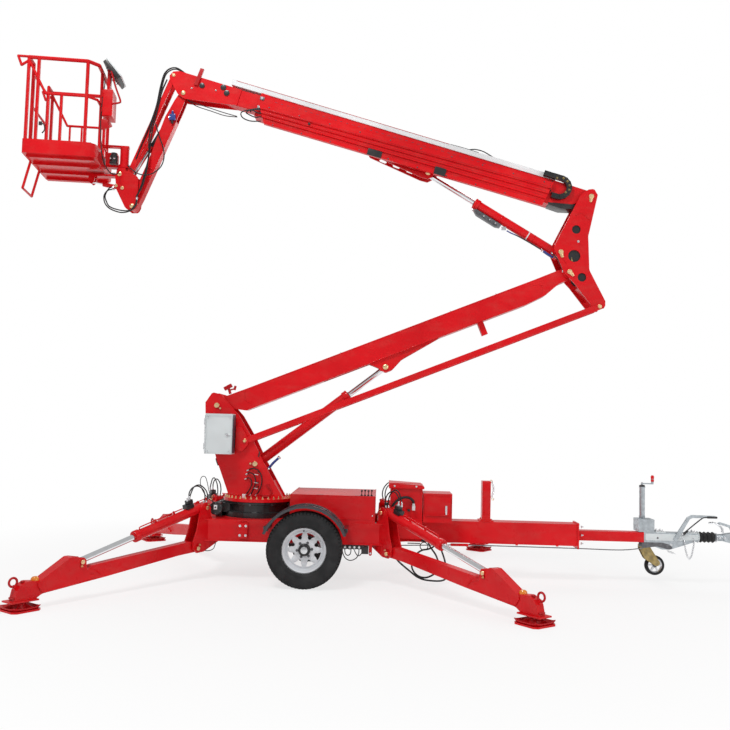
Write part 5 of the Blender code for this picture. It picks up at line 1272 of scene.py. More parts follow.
@dataclass
class RoadWheel:
    """Wheel with a ribbed trailer tyre and an eight-window spoked rim."""

    side: Side
    patterns: Patterns
    radius: float = 0.350
    axle_y: float = 0.752
    rim_radius: float = 0.2105

    @property
    def centre(self) -> tuple[float, float, float]:
        """Middle of the wheel."""
        return (0.0, self.side.value * self.axle_y, self.radius)

    @property
    def out(self) -> tuple[float, float, float]:
        """Direction away from the trailer."""
        return (0.0, float(self.side.value), 0.0)

    @property
    def body(self) -> str:
        """The body that turns."""
        return f"wheel_{self.side.word}"

    def tyre(self) -> None:
        """Carcass with grooves, and shoulder blocks round it."""
        r = self.radius
        wall = [(0.206, 0.080), (0.208, 0.086), (0.216, 0.0925), (0.228, 0.0975), (0.231, 0.0995),
                (0.236, 0.0995), (0.239, 0.0985), (0.255, 0.1015), (0.272, 0.1020), (0.290, 0.0995),
                (0.306, 0.0950), (0.3225, 0.0895), (0.327, 0.0905), (0.332, 0.0865), (0.3375, 0.0790)]
        tread = []
        for near, far in ((0.0755, 0.054), (0.046, 0.0205), (0.0135, -0.0135), (-0.0205, -0.046),
                          (-0.054, -0.0755)):
            drop = 0.0015 if abs(near) > 0.05 else 0.0
            tread += [(r - 0.0075, near + 0.0012), (r - 0.0003 - drop * (near > 0), near),
                      (r - 0.0003 - drop * (far < 0), far), (r - 0.0075, far - 0.0012)]
        back = [(radius, -at) for radius, at in reversed(wall)]
        profile = [*wall, *tread, *back, (0.202, -0.078), (0.202, 0.078)]
        Shape().lathe(profile, self.centre, self.out, 96, closed=True).done(
            f"tyre_dressed_{self.side.word}", TYRE, self.body, stands_for=[f"tyre_{self.side.word}"])
        blocks = Shape()
        y = self.side.value
        for edge in (-1, 1):
            cy = self.centre[1] + y * edge * 0.0795
            blocks.box((-0.0105, 0.0105), (cy - 0.0095, cy + 0.0075), (2 * r - 0.0115, 2 * r - 0.0022),
                       0.002)
            cy = self.centre[1] + y * edge * 0.0885
            blocks.box((-0.0095, 0.0095), (cy - 0.006, cy + 0.003), (2 * r - 0.026, 2 * r - 0.0100), 0.0015)
        for edge in (-1, 1):
            cy = self.centre[1] + edge * 0.0335
            blocks.box((-0.0015, 0.0015), (cy - 0.0135, cy + 0.0135), (2 * r - 0.006, 2 * r - 0.0004), 0.0)
        self.patterns.ringed(f"tread_blocks_{self.side.word}", blocks, 64, self.centre, self.out, TYRE,
                             self.body)

    def rim(self) -> None:
        """Rolled barrel, spoked disc with windows, hub, lug nuts and valve."""
        r = self.rim_radius
        barrel = [(r - 0.004, 0.0815), (r, 0.0835), (r + 0.0012, 0.0815), (r - 0.004, 0.0765),
                  (0.2015, 0.0720), (0.1985, 0.060), (0.196, 0.020), (0.182, -0.010), (0.182, -0.030),
                  (0.196, -0.045), (0.199, -0.075), (r - 0.002, -0.080), (r - 0.004, -0.0825),
                  (0.196, -0.078), (0.190, -0.048), (0.176, -0.032), (0.175, -0.006), (0.170, 0.012),
                  (0.173, 0.022), (0.180, 0.036), (0.188, 0.058), (0.196, 0.0700), (0.203, 0.0745)]
        Shape().lathe(barrel, self.centre, self.out, 96, closed=True).done(
            f"rim_barrel_{self.side.word}", WHEEL_PAINT, self.body, stands_for=[f"rim_{self.side.word}"])
        self.disc()
        cap, steel, dark = Shape(), Shape(), Shape()
        c, y = self.centre, self.side.value
        steel.lathe([(0, 0.0), (0.034, 0.0), (0.034, 0.064), (0.031, 0.072), (0.022, 0.076), (0, 0.0775)], c,
                    self.out, 32)
        steel.ring((c[0], c[1] + y * 0.070, c[2]), self.out, 0.026, 0.0012, 32, 8)
        dark.lathe([(0.030, 0.0), (0.057, 0.0), (0.057, 0.040), (0.052, 0.047), (0.042, 0.050),
                    (0.0345, 0.046)], c, self.out, 40)
        dark.rod((c[0] - 0.008, c[1] + y * 0.026, c[2] + 0.176),
                 (c[0] - 0.008, c[1] + y * 0.062, c[2] + 0.1745), 0.0055, 12)
        cap.lathe([(0, -0.060), (0.050, -0.060), (0.052, -0.020), (0.058, 0.0), (0.040, 0.004), (0, 0.004)],
                  c, self.out, 32)
        steel.done(f"hub_cap_{self.side.word}", BRIGHT_ZINC, self.body)
        dark.done(f"hub_ring_{self.side.word}", BLACK, self.body)
        cap.done(f"hub_back_{self.side.word}", BLACK, self.body)
        nuts = []
        for k in range(6):
            a = math.tau * (k + 0.1) / 6
            nuts.append(((c[0] + 0.0690 * math.cos(a), c[1] + y * 0.0265, c[2] + 0.0690 * math.sin(a)),
                         self.out))
        self.patterns.bolts(f"lug_nuts_{self.side.word}", nuts, 0.015, self.body, DARK_STEEL)

    def disc(self) -> None:
        """Pressed disc whose eight spokes stand proud of the windows between them."""
        c, y = Vector(self.centre), self.side.value
        windows, fine = 8, 12
        columns = windows * fine
        radii = [0.050, 0.060, 0.078, 0.090, 0.094, 0.101, 0.108, 0.116, 0.124, 0.132, 0.140, 0.147, 0.152,
                 0.160, 0.1665, 0.1720]
        form = bmesh.new()
        grid = []
        for radius in radii:
            row = []
            for k in range(columns):
                a = math.tau * k / columns
                phase = (k % fine) / fine - 0.5
                spoke = 0.5 + 0.5 * math.cos(math.tau * (phase + 0.5))
                height = 0.020
                if radius < 0.092:
                    height = 0.026
                elif radius < 0.156:
                    rise = math.sin(math.pi * (radius - 0.092) / 0.064)
                    height = 0.018 + 0.010 * rise * spoke - 0.004 * rise * (1 - spoke)
                elif radius > 0.164:
                    height = 0.015
                row.append(form.verts.new(c + Vector((radius * math.cos(a), y * height,
                                                      radius * math.sin(a)))))
            grid.append(row)
        for i, (low, high) in enumerate(zip(grid, grid[1:])):
            middle = (radii[i] + radii[i + 1]) / 2
            for k in range(columns):
                phase = ((k + 0.5) % fine) / fine - 0.5
                reach = 0.0 if not 0.104 < middle < 0.150 else 0.095 + 0.205 * (middle - 0.104) / 0.046
                if abs(phase) < reach:
                    continue
                n = (k + 1) % columns
                form.faces.new((low[k], low[n], high[n], high[k]))
        bmesh.ops.delete(form, geom=[v for v in form.verts if not v.link_faces], context="VERTS")
        bmesh.ops.recalc_face_normals(form, faces=form.faces)
        bmesh.ops.smooth_vert(form,
                              verts=[v for v in form.verts if v.is_boundary
                                     and 0.098 < (v.co - c).length < 0.156], factor=0.5, use_axis_x=True,
                              use_axis_y=True, use_axis_z=True)
        if sum(f.normal.y * y for f in form.faces) < 0:
            bmesh.ops.reverse_faces(form, faces=form.faces)
        bmesh.ops.transform(form, matrix=SHIFT, verts=form.verts)
        mesh = bpy.data.meshes.new("disc")
        form.to_mesh(mesh)
        form.free()
        carrier = bpy.data.objects.new("disc", mesh)
        bpy.context.scene.collection.objects.link(carrier)
        wall = carrier.modifiers.new("wall", "SOLIDIFY")
        wall.thickness, wall.offset = 0.0045, -1.0
        soft = carrier.modifiers.new("soft", "SUBSURF")
        soft.levels = soft.render_levels = 1
        bpy.context.view_layer.update()
        made = bpy.data.meshes.new_from_object(carrier.evaluated_get(bpy.context.evaluated_depsgraph_get()))
        bpy.data.objects.remove(carrier, do_unlink=True)
        bpy.data.meshes.remove(mesh)
        register(f"spoked_disc_{self.side.word}", made, WHEEL_PAINT, self.body, 60.0)

    def build(self) -> None:
        """Builds the whole wheel."""
        self.tyre()
        self.rim()


@dataclass
class Fender:
    """Rolled edges and stay bolts of a wheel fender."""

    side: Side
    patterns: Patterns
    radius: float = 0.408
    width: float = 0.225
    arc: float = math.radians(138)

    def build(self) -> None:
        """Beads along both edges, a pressed rib and the bolts of the stays."""
        shape = Shape()
        start = math.pi / 2 - self.arc / 2
        for offset, r in ((-self.width / 2 + 0.004, 0.0055), (self.width / 2 - 0.004, 0.0055), (0.0, 0.004)):
            y = self.side.value * 0.752 + offset
            inset = 0.002 if offset else -0.001
            line = [((self.radius - inset) * math.cos(start + self.arc * k / 40), y,
                     0.350 + (self.radius - inset) * math.sin(start + self.arc * k / 40))
                    for k in range(41)]
            shape.tube(line, r, 8)
        shape.done(f"fender_beads_{self.side.word}", FENDER_BLACK, "chassis")
        spots = []
        for end in (-1, 1):
            for y in (0.668, 0.700):
                a = math.acos(0.371 / self.radius) if end > 0 else math.pi - math.acos(0.371 / self.radius)
                spots.append(((self.radius * math.cos(a), self.side.value * y,
                               0.350 + self.radius * math.sin(a)), (math.cos(a), 0, math.sin(a))))
        self.patterns.bolts(f"fender_bolts_{self.side.word}", spots, 0.013, "chassis", BRIGHT_ZINC)


@dataclass
class Outrigger:
    """One of the four legs with its cylinder, lamp, ring, foot, valve block and hoses."""

    name: str
    hinge_x: float
    side: int
    bearing: float
    patterns: Patterns
    hinge: tuple[float, float] = (0.0, 0.303)
    rod_pin: tuple[float, float] = (1.250, 0.318)
    barrel_pin: tuple[float, float] = (-0.100, 0.676)
    reach: float = 1.770

    @property
    def place(self) -> Matrix:
        """Matrix from the leg's own plane (outward, sideways, up) to the trailer."""
        return (Matrix.Translation((self.hinge_x, self.side * 0.520, 0))
                @ Matrix.Rotation(math.radians(self.bearing), 4, "Z"))

    def along(self, s: float, t: float, v: float = 0.0) -> Vector:
        """A place beside the leg's cylinder, in the leg's own plane.

        Args:
            s: distance along the cylinder from its base pin.
            t: height above its axis.
            v: distance sideways.

        Returns:
            The place.
        """
        a, b = Vector(self.barrel_pin), Vector(self.rod_pin)
        d = (b - a).normalized()
        p = a + d * s + Vector((-d.y, d.x)) * t
        return Vector((p.x, v, p.y))

    def foot(self) -> None:
        """Swivel foot: dished plate with turned-up corners, ribs, ball cup and slotted nut."""
        reach, half = self.reach, 0.1210
        plate, form = Shape(), bmesh.new()
        count = 10
        grid = []
        for i in range(count + 1):
            row = []
            for j in range(count + 1):
                u, v = 2 * i / count - 1, 2 * j / count - 1
                edge = max(abs(u), abs(v))
                corner = abs(u) ** 4 * abs(v) ** 4
                lift = 0.0035 + 0.022 * max(0.0, (edge - 0.78) / 0.22) ** 1.6 + 0.012 * corner
                shrink = 1.0 - 0.075 * corner
                row.append(form.verts.new((reach + u * half * shrink, v * half * shrink, lift)))
            grid.append(row)
        for i in range(count):
            for j in range(count):
                form.faces.new((grid[i][j], grid[i + 1][j], grid[i + 1][j + 1], grid[i][j + 1]))
        made = bmesh.ops.extrude_face_region(form, geom=list(form.faces))
        for v in (g for g in made["geom"] if isinstance(g, bmesh.types.BMVert)):
            v.co.z += 0.009
        plate.take(form)
        plate.slab([(reach - 0.085, -0.085), (reach + 0.085, -0.085), (reach + 0.085, 0.085),
                    (reach - 0.085, 0.085)], 0.0002, 0.012, 0.004)
        for k in range(4):
            turn = Matrix.Translation((reach, 0, 0)) @ Matrix.Rotation(math.pi / 2 * k + math.pi / 4, 4, "Z")
            plate.prism([(0.020, 0.010), (0.118, 0.012), (0.118, 0.016), (0.040, 0.056), (0.020, 0.056)],
                        -0.0035, 0.0035, 0.001, turn)
        plate.lathe([(0, 0.008), (0.055, 0.008), (0.050, 0.030), (0.042, 0.052), (0.030, 0.058), (0, 0.058)],
                    (reach, 0, 0), (0, 0, 1), 32)
        plate.done(f"foot_{self.name}", DEEP_RED, self.body, self.place)
        neck = Shape()
        neck.ball((reach, 0, 0.055), 0.027, (1, 1, 0.8))
        neck.rod((reach, 0, 0.04), (reach, 0, 0.070), 0.020)
        neck.done(f"foot_ball_{self.name}", DARK_STEEL, self.body, self.place)
        nut = Shape()
        centre = self.place @ Vector((reach, 0, 0.06))
        tooth = self.place @ Matrix.Translation((reach, 0, 0))
        nut.box((0.036, 0.048), (-0.012, 0.012), (0.034, 0.062), 0.003, tooth)
        self.patterns.ringed(f"foot_nut_{self.name}", nut, 7, centre, (0, 0, 1), DEEP_RED, self.body)

    @property
    def body(self) -> str:
        """The leg's body."""
        return f"leg_{self.name}"

    def lamp(self) -> None:
        """Amber marker lamp on a black base."""
        base = Vector((self.reach - 0.125, 0, 0.200))
        axis = Vector((0.15, 0, 1)).normalized()
        lens = Shape().lathe([(0, 0.008), (0.0315, 0.008), (0.0335, 0.014), (0.0330, 0.024), (0.0285, 0.036),
                              (0.0180, 0.0445), (0.0, 0.047)], base, axis, 32)
        lens.done(f"lamp_lens_{self.name}", AMBER, self.body, self.place)
        socket = Shape().lathe([(0, -0.004), (0.036, -0.004), (0.037, 0.006), (0.0345, 0.010), (0, 0.010)],
                               base, axis, 32)
        socket.done(f"lamp_base_{self.name}", BLACK, self.body, self.place)

    def trims(self) -> None:
        """Ring eye, pin heads, weld beads and the lashing bolt of the leg."""
        ring, pins, plates, welds = Shape(), Shape(), Shape(), Shape()
        reach = self.reach
        ring.ring((reach + 0.065, 0, 0.222), (0, 1, 0), 0.034, 0.0092, 40, 12)
        ring.rod((reach + 0.045, 0, 0.178), (reach + 0.058, 0, 0.196), 0.010)
        ring.lathe([(0, 0), (0.016, 0), (0.018, 0.006), (0.012, 0.012), (0, 0.014)],
                   (reach - 0.015, 0, 0.214), (0.1, 0, 1), 20)
        ring.rod((reach + 0.074, -0.030, 0.100), (reach + 0.074, 0.030, 0.100), 0.007)
        bolts = []
        for side in (-1, 1):
            bolts.append(pin_head(pins, plates, self.rod_pin, side * 0.0505, side, 0.019, -78, 0.034))
            bolts.append(pin_head(pins, plates, self.barrel_pin, side * 0.0755, side, 0.019, 108, 0.034))
            bolts.append(pin_head(pins, plates, self.hinge, side * 0.0755, side, 0.019, 118, 0.036))
            y = side * 0.0505
            welds.bent([(1.055, y, 0.192), (1.12, y, 0.243), (1.19, y, 0.262)], 0.0035, 6, 0.03)
            welds.bent([(1.30, y, 0.152), (1.44, y, 0.136), (1.60, y, 0.121)], 0.0035, 6, 0.03)
            welds.tube([(reach - 0.110, side * 0.041, 0.0835), (reach + 0.065, side * 0.041, 0.0835)], 0.004,
                       6)
        own = [b for k, b in enumerate(bolts) if k % 3 == 0]
        held = [b for k, b in enumerate(bolts) if k % 3]
        pins.done(f"leg_pins_{self.name}", YELLOW_ZINC, self.body, self.place)
        plates.done(f"leg_keepers_{self.name}", DEEP_RED, self.body, self.place)
        ring.done(f"lifting_ring_{self.name}", DEEP_RED, self.body, self.place)
        welds.done(f"leg_welds_{self.name}", RED, self.body, self.place)
        self.patterns.bolts(f"leg_keeper_bolts_{self.name}", own, 0.010, self.body, place=self.place)
        self.patterns.bolts(f"bracket_bolts_{self.name}", held, 0.010, "chassis", place=self.place)

    def cylinder(self) -> None:
        """Gland, wiper, return pipe, valve block and fittings of the cylinder."""
        body = f"leg_barrel_{self.name}"
        pipe, block, steel, gland = Shape(), Shape(), Shape(), Shape()
        pipe.tube(smooth_path([self.along(0.235, 0.060), self.along(0.250, 0.0635), self.along(0.50, 0.0635),
                               self.along(0.725, 0.0635), self.along(0.742, 0.058),
                               self.along(0.748, 0.044)], 0.02), 0.0055, 10)
        for s in (0.340, 0.560):
            pipe.box((-0.007, 0.007), (-0.009, 0.009), (-0.024, 0.008), 0.001,
                     Matrix.Translation(self.along(s, 0.0655)) @ Matrix.Rotation(0.268, 4, "Y"))
        gland.lathe([(0.028, 0.0), (0.0505, 0.001), (0.0525, 0.006), (0.0525, 0.050), (0.049, 0.056),
                     (0.0285, 0.057)], self.along(0.764, 0), self.along(1, 0) - self.along(0, 0), 36)
        gland.lathe([(0.0285, 0.0), (0.034, 0.001), (0.034, 0.008), (0.0285, 0.010)], self.along(0.820, 0),
                    self.along(1, 0) - self.along(0, 0), 28)
        turn = Matrix.Rotation(math.atan2(0.676 - 0.318, 1.35), 4, "Y")
        block.box((-0.042, 0.042), (-0.034, 0.034), (0.042, 0.084), 0.004,
                  Matrix.Translation(self.along(0.160, 0)) @ turn)
        block.box((-0.052, 0.010), (-0.024, 0.024), (0.084, 0.120), 0.004,
                  Matrix.Translation(self.along(0.165, 0)) @ turn)
        up = self.along(0, 1) - self.along(0, 0)
        for s, v, high in ((0.135, 0.0, 0.028), (0.170, 0.012, 0.020)):
            steel.hexagon(self.along(s, 0.119, v), up, 0.020, 0.012)
            steel.rod(self.along(s, 0.128, v), self.along(s, 0.131 + high, v), 0.0065, 14)
        pipe.done(f"cylinder_pipe_{self.name}", RED, body, self.place)
        gland.done(f"gland_{self.name}", RED, body, self.place)
        block.done(f"valve_block_{self.name}", BLACK, body, self.place)
        steel.done(f"valve_fittings_{self.name}", BRIGHT_ZINC, body, self.place)

    def hoses(self) -> list[Hose]:
        """Two hoses that arch from the valve block to the frame.

        Returns:
            The hoses, not yet made.
        """
        made = []
        for k, v in enumerate((0.0, 0.026)):
            made.append(Hose(f"leg_hose_{self.name}_{k}", f"leg_barrel_{self.name}",
                             [self.along(-0.036, 0.036, v * 1.2), self.along(-0.062, 0.090, v * 1.4),
                              self.along(-0.052, 0.158, v * 1.4),
                              self.along(0.004, 0.212 + 0.012 * k, v * 1.2),
                              self.along(0.072, 0.218 + 0.012 * k, v), self.along(0.122, 0.184, v),
                              self.along(0.134 + 0.02 * k, 0.140, v)], 0.012, self.place, far="fitting"))
        return made

    def build(self) -> None:
        """Builds the whole outrigger."""
        self.foot()
        self.lamp()
        self.trims()
        self.cylinder()
        for hose in self.hoses():
            hose.make()


@dataclass
class Dress:
    """Base of the sub-assemblies that only add to the solids."""

    patterns: Patterns

    def pins(self, name: str, rows: Sequence[tuple], body: str, place: Matrix = HERE,
             keepers: Finish = DEEP_RED) -> None:
        """Heads, keeper plates and keeper bolts of the pins of one body, on both sides.

        Args:
            name: start of the pieces' names.
            rows: (centre, outer face, radius, keeper direction in degrees or None) of each pin.
            body: the body that they ride on.
            place: matrix from the rows' plane to the trailer.
            keepers: finish of the keeper plates.
        """
        heads, plates, bolts = Shape(), Shape(), []
        for centre, face, radius, angle in rows:
            for side in (-1, 1):
                if angle is None:
                    heads.lathe([(0, 0), (radius * 1.25, 0), (radius * 1.25, 0.004), (radius, 0.006),
                                 (radius, 0.0115), (radius * 0.8, 0.0145), (0, 0.015)],
                                (centre[0], side * face, centre[1]), (0, side, 0), 24)
                else:
                    bolts.append(pin_head(heads, plates, centre, side * face, side, radius, angle,
                                          radius + 0.021))
        heads.done(f"{name}_pins", YELLOW_ZINC, body, place)
        if bolts:
            plates.done(f"{name}_keepers", keepers, body, place)
            self.patterns.bolts(f"{name}_keeper_bolts", bolts, 0.011, body, place=place)

    def welds(self, name: str, beads: Sequence[Sequence[Place]], finish: Finish, body: str,
              radius: float = 0.004) -> None:
        """Weld beads along lines, with their ripple.

        Args:
            name: the piece's name.
            beads: the lines, each as its points.
            finish: the beads' finish.
            body: the body that they ride on.
            radius: radius of a bead.
        """
        shape = Shape()
        for bead in beads:
            line = smooth_path(bead, 0.006)
            shape.tube([p + Vector((0, 0, 0.0007 * (k % 2))) for k, p in enumerate(line)], radius, 6)
        shape.done(name, finish, body, sharp=80.0)


class ChassisDress(Dress):
    """Frame rails, hinge brackets, brake rod and the hoses below the deck."""

    def build(self) -> None:
        """Builds the dress of the frame."""
        frame, steel, dark, red = Shape(), Shape(), Shape(), Shape()
        for side in (-1, 1):
            y = side * 0.4853
            frame.tube([(-1.02, y, 0.5655), (0.72, y, 0.5655)], 0.0035, 6)
            frame.tube([(-1.02, y, 0.3685), (0.72, y, 0.3685)], 0.0035, 6)
            for x in (-0.62, 0.18):
                frame.box((x - 0.045, x + 0.045), (y - 0.004, y + 0.004), (0.395, 0.545), 0.003)
        frame.done("rail_trim", RED, "chassis")
        spots = []
        for side in (-1, 1):
            y = side * 0.4893
            spots += [((x + dx, y, z), (0, side, 0)) for x in (-0.62, 0.18) for dx in (-0.028, 0.028)
                      for z in (0.425, 0.515)]
        self.patterns.bolts("rail_plate_bolts", spots, 0.014, "chassis", BRIGHT_ZINC)
        dark.box((0.335, 0.522), (-0.440, -0.395), (0.318, 0.358), 0.004)
        dark.box((0.516, 0.584), (-0.442, -0.380), (0.274, 0.344), 0.005)
        for x in (0.360, 0.405, 0.450, 0.495):
            steel.hexagon((x, -0.440, 0.338), (0, -1, 0), 0.022, 0.012)
            steel.rod((x, -0.446, 0.338), (x, -0.458, 0.338), 0.007, 12)
            steel.hexagon((x, -0.418, 0.318), (0, 0, -1), 0.020, 0.010)
        red.prism(rounded([(0.586, 0.368, 0), (0.620, 0.368, 0), (0.618, 0.262, 0.016),
                           (0.588, 0.262, 0.016)], 5), -0.452, -0.440, 0.002)
        steel.rod((0.603, -0.462, 0.286), (0.603, -0.436, 0.286), 0.009, 16)
        dark.box((0.352, 0.502), (-0.430, -0.405), (0.356, 0.372), 0.002)
        dark.done("valve_bank", BLACK, "chassis")
        red.done("lashing_lug", RED, "chassis")
        steel.done("valve_bank_fittings", BRIGHT_ZINC, "chassis")
        rod, links = Shape(), Shape()
        rod.bent([(0.30, -0.118, 0.300), (1.38, -0.128, 0.340), (1.402, -0.128, 0.343)], 0.005, 8, 0.05)
        rod.bent([(1.560, -0.128, 0.345), (2.60, -0.100, 0.338), (3.072, -0.080, 0.332),
                  (3.300, -0.062, 0.352)], 0.005, 8, 0.05)
        rod.done("brake_rod", DARK_STEEL, "chassis")
        links.prism([(1.396, 0.331), (1.568, 0.333), (1.568, 0.357), (1.396, 0.355)], -0.140, -0.132, 0.002)
        links.prism([(1.396, 0.331), (1.568, 0.333), (1.568, 0.357), (1.396, 0.355)], -0.124, -0.116, 0.002)
        for x in (1.402, 1.560):
            links.rod((x, -0.146, 0.343), (x, -0.110, 0.344), 0.010, 16)
        links.done("brake_turnbuckle", RED, "chassis")
        for k, line in enumerate((((0.360, 0.341), (0.358, 0.300), (0.366, 0.270), (0.388, 0.256),
                                   (0.410, 0.270), (0.417, 0.300), (0.416, 0.345)),
                                  ((0.340, 0.341), (0.336, 0.290), (0.362, 0.232), (0.409, 0.208),
                                   (0.462, 0.226), (0.490, 0.270), (0.494, 0.341)),
                                  ((0.450, 0.341), (0.455, 0.290), (0.490, 0.252), (0.525, 0.288),
                                   (0.532, 0.345)))):
            Hose(f"bank_hose_{k}", "chassis", [(x, -0.426 + 0.008 * k, z) for x, z in line], 0.009).make()
        Hose("drawbar_hose_outer", "chassis",
             [(0.800, -0.428, 0.335), (0.835, -0.428, 0.270), (0.878, -0.420, 0.210), (0.987, -0.410, 0.120),
              (1.068, -0.400, 0.062), (1.157, -0.400, 0.038), (1.295, -0.375, 0.034), (1.345, -0.310, 0.070),
              (1.335, -0.210, 0.190), (1.300, -0.130, 0.300), (1.290, -0.104, 0.370)], 0.017).make()
        Hose("drawbar_hose_coil", "chassis",
             [(1.262, -0.104, 0.385), (1.225, -0.180, 0.330), (1.165, -0.280, 0.316), (1.100, -0.345, 0.312),
              (1.040, -0.385, 0.272), (1.003, -0.400, 0.180), (1.026, -0.400, 0.113), (1.082, -0.400, 0.070),
              (1.155, -0.398, 0.066), (1.232, -0.390, 0.110), (1.262, -0.365, 0.180), (1.240, -0.300, 0.260),
              (1.190, -0.190, 0.325), (1.160, -0.104, 0.385)], 0.017).make()
        Hose("frame_cable_rear", "chassis",
             [(-1.045, -0.455, 0.392), (-1.055, -0.466, 0.345), (-1.035, -0.470, 0.300),
              (-1.000, -0.468, 0.276), (-0.950, -0.466, 0.268), (-0.900, -0.462, 0.290),
              (-0.880, -0.458, 0.350)], 0.008, ferrules=False).make()


class SlewDress(Dress):
    """Slewing ring's bolts and worm gear."""

    def build(self) -> None:
        """Builds the ring's trim."""
        spots = []
        for k in range(36):
            a = math.tau * (k + 0.5) / 36
            spots.append(((SLEW_X + 0.325 * math.cos(a), 0.325 * math.sin(a), 0.7543), (0, 0, 1)))
        self.patterns.bolts("ring_bolts", spots, 0.017, "turret", YELLOW_ZINC)
        lower = []
        for k in range(30):
            a = math.tau * k / 30
            lower.append(((SLEW_X + 0.3405 * math.cos(a), 0.3405 * math.sin(a), 0.700),
                          (math.cos(a), math.sin(a), 0)))
        own = [s for s in lower if s[0][0] > -0.80]
        self.patterns.bolts("ring_side_plugs", own[::3], 0.012, "chassis", DARK_STEEL)
        seal, worm, hub, dark = Shape(), Shape(), Shape(), Shape()
        seal.ring((SLEW_X, 0, 0.7215), (0, 0, 1), 0.341, 0.0032, 96, 8)
        seal.done("ring_seal", HOSE, "chassis")
        worm.lathe([(0.052, 0.0), (0.0625, 0.001), (0.0635, 0.006), (0.0635, 0.017), (0.060, 0.020),
                    (0, 0.020)], (WORM_X, -0.333, WORM_Z), (0, -1, 0), 36)
        worm.lathe([(0, 0.0), (0.0635, 0.0), (0.0635, 0.016), (0.058, 0.020), (0, 0.020)],
                   (WORM_X, 0.243, WORM_Z), (0, 1, 0), 36)
        for y in (-0.16, 0.02, 0.16):
            worm.ring((WORM_X, y, WORM_Z), (0, 1, 0), 0.0525, 0.0035, 36, 8)
        worm.done("worm_ends", BLACK, "chassis")
        hub.box((-0.929, -0.897), (-0.372, -0.350), (0.650, 0.694), 0.004)
        hub.done("worm_socket", TRAY_WHITE, "chassis")
        # Black hexagon on the white socket: painted shade of its hex hole.
        dark.rod((WORM_X, -0.3735, 0.672), (WORM_X, -0.360, 0.672), 0.0095, 6)
        dark.done("worm_socket_hole", BLACK, "chassis")
        ends = []
        for k in range(6):
            a = math.tau * (k + 0.5) / 6
            ends.append(((WORM_X + 0.052 * math.cos(a), -0.353, WORM_Z + 0.052 * math.sin(a)), (0, -1, 0)))
        self.patterns.bolts("worm_bolts", ends, 0.0085, "chassis", DARK_STEEL)


class BoxesDress(Dress):
    """Trim of the hydraulic cabinet, the battery box and the side box."""

    def build(self) -> None:
        """Builds the trim of the three boxes."""
        trim, dark, steel = Shape(), Shape(), Shape()
        y = -0.4503
        trim.box((-0.172, 0.632), (y - 0.0035, y), (0.600, 0.604), 0.0)
        for x in (-0.172, 0.628):
            trim.box((x, x + 0.004), (y - 0.0035, y), (0.600, 0.800), 0.0)
        for x in (0.105, 0.480):
            trim.box((x - 0.046, x + 0.046), (-0.424, -0.388), (0.8195, 0.8245), 0.002)
            dark.box((x - 0.036, x + 0.036), (-0.416, -0.396), (0.8235, 0.8255), 0.001)
        trim.tube([(-0.178, -0.448, 0.8225), (0.638, -0.448, 0.8225)], 0.004, 8)
        trim.tube([(-0.178, -0.448, 0.8225), (-0.178, 0.418, 0.8225)], 0.004, 8)
        trim.tube([(0.638, -0.448, 0.8225), (0.638, 0.418, 0.8225)], 0.004, 8)
        trim.done("cabinet_trim", RED, "chassis")
        for k, x in enumerate((0.505, 0.537, 0.569, 0.601)):
            dark.rod((x, -0.400, 0.824), (x, -0.401, 0.836), 0.0095, 14)
            dark.rod((x, -0.400, 0.834), (x + 0.002, -0.408, 0.866 + 0.004 * (k % 2)), 0.0042, 10)
            dark.ball((x + 0.002, -0.409, 0.872 + 0.004 * (k % 2)), 0.0105)
        dark.box((0.488, 0.618), (-0.418, -0.382), (0.8195, 0.8265), 0.003)
        dark.done("cabinet_levers", BLACK, "chassis")
        for x in (-0.140, 0.240, 0.615):
            steel.hexagon((x, -0.449, 0.640), (0, -1, 0), 0.012, 0.007)
        trim, edge = Shape(), Shape()
        yb = -0.3003
        for x in (0.800, 1.078):
            trim.box((x, x + 0.006), (yb - 0.003, yb), (0.600, 0.885), 0.001)
        trim.box((0.800, 1.084), (yb - 0.003, yb), (0.612, 0.618), 0.001)
        trim.done("battery_box_trim", RED, "chassis")
        panel = Shape().box((1.120, 1.374), (-0.3165, -0.310), (0.640, 0.830), 0.006)
        panel.done("side_box_panel", RED, "side_box_door")
        edge.box((1.1375, 1.3565), (-0.3185, -0.314), (0.655, 0.815), 0.005)
        edge.done("side_box_inset", RED, "side_box_door")
        lid = Shape()
        lid.tube([(0.785, -0.3165, 0.8995), (1.098, -0.3165, 0.8995)], 0.0032, 8)
        lid.tube([(0.790, -0.3135, 0.9465), (1.093, -0.3135, 0.9465)], 0.0030, 8)
        lid.done("battery_lid_edge", RED, "battery_lid")
        steel.box((1.3195, 1.3385), (-0.3265, -0.317), (0.654, 0.743), 0.004)
        steel.done("side_box_fittings", BRIGHT_ZINC, "chassis")
        lid_spots = [((0.823, -0.3125, 0.920), (0, -1, 0)), ((1.036, -0.3125, 0.920), (0, -1, 0))]
        self.patterns.bolts("lid_screws", lid_spots, 0.011, "battery_lid", BRIGHT_ZINC)
        plug, pale = Shape(), Shape()
        pale.box((0.996, 1.027), (-0.352, -0.304), (0.692, 0.738), 0.004)
        pale.rod((1.0115, -0.330, 0.738), (1.0115, -0.330, 0.757), 0.0125, 16)
        pale.done("charger_socket", TRAY_WHITE, "chassis")
        plug.box((0.952, 0.978), (-0.345, -0.304), (0.680, 0.702), 0.003)
        plug.box((0.728, 0.772), (-0.230, -0.170), (0.700, 0.748), 0.004)
        plug.rod((0.797, -0.305, 0.690), (0.797, -0.340, 0.690), 0.020, 20)
        plug.done("battery_box_glands", BLACK, "chassis")
        Hose("battery_conduit", "chassis",
             [(0.797, -0.322, 0.690), (0.808, -0.334, 0.730), (0.848, -0.340, 0.780), (0.905, -0.340, 0.812),
              (0.962, -0.338, 0.812), (1.002, -0.330, 0.785), (1.0115, -0.324, 0.752)], 0.026,
             ferrules=False, stiffness="stiff").make()


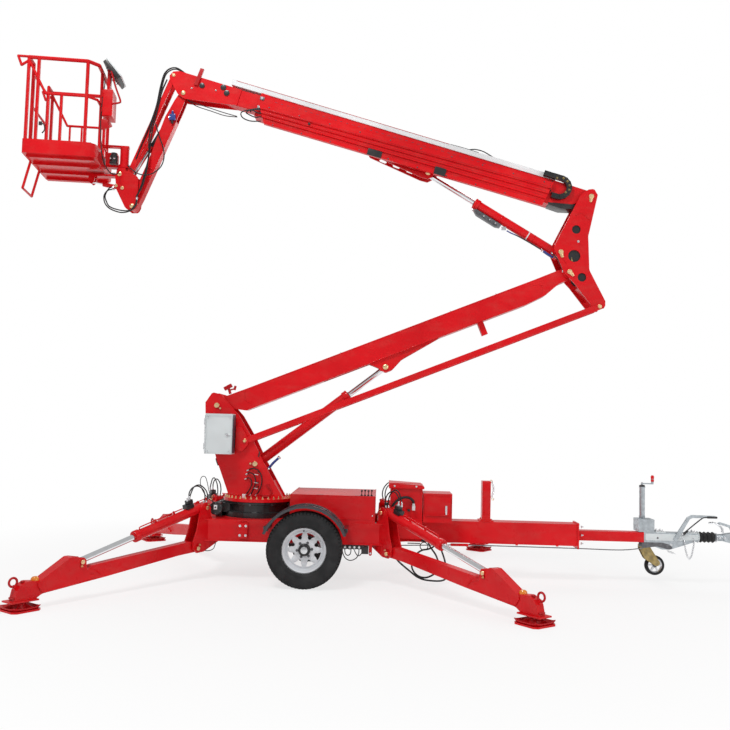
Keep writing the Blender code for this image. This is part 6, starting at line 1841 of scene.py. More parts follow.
class DrawbarDress(Dress):
    """Beam's flange bolts, rest post with its chain and pad."""

    def build(self) -> None:
        """Builds the dress of the drawbar."""
        spots = [((2.690, s * 0.085, z), (1, 0, 0)) for s in (-1, 1) for z in (0.385, 0.467, 0.549)]
        self.patterns.bolts("flange_bolts", spots, 0.016, "chassis", BRIGHT_ZINC)
        beads = []
        for side in (-1, 1):
            y = side * 0.1003
            beads.append([(1.700, y, 0.5745), (1.800, y, 0.5745)])
            beads.append([(2.655, y, 0.365), (2.655, y, 0.569)])
            beads.append([(0.745, y, 0.5745), (1.10, y, 0.5745)])
        self.welds("drawbar_welds", beads, RED, "chassis")
        plates = Shape()
        for side in (-1, 1):
            plates.prism([(1.690, 0.5745), (1.810, 0.5745), (1.795, 0.600), (1.705, 0.600)],
                         *sorted((side * 0.060, side * 0.072)), 0.002)
            plates.box((1.722, 1.778), sorted((side * 0.0605, side * 0.0635)), (0.640, 0.940), 0.002)
        plates.done("post_plates", RED, "chassis")
        links, sides = [], []
        top = Vector((1.800, -0.045, 0.968))
        count = 13
        for k in range(count):
            t = k / (count - 1)
            x = 1.803 + 0.030 * math.sin(math.pi * t) * 0.6
            links.append(((x, -0.045 - 0.012 * t, top.z - 0.150 * t), (0.1 * math.cos(math.pi * t), 0, -1)))
            sides.append((0, 1, 0) if k % 2 else (1, 0, 0))
        self.patterns.scattered("post_chain", chain_link(0.0085, 0.0022), links, sides, BRIGHT_ZINC,
                                "chassis")
        hook = Shape()
        hook.ring((1.796, -0.045, 0.9745), (0, 1, 0), 0.011, 0.003, 20, 8)
        hook.bent([(1.803, -0.057, 0.818), (1.804, -0.057, 0.800), (1.812, -0.057, 0.786),
                   (1.823, -0.057, 0.792), (1.822, -0.057, 0.806)], 0.0035, 8, 0.004)
        hook.done("post_chain_hook", YELLOW_ZINC, "chassis")
        dark, red = Shape(), Shape()
        dark.rod((1.130, -0.112, 0.378), (1.130, -0.150, 0.378), 0.014, 16)
        dark.tube([(1.102, -0.150, 0.378), (1.159, -0.150, 0.378)], 0.0105, 12)
        dark.ring((1.130, -0.150, 0.3235), (0, 1, 0), 0.0385, 0.0048, 32, 10)
        dark.tube([(0.967, -0.118, 0.345), (1.092, -0.118, 0.345)], 0.005, 8)
        dark.done("drawbar_tee", BLACK, "chassis")
        for x in (1.60, 2.05, 2.45):
            red.box((x - 0.012, x + 0.012), (-0.112, -0.099), (0.352, 0.372), 0.002)
        red.done("brake_rod_guides", RED, "chassis")


def chain_link(radius: float, wire: float) -> Shape:
    """Oval chain link in the X-Z plane round the origin, along Z.

    Args:
        radius: radius of its round ends.
        wire: radius of its wire.

    Returns:
        The link.
    """
    line = []
    for k in range(24):
        a = math.tau * k / 24
        straight = math.copysign(radius * 0.55, math.sin(a + 1e-6))
        line.append((radius * math.cos(a), 0.0, radius * 0.7 * math.sin(a) + straight))
    shape = Shape()
    shape.tube([*line, line[0], line[1]], wire, 7)
    return shape


class CouplingDress(Dress):
    """Overrun coupling: bellows, head, hand brake, safety chain, jack and jockey wheel."""

    def build(self) -> None:
        """Builds the whole coupling end."""
        self.housing()
        self.head()
        self.chain()
        self.jack()
        self.jockey()

    def housing(self) -> None:
        """Cast housing's ribs, bolts, hand brake lever and spring."""
        cast, dark = Shape(), Shape()
        for side in (-1, 1):
            cast.prism(rounded([(3.335, 0.432, 0.012), (3.600, 0.432, 0.030), (3.860, 0.446, 0.020),
                                (3.860, 0.498, 0.012), (3.335, 0.498, 0.012)], 5),
                       *sorted((side * 0.0515, side * 0.0575)), 0.003)
            dark.prism(rounded([(3.300, 0.413, 0.004), (3.500, 0.413, 0.010), (3.560, 0.400, 0.02),
                                (3.620, 0.360, 0.02), (3.570, 0.345, 0.02), (3.450, 0.372, 0.03),
                                (3.300, 0.352, 0.01)], 5), *sorted((side * 0.047, side * 0.053)), 0.003)
        cast.ring((3.868, 0, 0.472), (1, 0, 0), 0.0515, 0.006, 40, 10)
        cast.box((3.440, 3.540), (-0.053, 0.053), (0.5115, 0.519), 0.002)
        cast.box((3.760, 3.850), (-0.053, 0.053), (0.5115, 0.519), 0.002)
        cast.done("housing_ribs", BOX_GREY, "chassis")
        dark.rod((3.455, -0.0565, 0.458), (3.455, -0.0595, 0.458), 0.010, 16)
        dark.done("housing_cheeks", DARK_STEEL, "chassis")
        spots = [((x, y, 0.519), (0, 0, 1)) for x in (3.469, 3.508, 3.786, 3.824) for y in (-0.036, 0.036)]
        spots += [((3.700, -0.0575, 0.462), (0, -1, 0)), ((3.810, -0.0575, 0.462), (0, -1, 0))]
        self.patterns.bolts("housing_bolts", spots, 0.014, "chassis", BRIGHT_ZINC)
        lever, steel = Shape(), Shape()
        lever.prism(rounded([(3.680, 0.498, 0.014), (3.712, 0.490, 0.014), (3.756, 0.536, 0.01),
                             (3.744, 0.552, 0.01)], 5), -0.074, -0.068, 0.001)
        lever.bent([(3.730, -0.071, 0.532), (3.810, -0.071, 0.600), (3.890, -0.071, 0.664),
                    (3.925, -0.071, 0.676), (3.960, -0.071, 0.6755)], 0.0065, 10)
        lever.lathe([(0, 0), (0.0105, 0.001), (0.0115, 0.012), (0.0105, 0.070), (0.0115, 0.094),
                     (0.007, 0.101), (0, 0.102)], (3.938, -0.071, 0.6755), (1, 0, 0), 18)
        lever.done("hand_brake", BLACK, "chassis")
        steel.rod((3.694, -0.0575, 0.505), (3.694, -0.078, 0.505), 0.009, 14)
        steel.rod((3.593, -0.060, 0.394), (3.593, -0.048, 0.394), 0.011, 18)
        coil = [(3.555 + 0.062 * k / 60, -0.046 + 0.009 * math.cos(k * 0.9),
                 0.330 + 0.009 * math.sin(k * 0.9) - 0.020 * k / 60) for k in range(61)]
        steel.tube(coil, 0.0016, 6)
        steel.bent([(3.550, -0.046, 0.349), (3.556, -0.046, 0.333)], 0.002, 6, 0.004)
        steel.bent([(3.617, -0.046, 0.310), (3.637, -0.046, 0.303)], 0.002, 6, 0.004)
        steel.done("hand_brake_pivot", BRIGHT_ZINC, "chassis")

    def head(self) -> None:
        """Folded bellows, coupling head's handle with its row of holes, and its ball socket lip."""
        folds = []
        for k in range(4):
            x = 3.8745 + 0.0405 * k
            folds += [(0.0400, x), (0.0455, x + 0.006), (0.0535, x + 0.0185), (0.0545, x + 0.0205),
                      (0.0535, x + 0.0225), (0.0455, x + 0.035)]
        folds.append((0.0400, 4.0365))
        profile = [(0.020, 3.8745), *folds, (0.020, 4.0365)]
        Shape().lathe(profile, (0, 0, 0.472), (1, 0, 0), 48).done("bellows_folds", BOOT, "chassis",
                                                                  stands_for=["bellows"])
        steel, dark = Shape(), Shape()
        for side in (-1, 1):
            rim = smooth_path([(3.985, side * 0.021, 0.610), (4.030, side * 0.022, 0.612),
                               (4.080, side * 0.023, 0.592), (4.112, side * 0.023, 0.560),
                               (4.118, side * 0.022, 0.532)], 0.012)
            steel.tube(rim, 0.0045, 8)
        grip = smooth_path([(3.985, 0, 0.617), (4.030, 0, 0.619), (4.082, 0, 0.598), (4.115, 0, 0.564),
                            (4.121, 0, 0.534)], 0.012)
        for a, b in zip(grip, grip[1:]):
            d = (b - a).normalized()
            up = Vector((-d.z, 0, d.x))
            corners = [a - up * 0.003, b - up * 0.003, b + up * 0.0005, a + up * 0.0005]
            steel.prism([(c.x, c.z) for c in corners], -0.022, 0.022)
        # Black rods across the handle: painted shade in its row of holes.
        for k, p in enumerate(grip[1:-1]):
            if k % 2 == 0:
                dark.rod((p.x, -0.0125, p.z + 0.0006), (p.x, -0.0025, p.z + 0.0006), 0.0052, 10)
                dark.rod((p.x, 0.0025, p.z + 0.0006), (p.x, 0.0125, p.z + 0.0006), 0.0052, 10)
        steel.rod((4.118, -0.026, 0.528), (4.118, 0.026, 0.528), 0.007, 14)
        steel.done("coupler_handle", BRIGHT_ZINC, "chassis")
        dark.done("coupler_handle_holes", BLACK, "chassis")
        lip = Shape()
        lip.ring((4.278, 0, 0.4075), (0, 0, 1), 0.0375, 0.0042, 40, 10)
        lip.ring((4.049, 0, 0.472), (1, 0, 0), 0.043, 0.0045, 40, 10)
        lip.done("coupler_lip", BRIGHT_ZINC, "chassis")
        self.patterns.bolts("coupler_bolts", [((x, -0.0415, 0.474), (0, -1, 0)) for x in (4.075, 4.122)],
                            0.015, "chassis", BRIGHT_ZINC)

    def chain(self) -> None:
        """Safety chain that hangs in a loop from the housing."""
        line = smooth_path([(3.718, -0.060, 0.428), (3.728, -0.062, 0.360), (3.744, -0.064, 0.295),
                            (3.766, -0.064, 0.262), (3.788, -0.064, 0.295), (3.803, -0.062, 0.360),
                            (3.815, -0.060, 0.430)], 0.0125)
        links = [(tuple(p), tuple(q - p)) for p, q in zip(line, line[1:])]
        sides = [(0, 1, 0) if k % 2 else (1, 0, 0) for k in range(len(links))]
        self.patterns.scattered("safety_chain", chain_link(0.0078, 0.0021), links, sides, BRIGHT_ZINC,
                                "chassis")
        eyes = Shape()
        for x in (3.718, 3.815):
            eyes.ring((x, -0.060, 0.4345), (1, 0, 0), 0.0085, 0.003, 20, 8)
            eyes.rod((x, -0.060, 0.441), (x, -0.050, 0.446), 0.006, 12)
        eyes.done("safety_chain_eyes", BRIGHT_ZINC, "chassis")

    def jack(self) -> None:
        """Clamp of the jack with its red locking handle, tube collars, crank and knob."""
        x, y = 3.348, 0.104
        tube, red, dark = Shape(), Shape(), Shape()
        for z in (0.462, 0.938):
            tube.lathe([(0.028, 0), (0.0315, 0.001), (0.0315, 0.012), (0.028, 0.013)], (x, y, z), (0, 0, 1),
                       28)
        tube.lathe([(0.0282, 0), (0.0300, 0.002), (0.0300, 0.020), (0.0282, 0.022)], (x, y, 0.640),
                   (0, 0, 1), 28)
        tube.done("jack_collars", GALVANISED, "chassis")
        red.rod((3.372, 0.066, 0.560), (3.448, 0.060, 0.560), 0.006, 12)
        red.lathe([(0, 0), (0.012, 0.001), (0.019, 0.006), (0.019, 0.030), (0.012, 0.036), (0, 0.037)],
                  (3.410, 0.060, 0.560), (1, 0, 0.05), 20)
        red.done("jack_clamp_handle", RED, "chassis")
        dark.box((3.400, 3.475), (0.046, 0.074), (0.5095, 0.524), 0.003)
        dark.box((3.314, 3.330), (0.070, 0.138), (0.548, 0.574), 0.003)
        dark.box((3.314, 3.330), (0.070, 0.138), (0.600, 0.612), 0.003)
        dark.done("jack_clamp_base", BLACK, "chassis")
        cap, crank, knob = Shape(), Shape(), Shape()
        cap.lathe([(0, 0), (0.0295, 0.0), (0.0295, 0.010), (0.024, 0.016), (0.012, 0.018), (0, 0.018)],
                  (x, y, 0.9515), (0, 0, 1), 28)
        cap.done("jack_cap", BLACK, "chassis")
        crank.hexagon((x, y, 0.986), (0, 0, 1), 0.018, 0.010)
        crank.done("jack_nut", BRIGHT_ZINC, "jack_stem")
        knob.lathe([(0, 0), (0.0135, 0.001), (0.0165, 0.012), (0.0150, 0.030), (0.0175, 0.052),
                    (0.0120, 0.066), (0, 0.068)], (x + 0.104, y, 1.000), (0, 0, 1), 22)
        knob.done("jack_knob", RED, "jack_stem")

    def jockey(self) -> None:
        """Jockey wheel: rubber tread, pressed disc with spokes, and the fork's axle nut."""
        x, y, z, half = 3.497, 0.178, 0.1535, 0.026
        tread, disc, hub = Shape(), Shape(), Shape()
        tread.lathe([(0.072, -half + 0.003), (0.088, -half), (0.096, -half + 0.006), (0.0992, -0.012),
                     (0.0996, 0.0), (0.0992, 0.012), (0.096, half - 0.006), (0.088, half),
                     (0.072, half - 0.003)], (x, y, z), (0, 1, 0), 56, closed=True)
        tread.done("jockey_tread", TYRE, "jockey_wheel", stands_for=["jockey_wheel"])
        disc.lathe([(0.074, -0.022), (0.0765, -0.0235), (0.0765, -0.016), (0.068, -0.012), (0.068, 0.012),
                    (0.0765, 0.016), (0.0765, 0.0235), (0.074, 0.022), (0.064, 0.012), (0.064, -0.012)],
                   (x, y, z), (0, 1, 0), 48, closed=True)
        for k in range(6):
            turn = (Matrix.Translation((x, y, z)) @ Matrix.Rotation(math.tau * k / 6, 4, "Y"))
            disc.prism([(0.014, -0.011), (0.067, -0.008), (0.067, 0.008), (0.014, 0.011)], -0.013, 0.013,
                       0.003, turn)
        disc.done("jockey_disc", BRIGHT_ZINC, "jockey_wheel")
        hub.lathe([(0, -0.029), (0.016, -0.029), (0.020, -0.025), (0.020, 0.025), (0.016, 0.029),
                   (0, 0.029)], (x, y, z), (0, 1, 0), 28)
        hub.done("jockey_hub", DARK_STEEL, "jockey_wheel")


class TurretDress(Dress):
    """Turret's pins, hoses, tie-down hook, hose hoop and the ground control box."""

    def build(self) -> None:
        """Builds the dress of the turret."""
        self.pins("turret", [((-0.980, 1.665), 0.1403, 0.0255, -40), ((-0.575, 1.088), 0.1403, 0.0255, 176)],
                  "turret")
        self.pins("turret_link", [((-0.682, 1.316), 0.1835, 0.0150, None)], "turret")
        beads = []
        for side in (-1, 1):
            y = side * 0.1405
            beads.append([(-0.895, y, 0.788), (-0.60, y, 0.772), (-0.38, y, 0.790)])
        self.welds("turret_welds", beads, RED, "turret", 0.0045)
        dark, red, hoop, pale = Shape(), Shape(), Shape(), Shape()
        dark.bent([(-0.972, -0.128, 1.133), (-0.962, -0.132, 1.100), (-0.946, -0.132, 1.062)], 0.006, 8)
        dark.rod((-0.534, -0.138, 1.212), (-0.540, -0.152, 1.160), 0.006, 12)
        for z in (0.862, 0.905, 1.010):
            dark.box((-0.548, -0.532), (-0.175, -0.140), (z - 0.004, z + 0.004), 0.001)
        dark.done("turret_clips", BLACK, "turret")
        red.bent([(-0.4320, -0.150, 0.872), (-0.415, -0.152, 0.850), (-0.399, -0.152, 0.825),
                  (-0.412, -0.152, 0.790), (-0.445, -0.152, 0.768), (-0.478, -0.152, 0.772),
                  (-0.501, -0.150, 0.791)], 0.0085, 12, 0.008)
        red.box((-0.452, -0.420), (-0.155, -0.138), (0.860, 0.892), 0.003)
        red.done("turret_hook", DEEP_RED, "turret")
        pale.box((-0.684, -0.654), (-0.205, -0.185), (0.7545, 0.792), 0.003)
        pale.done("ring_marker", TRAY_WHITE, "turret")
        for z, y in ((0.848, -0.175), (0.905, -0.178), (0.985, -0.176)):
            hoop.ring((-0.553, y, z), (0.2, 0, 1), 0.0205, 0.0023, 20, 7)
        hoop.done("hose_ties", TRAY_WHITE, "turret")
        fitting, steel = Shape(), Shape()
        line = [(-0.443, -0.060, 1.047), (-0.405, -0.060, 1.096), (-0.350, -0.060, 1.150)]
        fitting.bent(line, 0.0125, 14, 0.01)
        fitting.done("port_fitting", FITTING_BLUE, "lower_barrel")
        steel.hexagon(line[0], (-0.6, 0, -0.8), 0.030, 0.016)
        steel.hexagon(line[2], (0.7, 0, 0.7), 0.030, 0.018)
        steel.done("port_fitting_ends", CHROME, "lower_barrel")
        loops = [[(-0.650, -0.142, 1.020), (-0.600, -0.156, 1.042), (-0.540, -0.164, 1.028),
                  (-0.502, -0.168, 0.970), (-0.500, -0.166, 0.890), (-0.524, -0.162, 0.820),
                  (-0.560, -0.150, 0.774)], [(-0.660, -0.142, 0.982), (-0.620, -0.158, 1.000),
                                             (-0.578, -0.166, 0.980), (-0.560, -0.168, 0.920),
                                             (-0.572, -0.168, 0.860), (-0.592, -0.160, 0.810),
                                             (-0.612, -0.150, 0.774)],
                 [(-0.668, -0.142, 0.935), (-0.634, -0.158, 0.950), (-0.604, -0.168, 0.930),
                  (-0.598, -0.168, 0.885), (-0.615, -0.166, 0.840), (-0.640, -0.156, 0.800),
                  (-0.660, -0.150, 0.774)]]
        for k, points in enumerate(loops):
            Hose(f"turret_hose_{k}", "turret", points, 0.012).make()
        Hose("worm_hoop", "chassis",
             [(-0.948, -0.255, 0.706), (-1.010, -0.285, 0.755), (-1.062, -0.300, 0.830),
              (-1.084, -0.300, 0.905), (-1.072, -0.300, 0.955), (-1.038, -0.300, 0.958),
              (-1.016, -0.300, 0.905), (-0.992, -0.300, 0.810), (-0.950, -0.300, 0.706)], 0.007,
             ferrules=False).make()
        self.control_box()

    def control_box(self) -> None:
        """Face rim, rivets, lock and hinge strip of the ground control box, and on its side a dark blue strip
        and black dots of painted shade.
        """
        x0, x1, y, z0, z1 = -1.052, -0.782, -0.330, 1.185, 1.580
        face, strip, steel = Shape(), Shape(), Shape()
        for a, b in (((x0 + 0.006, x0 + 0.012), (z0 + 0.006, z1 - 0.006)),
                     ((x1 - 0.012, x1 - 0.006), (z0 + 0.006, z1 - 0.006)),
                     ((x0 + 0.006, x1 - 0.006), (z0 + 0.006, z0 + 0.012)),
                     ((x0 + 0.006, x1 - 0.006), (z1 - 0.012, z1 - 0.006))):
            face.box(a, (y - 0.012, y - 0.0095), b, 0.001)
        face.done("control_door_rim", BOX_GREY, "control_box_door")
        steel.lathe([(0, 0), (0.0135, 0), (0.0135, 0.004), (0.009, 0.008), (0, 0.008)],
                    (-0.834, y - 0.010, 1.379), (0, -1, 0), 24)
        steel.box((-0.8365, -0.8315), (y - 0.0195, y - 0.017), (1.372, 1.386), 0.0005)
        steel.done("control_door_lock", BRIGHT_ZINC, "control_box_door")
        spots = [((x, y - 0.0095, z), (0, -1, 0)) for x in (x0 + 0.030, x1 - 0.030)
                 for z in (z0 + 0.030, z1 - 0.030)]
        self.patterns.bolts("control_door_rivets", spots, 0.008, "control_box_door", BRIGHT_ZINC,
                            thread=0.0)
        # Dark blue strip on the box's right side: painted shade for the side face that lies in shade.
        strip.box((x1 - 0.001, x1 + 0.004), (-0.322, -0.172), (z0 + 0.010, z1 - 0.010), 0.001)
        strip.done("control_box_side", SHADE_AND_WELD_BLUE, "turret")
        # Black dots on the side: painted shade in its small holes.
        holes = Shape()
        for z in (1.25, 1.32, 1.39, 1.46, 1.53):
            holes.rod((x1 + 0.0035, -0.250, z), (x1 + 0.0055, -0.250, z), 0.006, 12)
        holes.done("control_box_holes", BLACK, "turret")
        seam = Shape()
        seam.box((x0 - 0.004, x0 + 0.004), (-0.334, -0.318), (z0 + 0.020, z1 - 0.020), 0.002)
        for z in (1.26, 1.50):
            seam.rod((x0 - 0.004, -0.334, z - 0.030), (x0 - 0.004, -0.334, z + 0.030), 0.006, 12)
        seam.done("control_box_hinge", BRIGHT_ZINC, "turret")


@dataclass(frozen=True)
class Axis:
    """A boom's own line: s runs along it from its pin and t upward from it."""

    start: tuple[float, float]
    degrees: float
    up: int = 1

    def flat(self, s: float, t: float) -> tuple[float, float]:
        """Gives a place in the X-Z plane.

        Args:
            s: distance along the line.
            t: height above it.

        Returns:
            The place's X and Z.
        """
        a = math.radians(self.degrees)
        return (self.start[0] + s * math.cos(a) - self.up * t * math.sin(a),
                self.start[1] + s * math.sin(a) + self.up * t * math.cos(a))

    def at(self, s: float, t: float, y: float) -> Place:
        """Gives such a place at a distance from the middle plane.

        Args:
            s: distance along the line.
            t: height above it.
            y: distance from the middle plane.

        Returns:
            The place.
        """
        x, z = self.flat(s, t)
        return (x, y, z)

    def block(self, shape: Shape, s: Sequence[float], t: Sequence[float], y: Sequence[float],
              bevel: float = 0.002) -> None:
        """Adds a box that lies along the line.

        Args:
            shape: the shape that takes the box.
            s: its two ends along the line.
            t: its two heights above the line.
            y: its two sides.
            bevel: width of the rounding.
        """
        shape.prism([self.flat(s[0], t[0]), self.flat(s[1], t[0]), self.flat(s[1], t[1]),
                     self.flat(s[0], t[1])], y[0], y[1], bevel)


LOWER = Axis((-0.980, 1.665), 22.16)
UPPER = Axis((2.750, 3.873), 164.15, -1)
JIB = Axis((-1.463, 4.899), 248.0)


@dataclass
class Ram:
    """Gland, wiper, ports and pressure pipe of a hydraulic cylinder."""

    name: str
    base: tuple[float, float]
    eye: tuple[float, float]
    radius: float
    gland: float
    rod: float
    ports: bool = True

    def along(self, s: float, y: float = 0.0, t: float = 0.0) -> Place:
        """Gives a place beside the cylinder.

        Args:
            s: distance along the axis from the base pin.
            y: distance from the middle plane.
            t: height above the axis.

        Returns:
            The place.
        """
        line = Vector((self.eye[0] - self.base[0], 0, self.eye[1] - self.base[1])).normalized()
        return (self.base[0] + line.x * s - line.z * t, y, self.base[1] + line.z * s + line.x * t)

    def build(self) -> None:
        """Builds the fittings of the cylinder."""
        body, r, g = f"{self.name}_barrel", self.radius, self.gland
        line = Vector(self.along(1.0)) - Vector(self.along(0.0))
        dark, steel, seal = Shape(), Shape(), Shape()
        dark.lathe([(r, -0.056), (r + 0.0075, -0.055), (r + 0.0085, -0.052), (r + 0.0085, -0.030),
                    (r + 0.0065, -0.028), (r + 0.0065, -0.024), (r + 0.0085, -0.022), (r + 0.0085, -0.004),
                    (r + 0.005, 0.0015), (self.rod + 0.006, 0.002)], self.along(g), line, 40)
        dark.done(f"{self.name}_gland", RED, body)
        seal.lathe([(self.rod + 0.007, 0.001), (self.rod + 0.006, 0.005), (self.rod + 0.001, 0.008),
                    (self.rod + 0.0006, 0.001)], self.along(g), line, 36)
        seal.done(f"{self.name}_wiper", BOOT, body)
        if not self.ports:
            return
        y = r + 0.001
        for s in (0.105, g - 0.085):
            steel.lathe([(0.0135, 0), (0.0135, 0.006), (0.011, 0.010), (0, 0.010)], self.along(s, r - 0.004),
                        (0, 1, 0), 20)
            steel.hexagon(self.along(s, y + 0.008), (0, 1, 0), 0.020, 0.008)
        steel.done(f"{self.name}_ports", BRIGHT_ZINC, body)
        pipe = Shape()
        out = y + 0.017
        pipe.bent([self.along(0.105, y + 0.010), self.along(0.112, out), self.along(0.160, out),
                   self.along(g - 0.150, out), self.along(g - 0.094, out), self.along(g - 0.085, y + 0.010)],
                  0.0050, 10, 0.010)
        pipe.done(f"{self.name}_pipe", BLACK, body)
        clamps = Shape()
        for share in (0.3, 0.68):
            clamps.ring(self.along(g * share), line, r + 0.0015, 0.0020, 36, 7)
            clamps.prism([self.along(g * share - 0.007, 0, -0.007)[::2],
                          self.along(g * share + 0.007, 0, -0.007)[::2],
                          self.along(g * share + 0.007, 0, 0.007)[::2],
                          self.along(g * share - 0.007, 0, 0.007)[::2]], y, out + 0.004, 0.001)
        clamps.done(f"{self.name}_clamps", RED, body)


class LowerBoomDress(Dress):
    """Lower boom's pins, seams, root handle and cylinder."""

    def build(self) -> None:
        """Builds the dress of the lower boom."""
        self.pins("lower_eye", [(LOWER.flat(1.725, -0.237), 0.0795, 0.0220, None)], "lower_boom")
        beads = []
        for side in (-1, 1):
            y = side * 0.0903
            beads += [[(-0.708, y, 1.829), (-0.701, y, 1.732), (-0.638, y, 1.686)],
                      [LOWER.at(0.50, 0.050, y), LOWER.at(3.25, 0.050, y)],
                      [LOWER.at(0.60, -0.145, y), LOWER.at(3.05, -0.145, y)],
                      [LOWER.at(3.38, 0.045, y), LOWER.at(3.41, 0.015, y), LOWER.at(3.50, -0.030, y),
                       LOWER.at(3.47, -0.100, y)]]
        self.welds("lower_seams", beads, RED, "lower_boom", 0.003)
        handle = Shape()
        handle.rod((-0.862, -0.060, 1.785), (-0.882, -0.060, 1.842), 0.0140, 16, 0.002)
        handle.box((-0.043, 0.043), (-0.020, 0.020), (-0.019, 0.019), 0.005,
                   Matrix.Translation((-0.888, -0.060, 1.853)) @ Matrix.Rotation(math.radians(-30), 4, "Y"))
        handle.rod((-0.872, -0.060, 1.822), (-0.820, -0.060, 1.838), 0.0075, 12)
        handle.rod((-0.822, -0.060, 1.824), (-0.812, -0.060, 1.868), 0.0125, 14, 0.003)
        handle.done("root_handle", DEEP_RED, "lower_boom")
        Ram("lower", (-0.575, 1.088), LOWER.flat(1.725, -0.237), 0.051, 1.160, 0.027).build()
        clips, spots = Shape(), []
        for s in (0.75, 1.35, 2.55, 3.05):
            LOWER.block(clips, (s - 0.012, s + 0.012), (0.0565, 0.0595), (-0.030, 0.030), 0.001)
            spots.append((LOWER.at(s, 0.0595, 0.0), (-0.3772, 0, 0.9261)))
        clips.done("lower_clips", DARK_STEEL, "lower_boom")
        self.patterns.bolts("lower_clip_bolts", spots, 0.010, "lower_boom", BRIGHT_ZINC)


class RiserDress(Dress):
    """Riser's pins with their keepers, lever, seams, bolts and black discs of painted shade in its holes."""

    def build(self) -> None:
        """Builds the dress of the riser."""
        self.pins("riser", [((2.750, 3.873), 0.1403, 0.0255, -98), ((2.449, 3.298), 0.1403, 0.0255, -75),
                            ((2.539, 3.098), 0.1403, 0.0255, -46)], "riser", keepers=YELLOW_ZINC)
        self.pins("riser_link", [((2.837, 2.749), 0.1725, 0.0175, None)], "riser")
        beads = []
        for side in (-1, 1):
            y = side * 0.1405
            beads.append([(2.590, y, 3.679), (2.657, y, 3.696), (2.735, y, 3.630)])
            beads.append([(2.500, y, 3.190), (2.470, y, 3.235), (2.480, y, 3.262)])
        self.welds("riser_welds", beads, RED, "riser", 0.0045)
        self.patterns.bolts("riser_bolts", [((2.623, -0.1400, 3.410), (0, -1, 0)),
                                            ((2.623, 0.1400, 3.410), (0, 1, 0))], 0.014, "riser",
                            BRIGHT_ZINC)
        # Black discs inside the riser's three holes on both sides: painted shade of the holes.
        hole_shades = Shape()
        for x, z, r in ((2.584, 3.261, 0.070), (2.602, 3.532, 0.051), (2.663, 3.045, 0.051)):
            for side in (-1, 1):
                hole_shades.lathe([(0, 0), (r, 0), (r, 0.008), (0, 0.008)], (x, side * 0.1262, z), (0, -side, 0),
                            36)
        hole_shades.done("riser_plugs", HOSE, "riser")
        lever = Shape()
        lever.rod((2.563, -0.118, 3.262), (2.563, -0.130, 3.216), 0.0055, 14)
        lever.ball((2.563, -0.131, 3.214), 0.0095)
        lever.lathe([(0, 0), (0.012, 0), (0.012, 0.014), (0.008, 0.018), (0, 0.018)], (2.563, -0.105, 3.266),
                    (0, -1, 0), 24)
        lever.done("riser_valve_lever", OLD_BRASS, "riser")


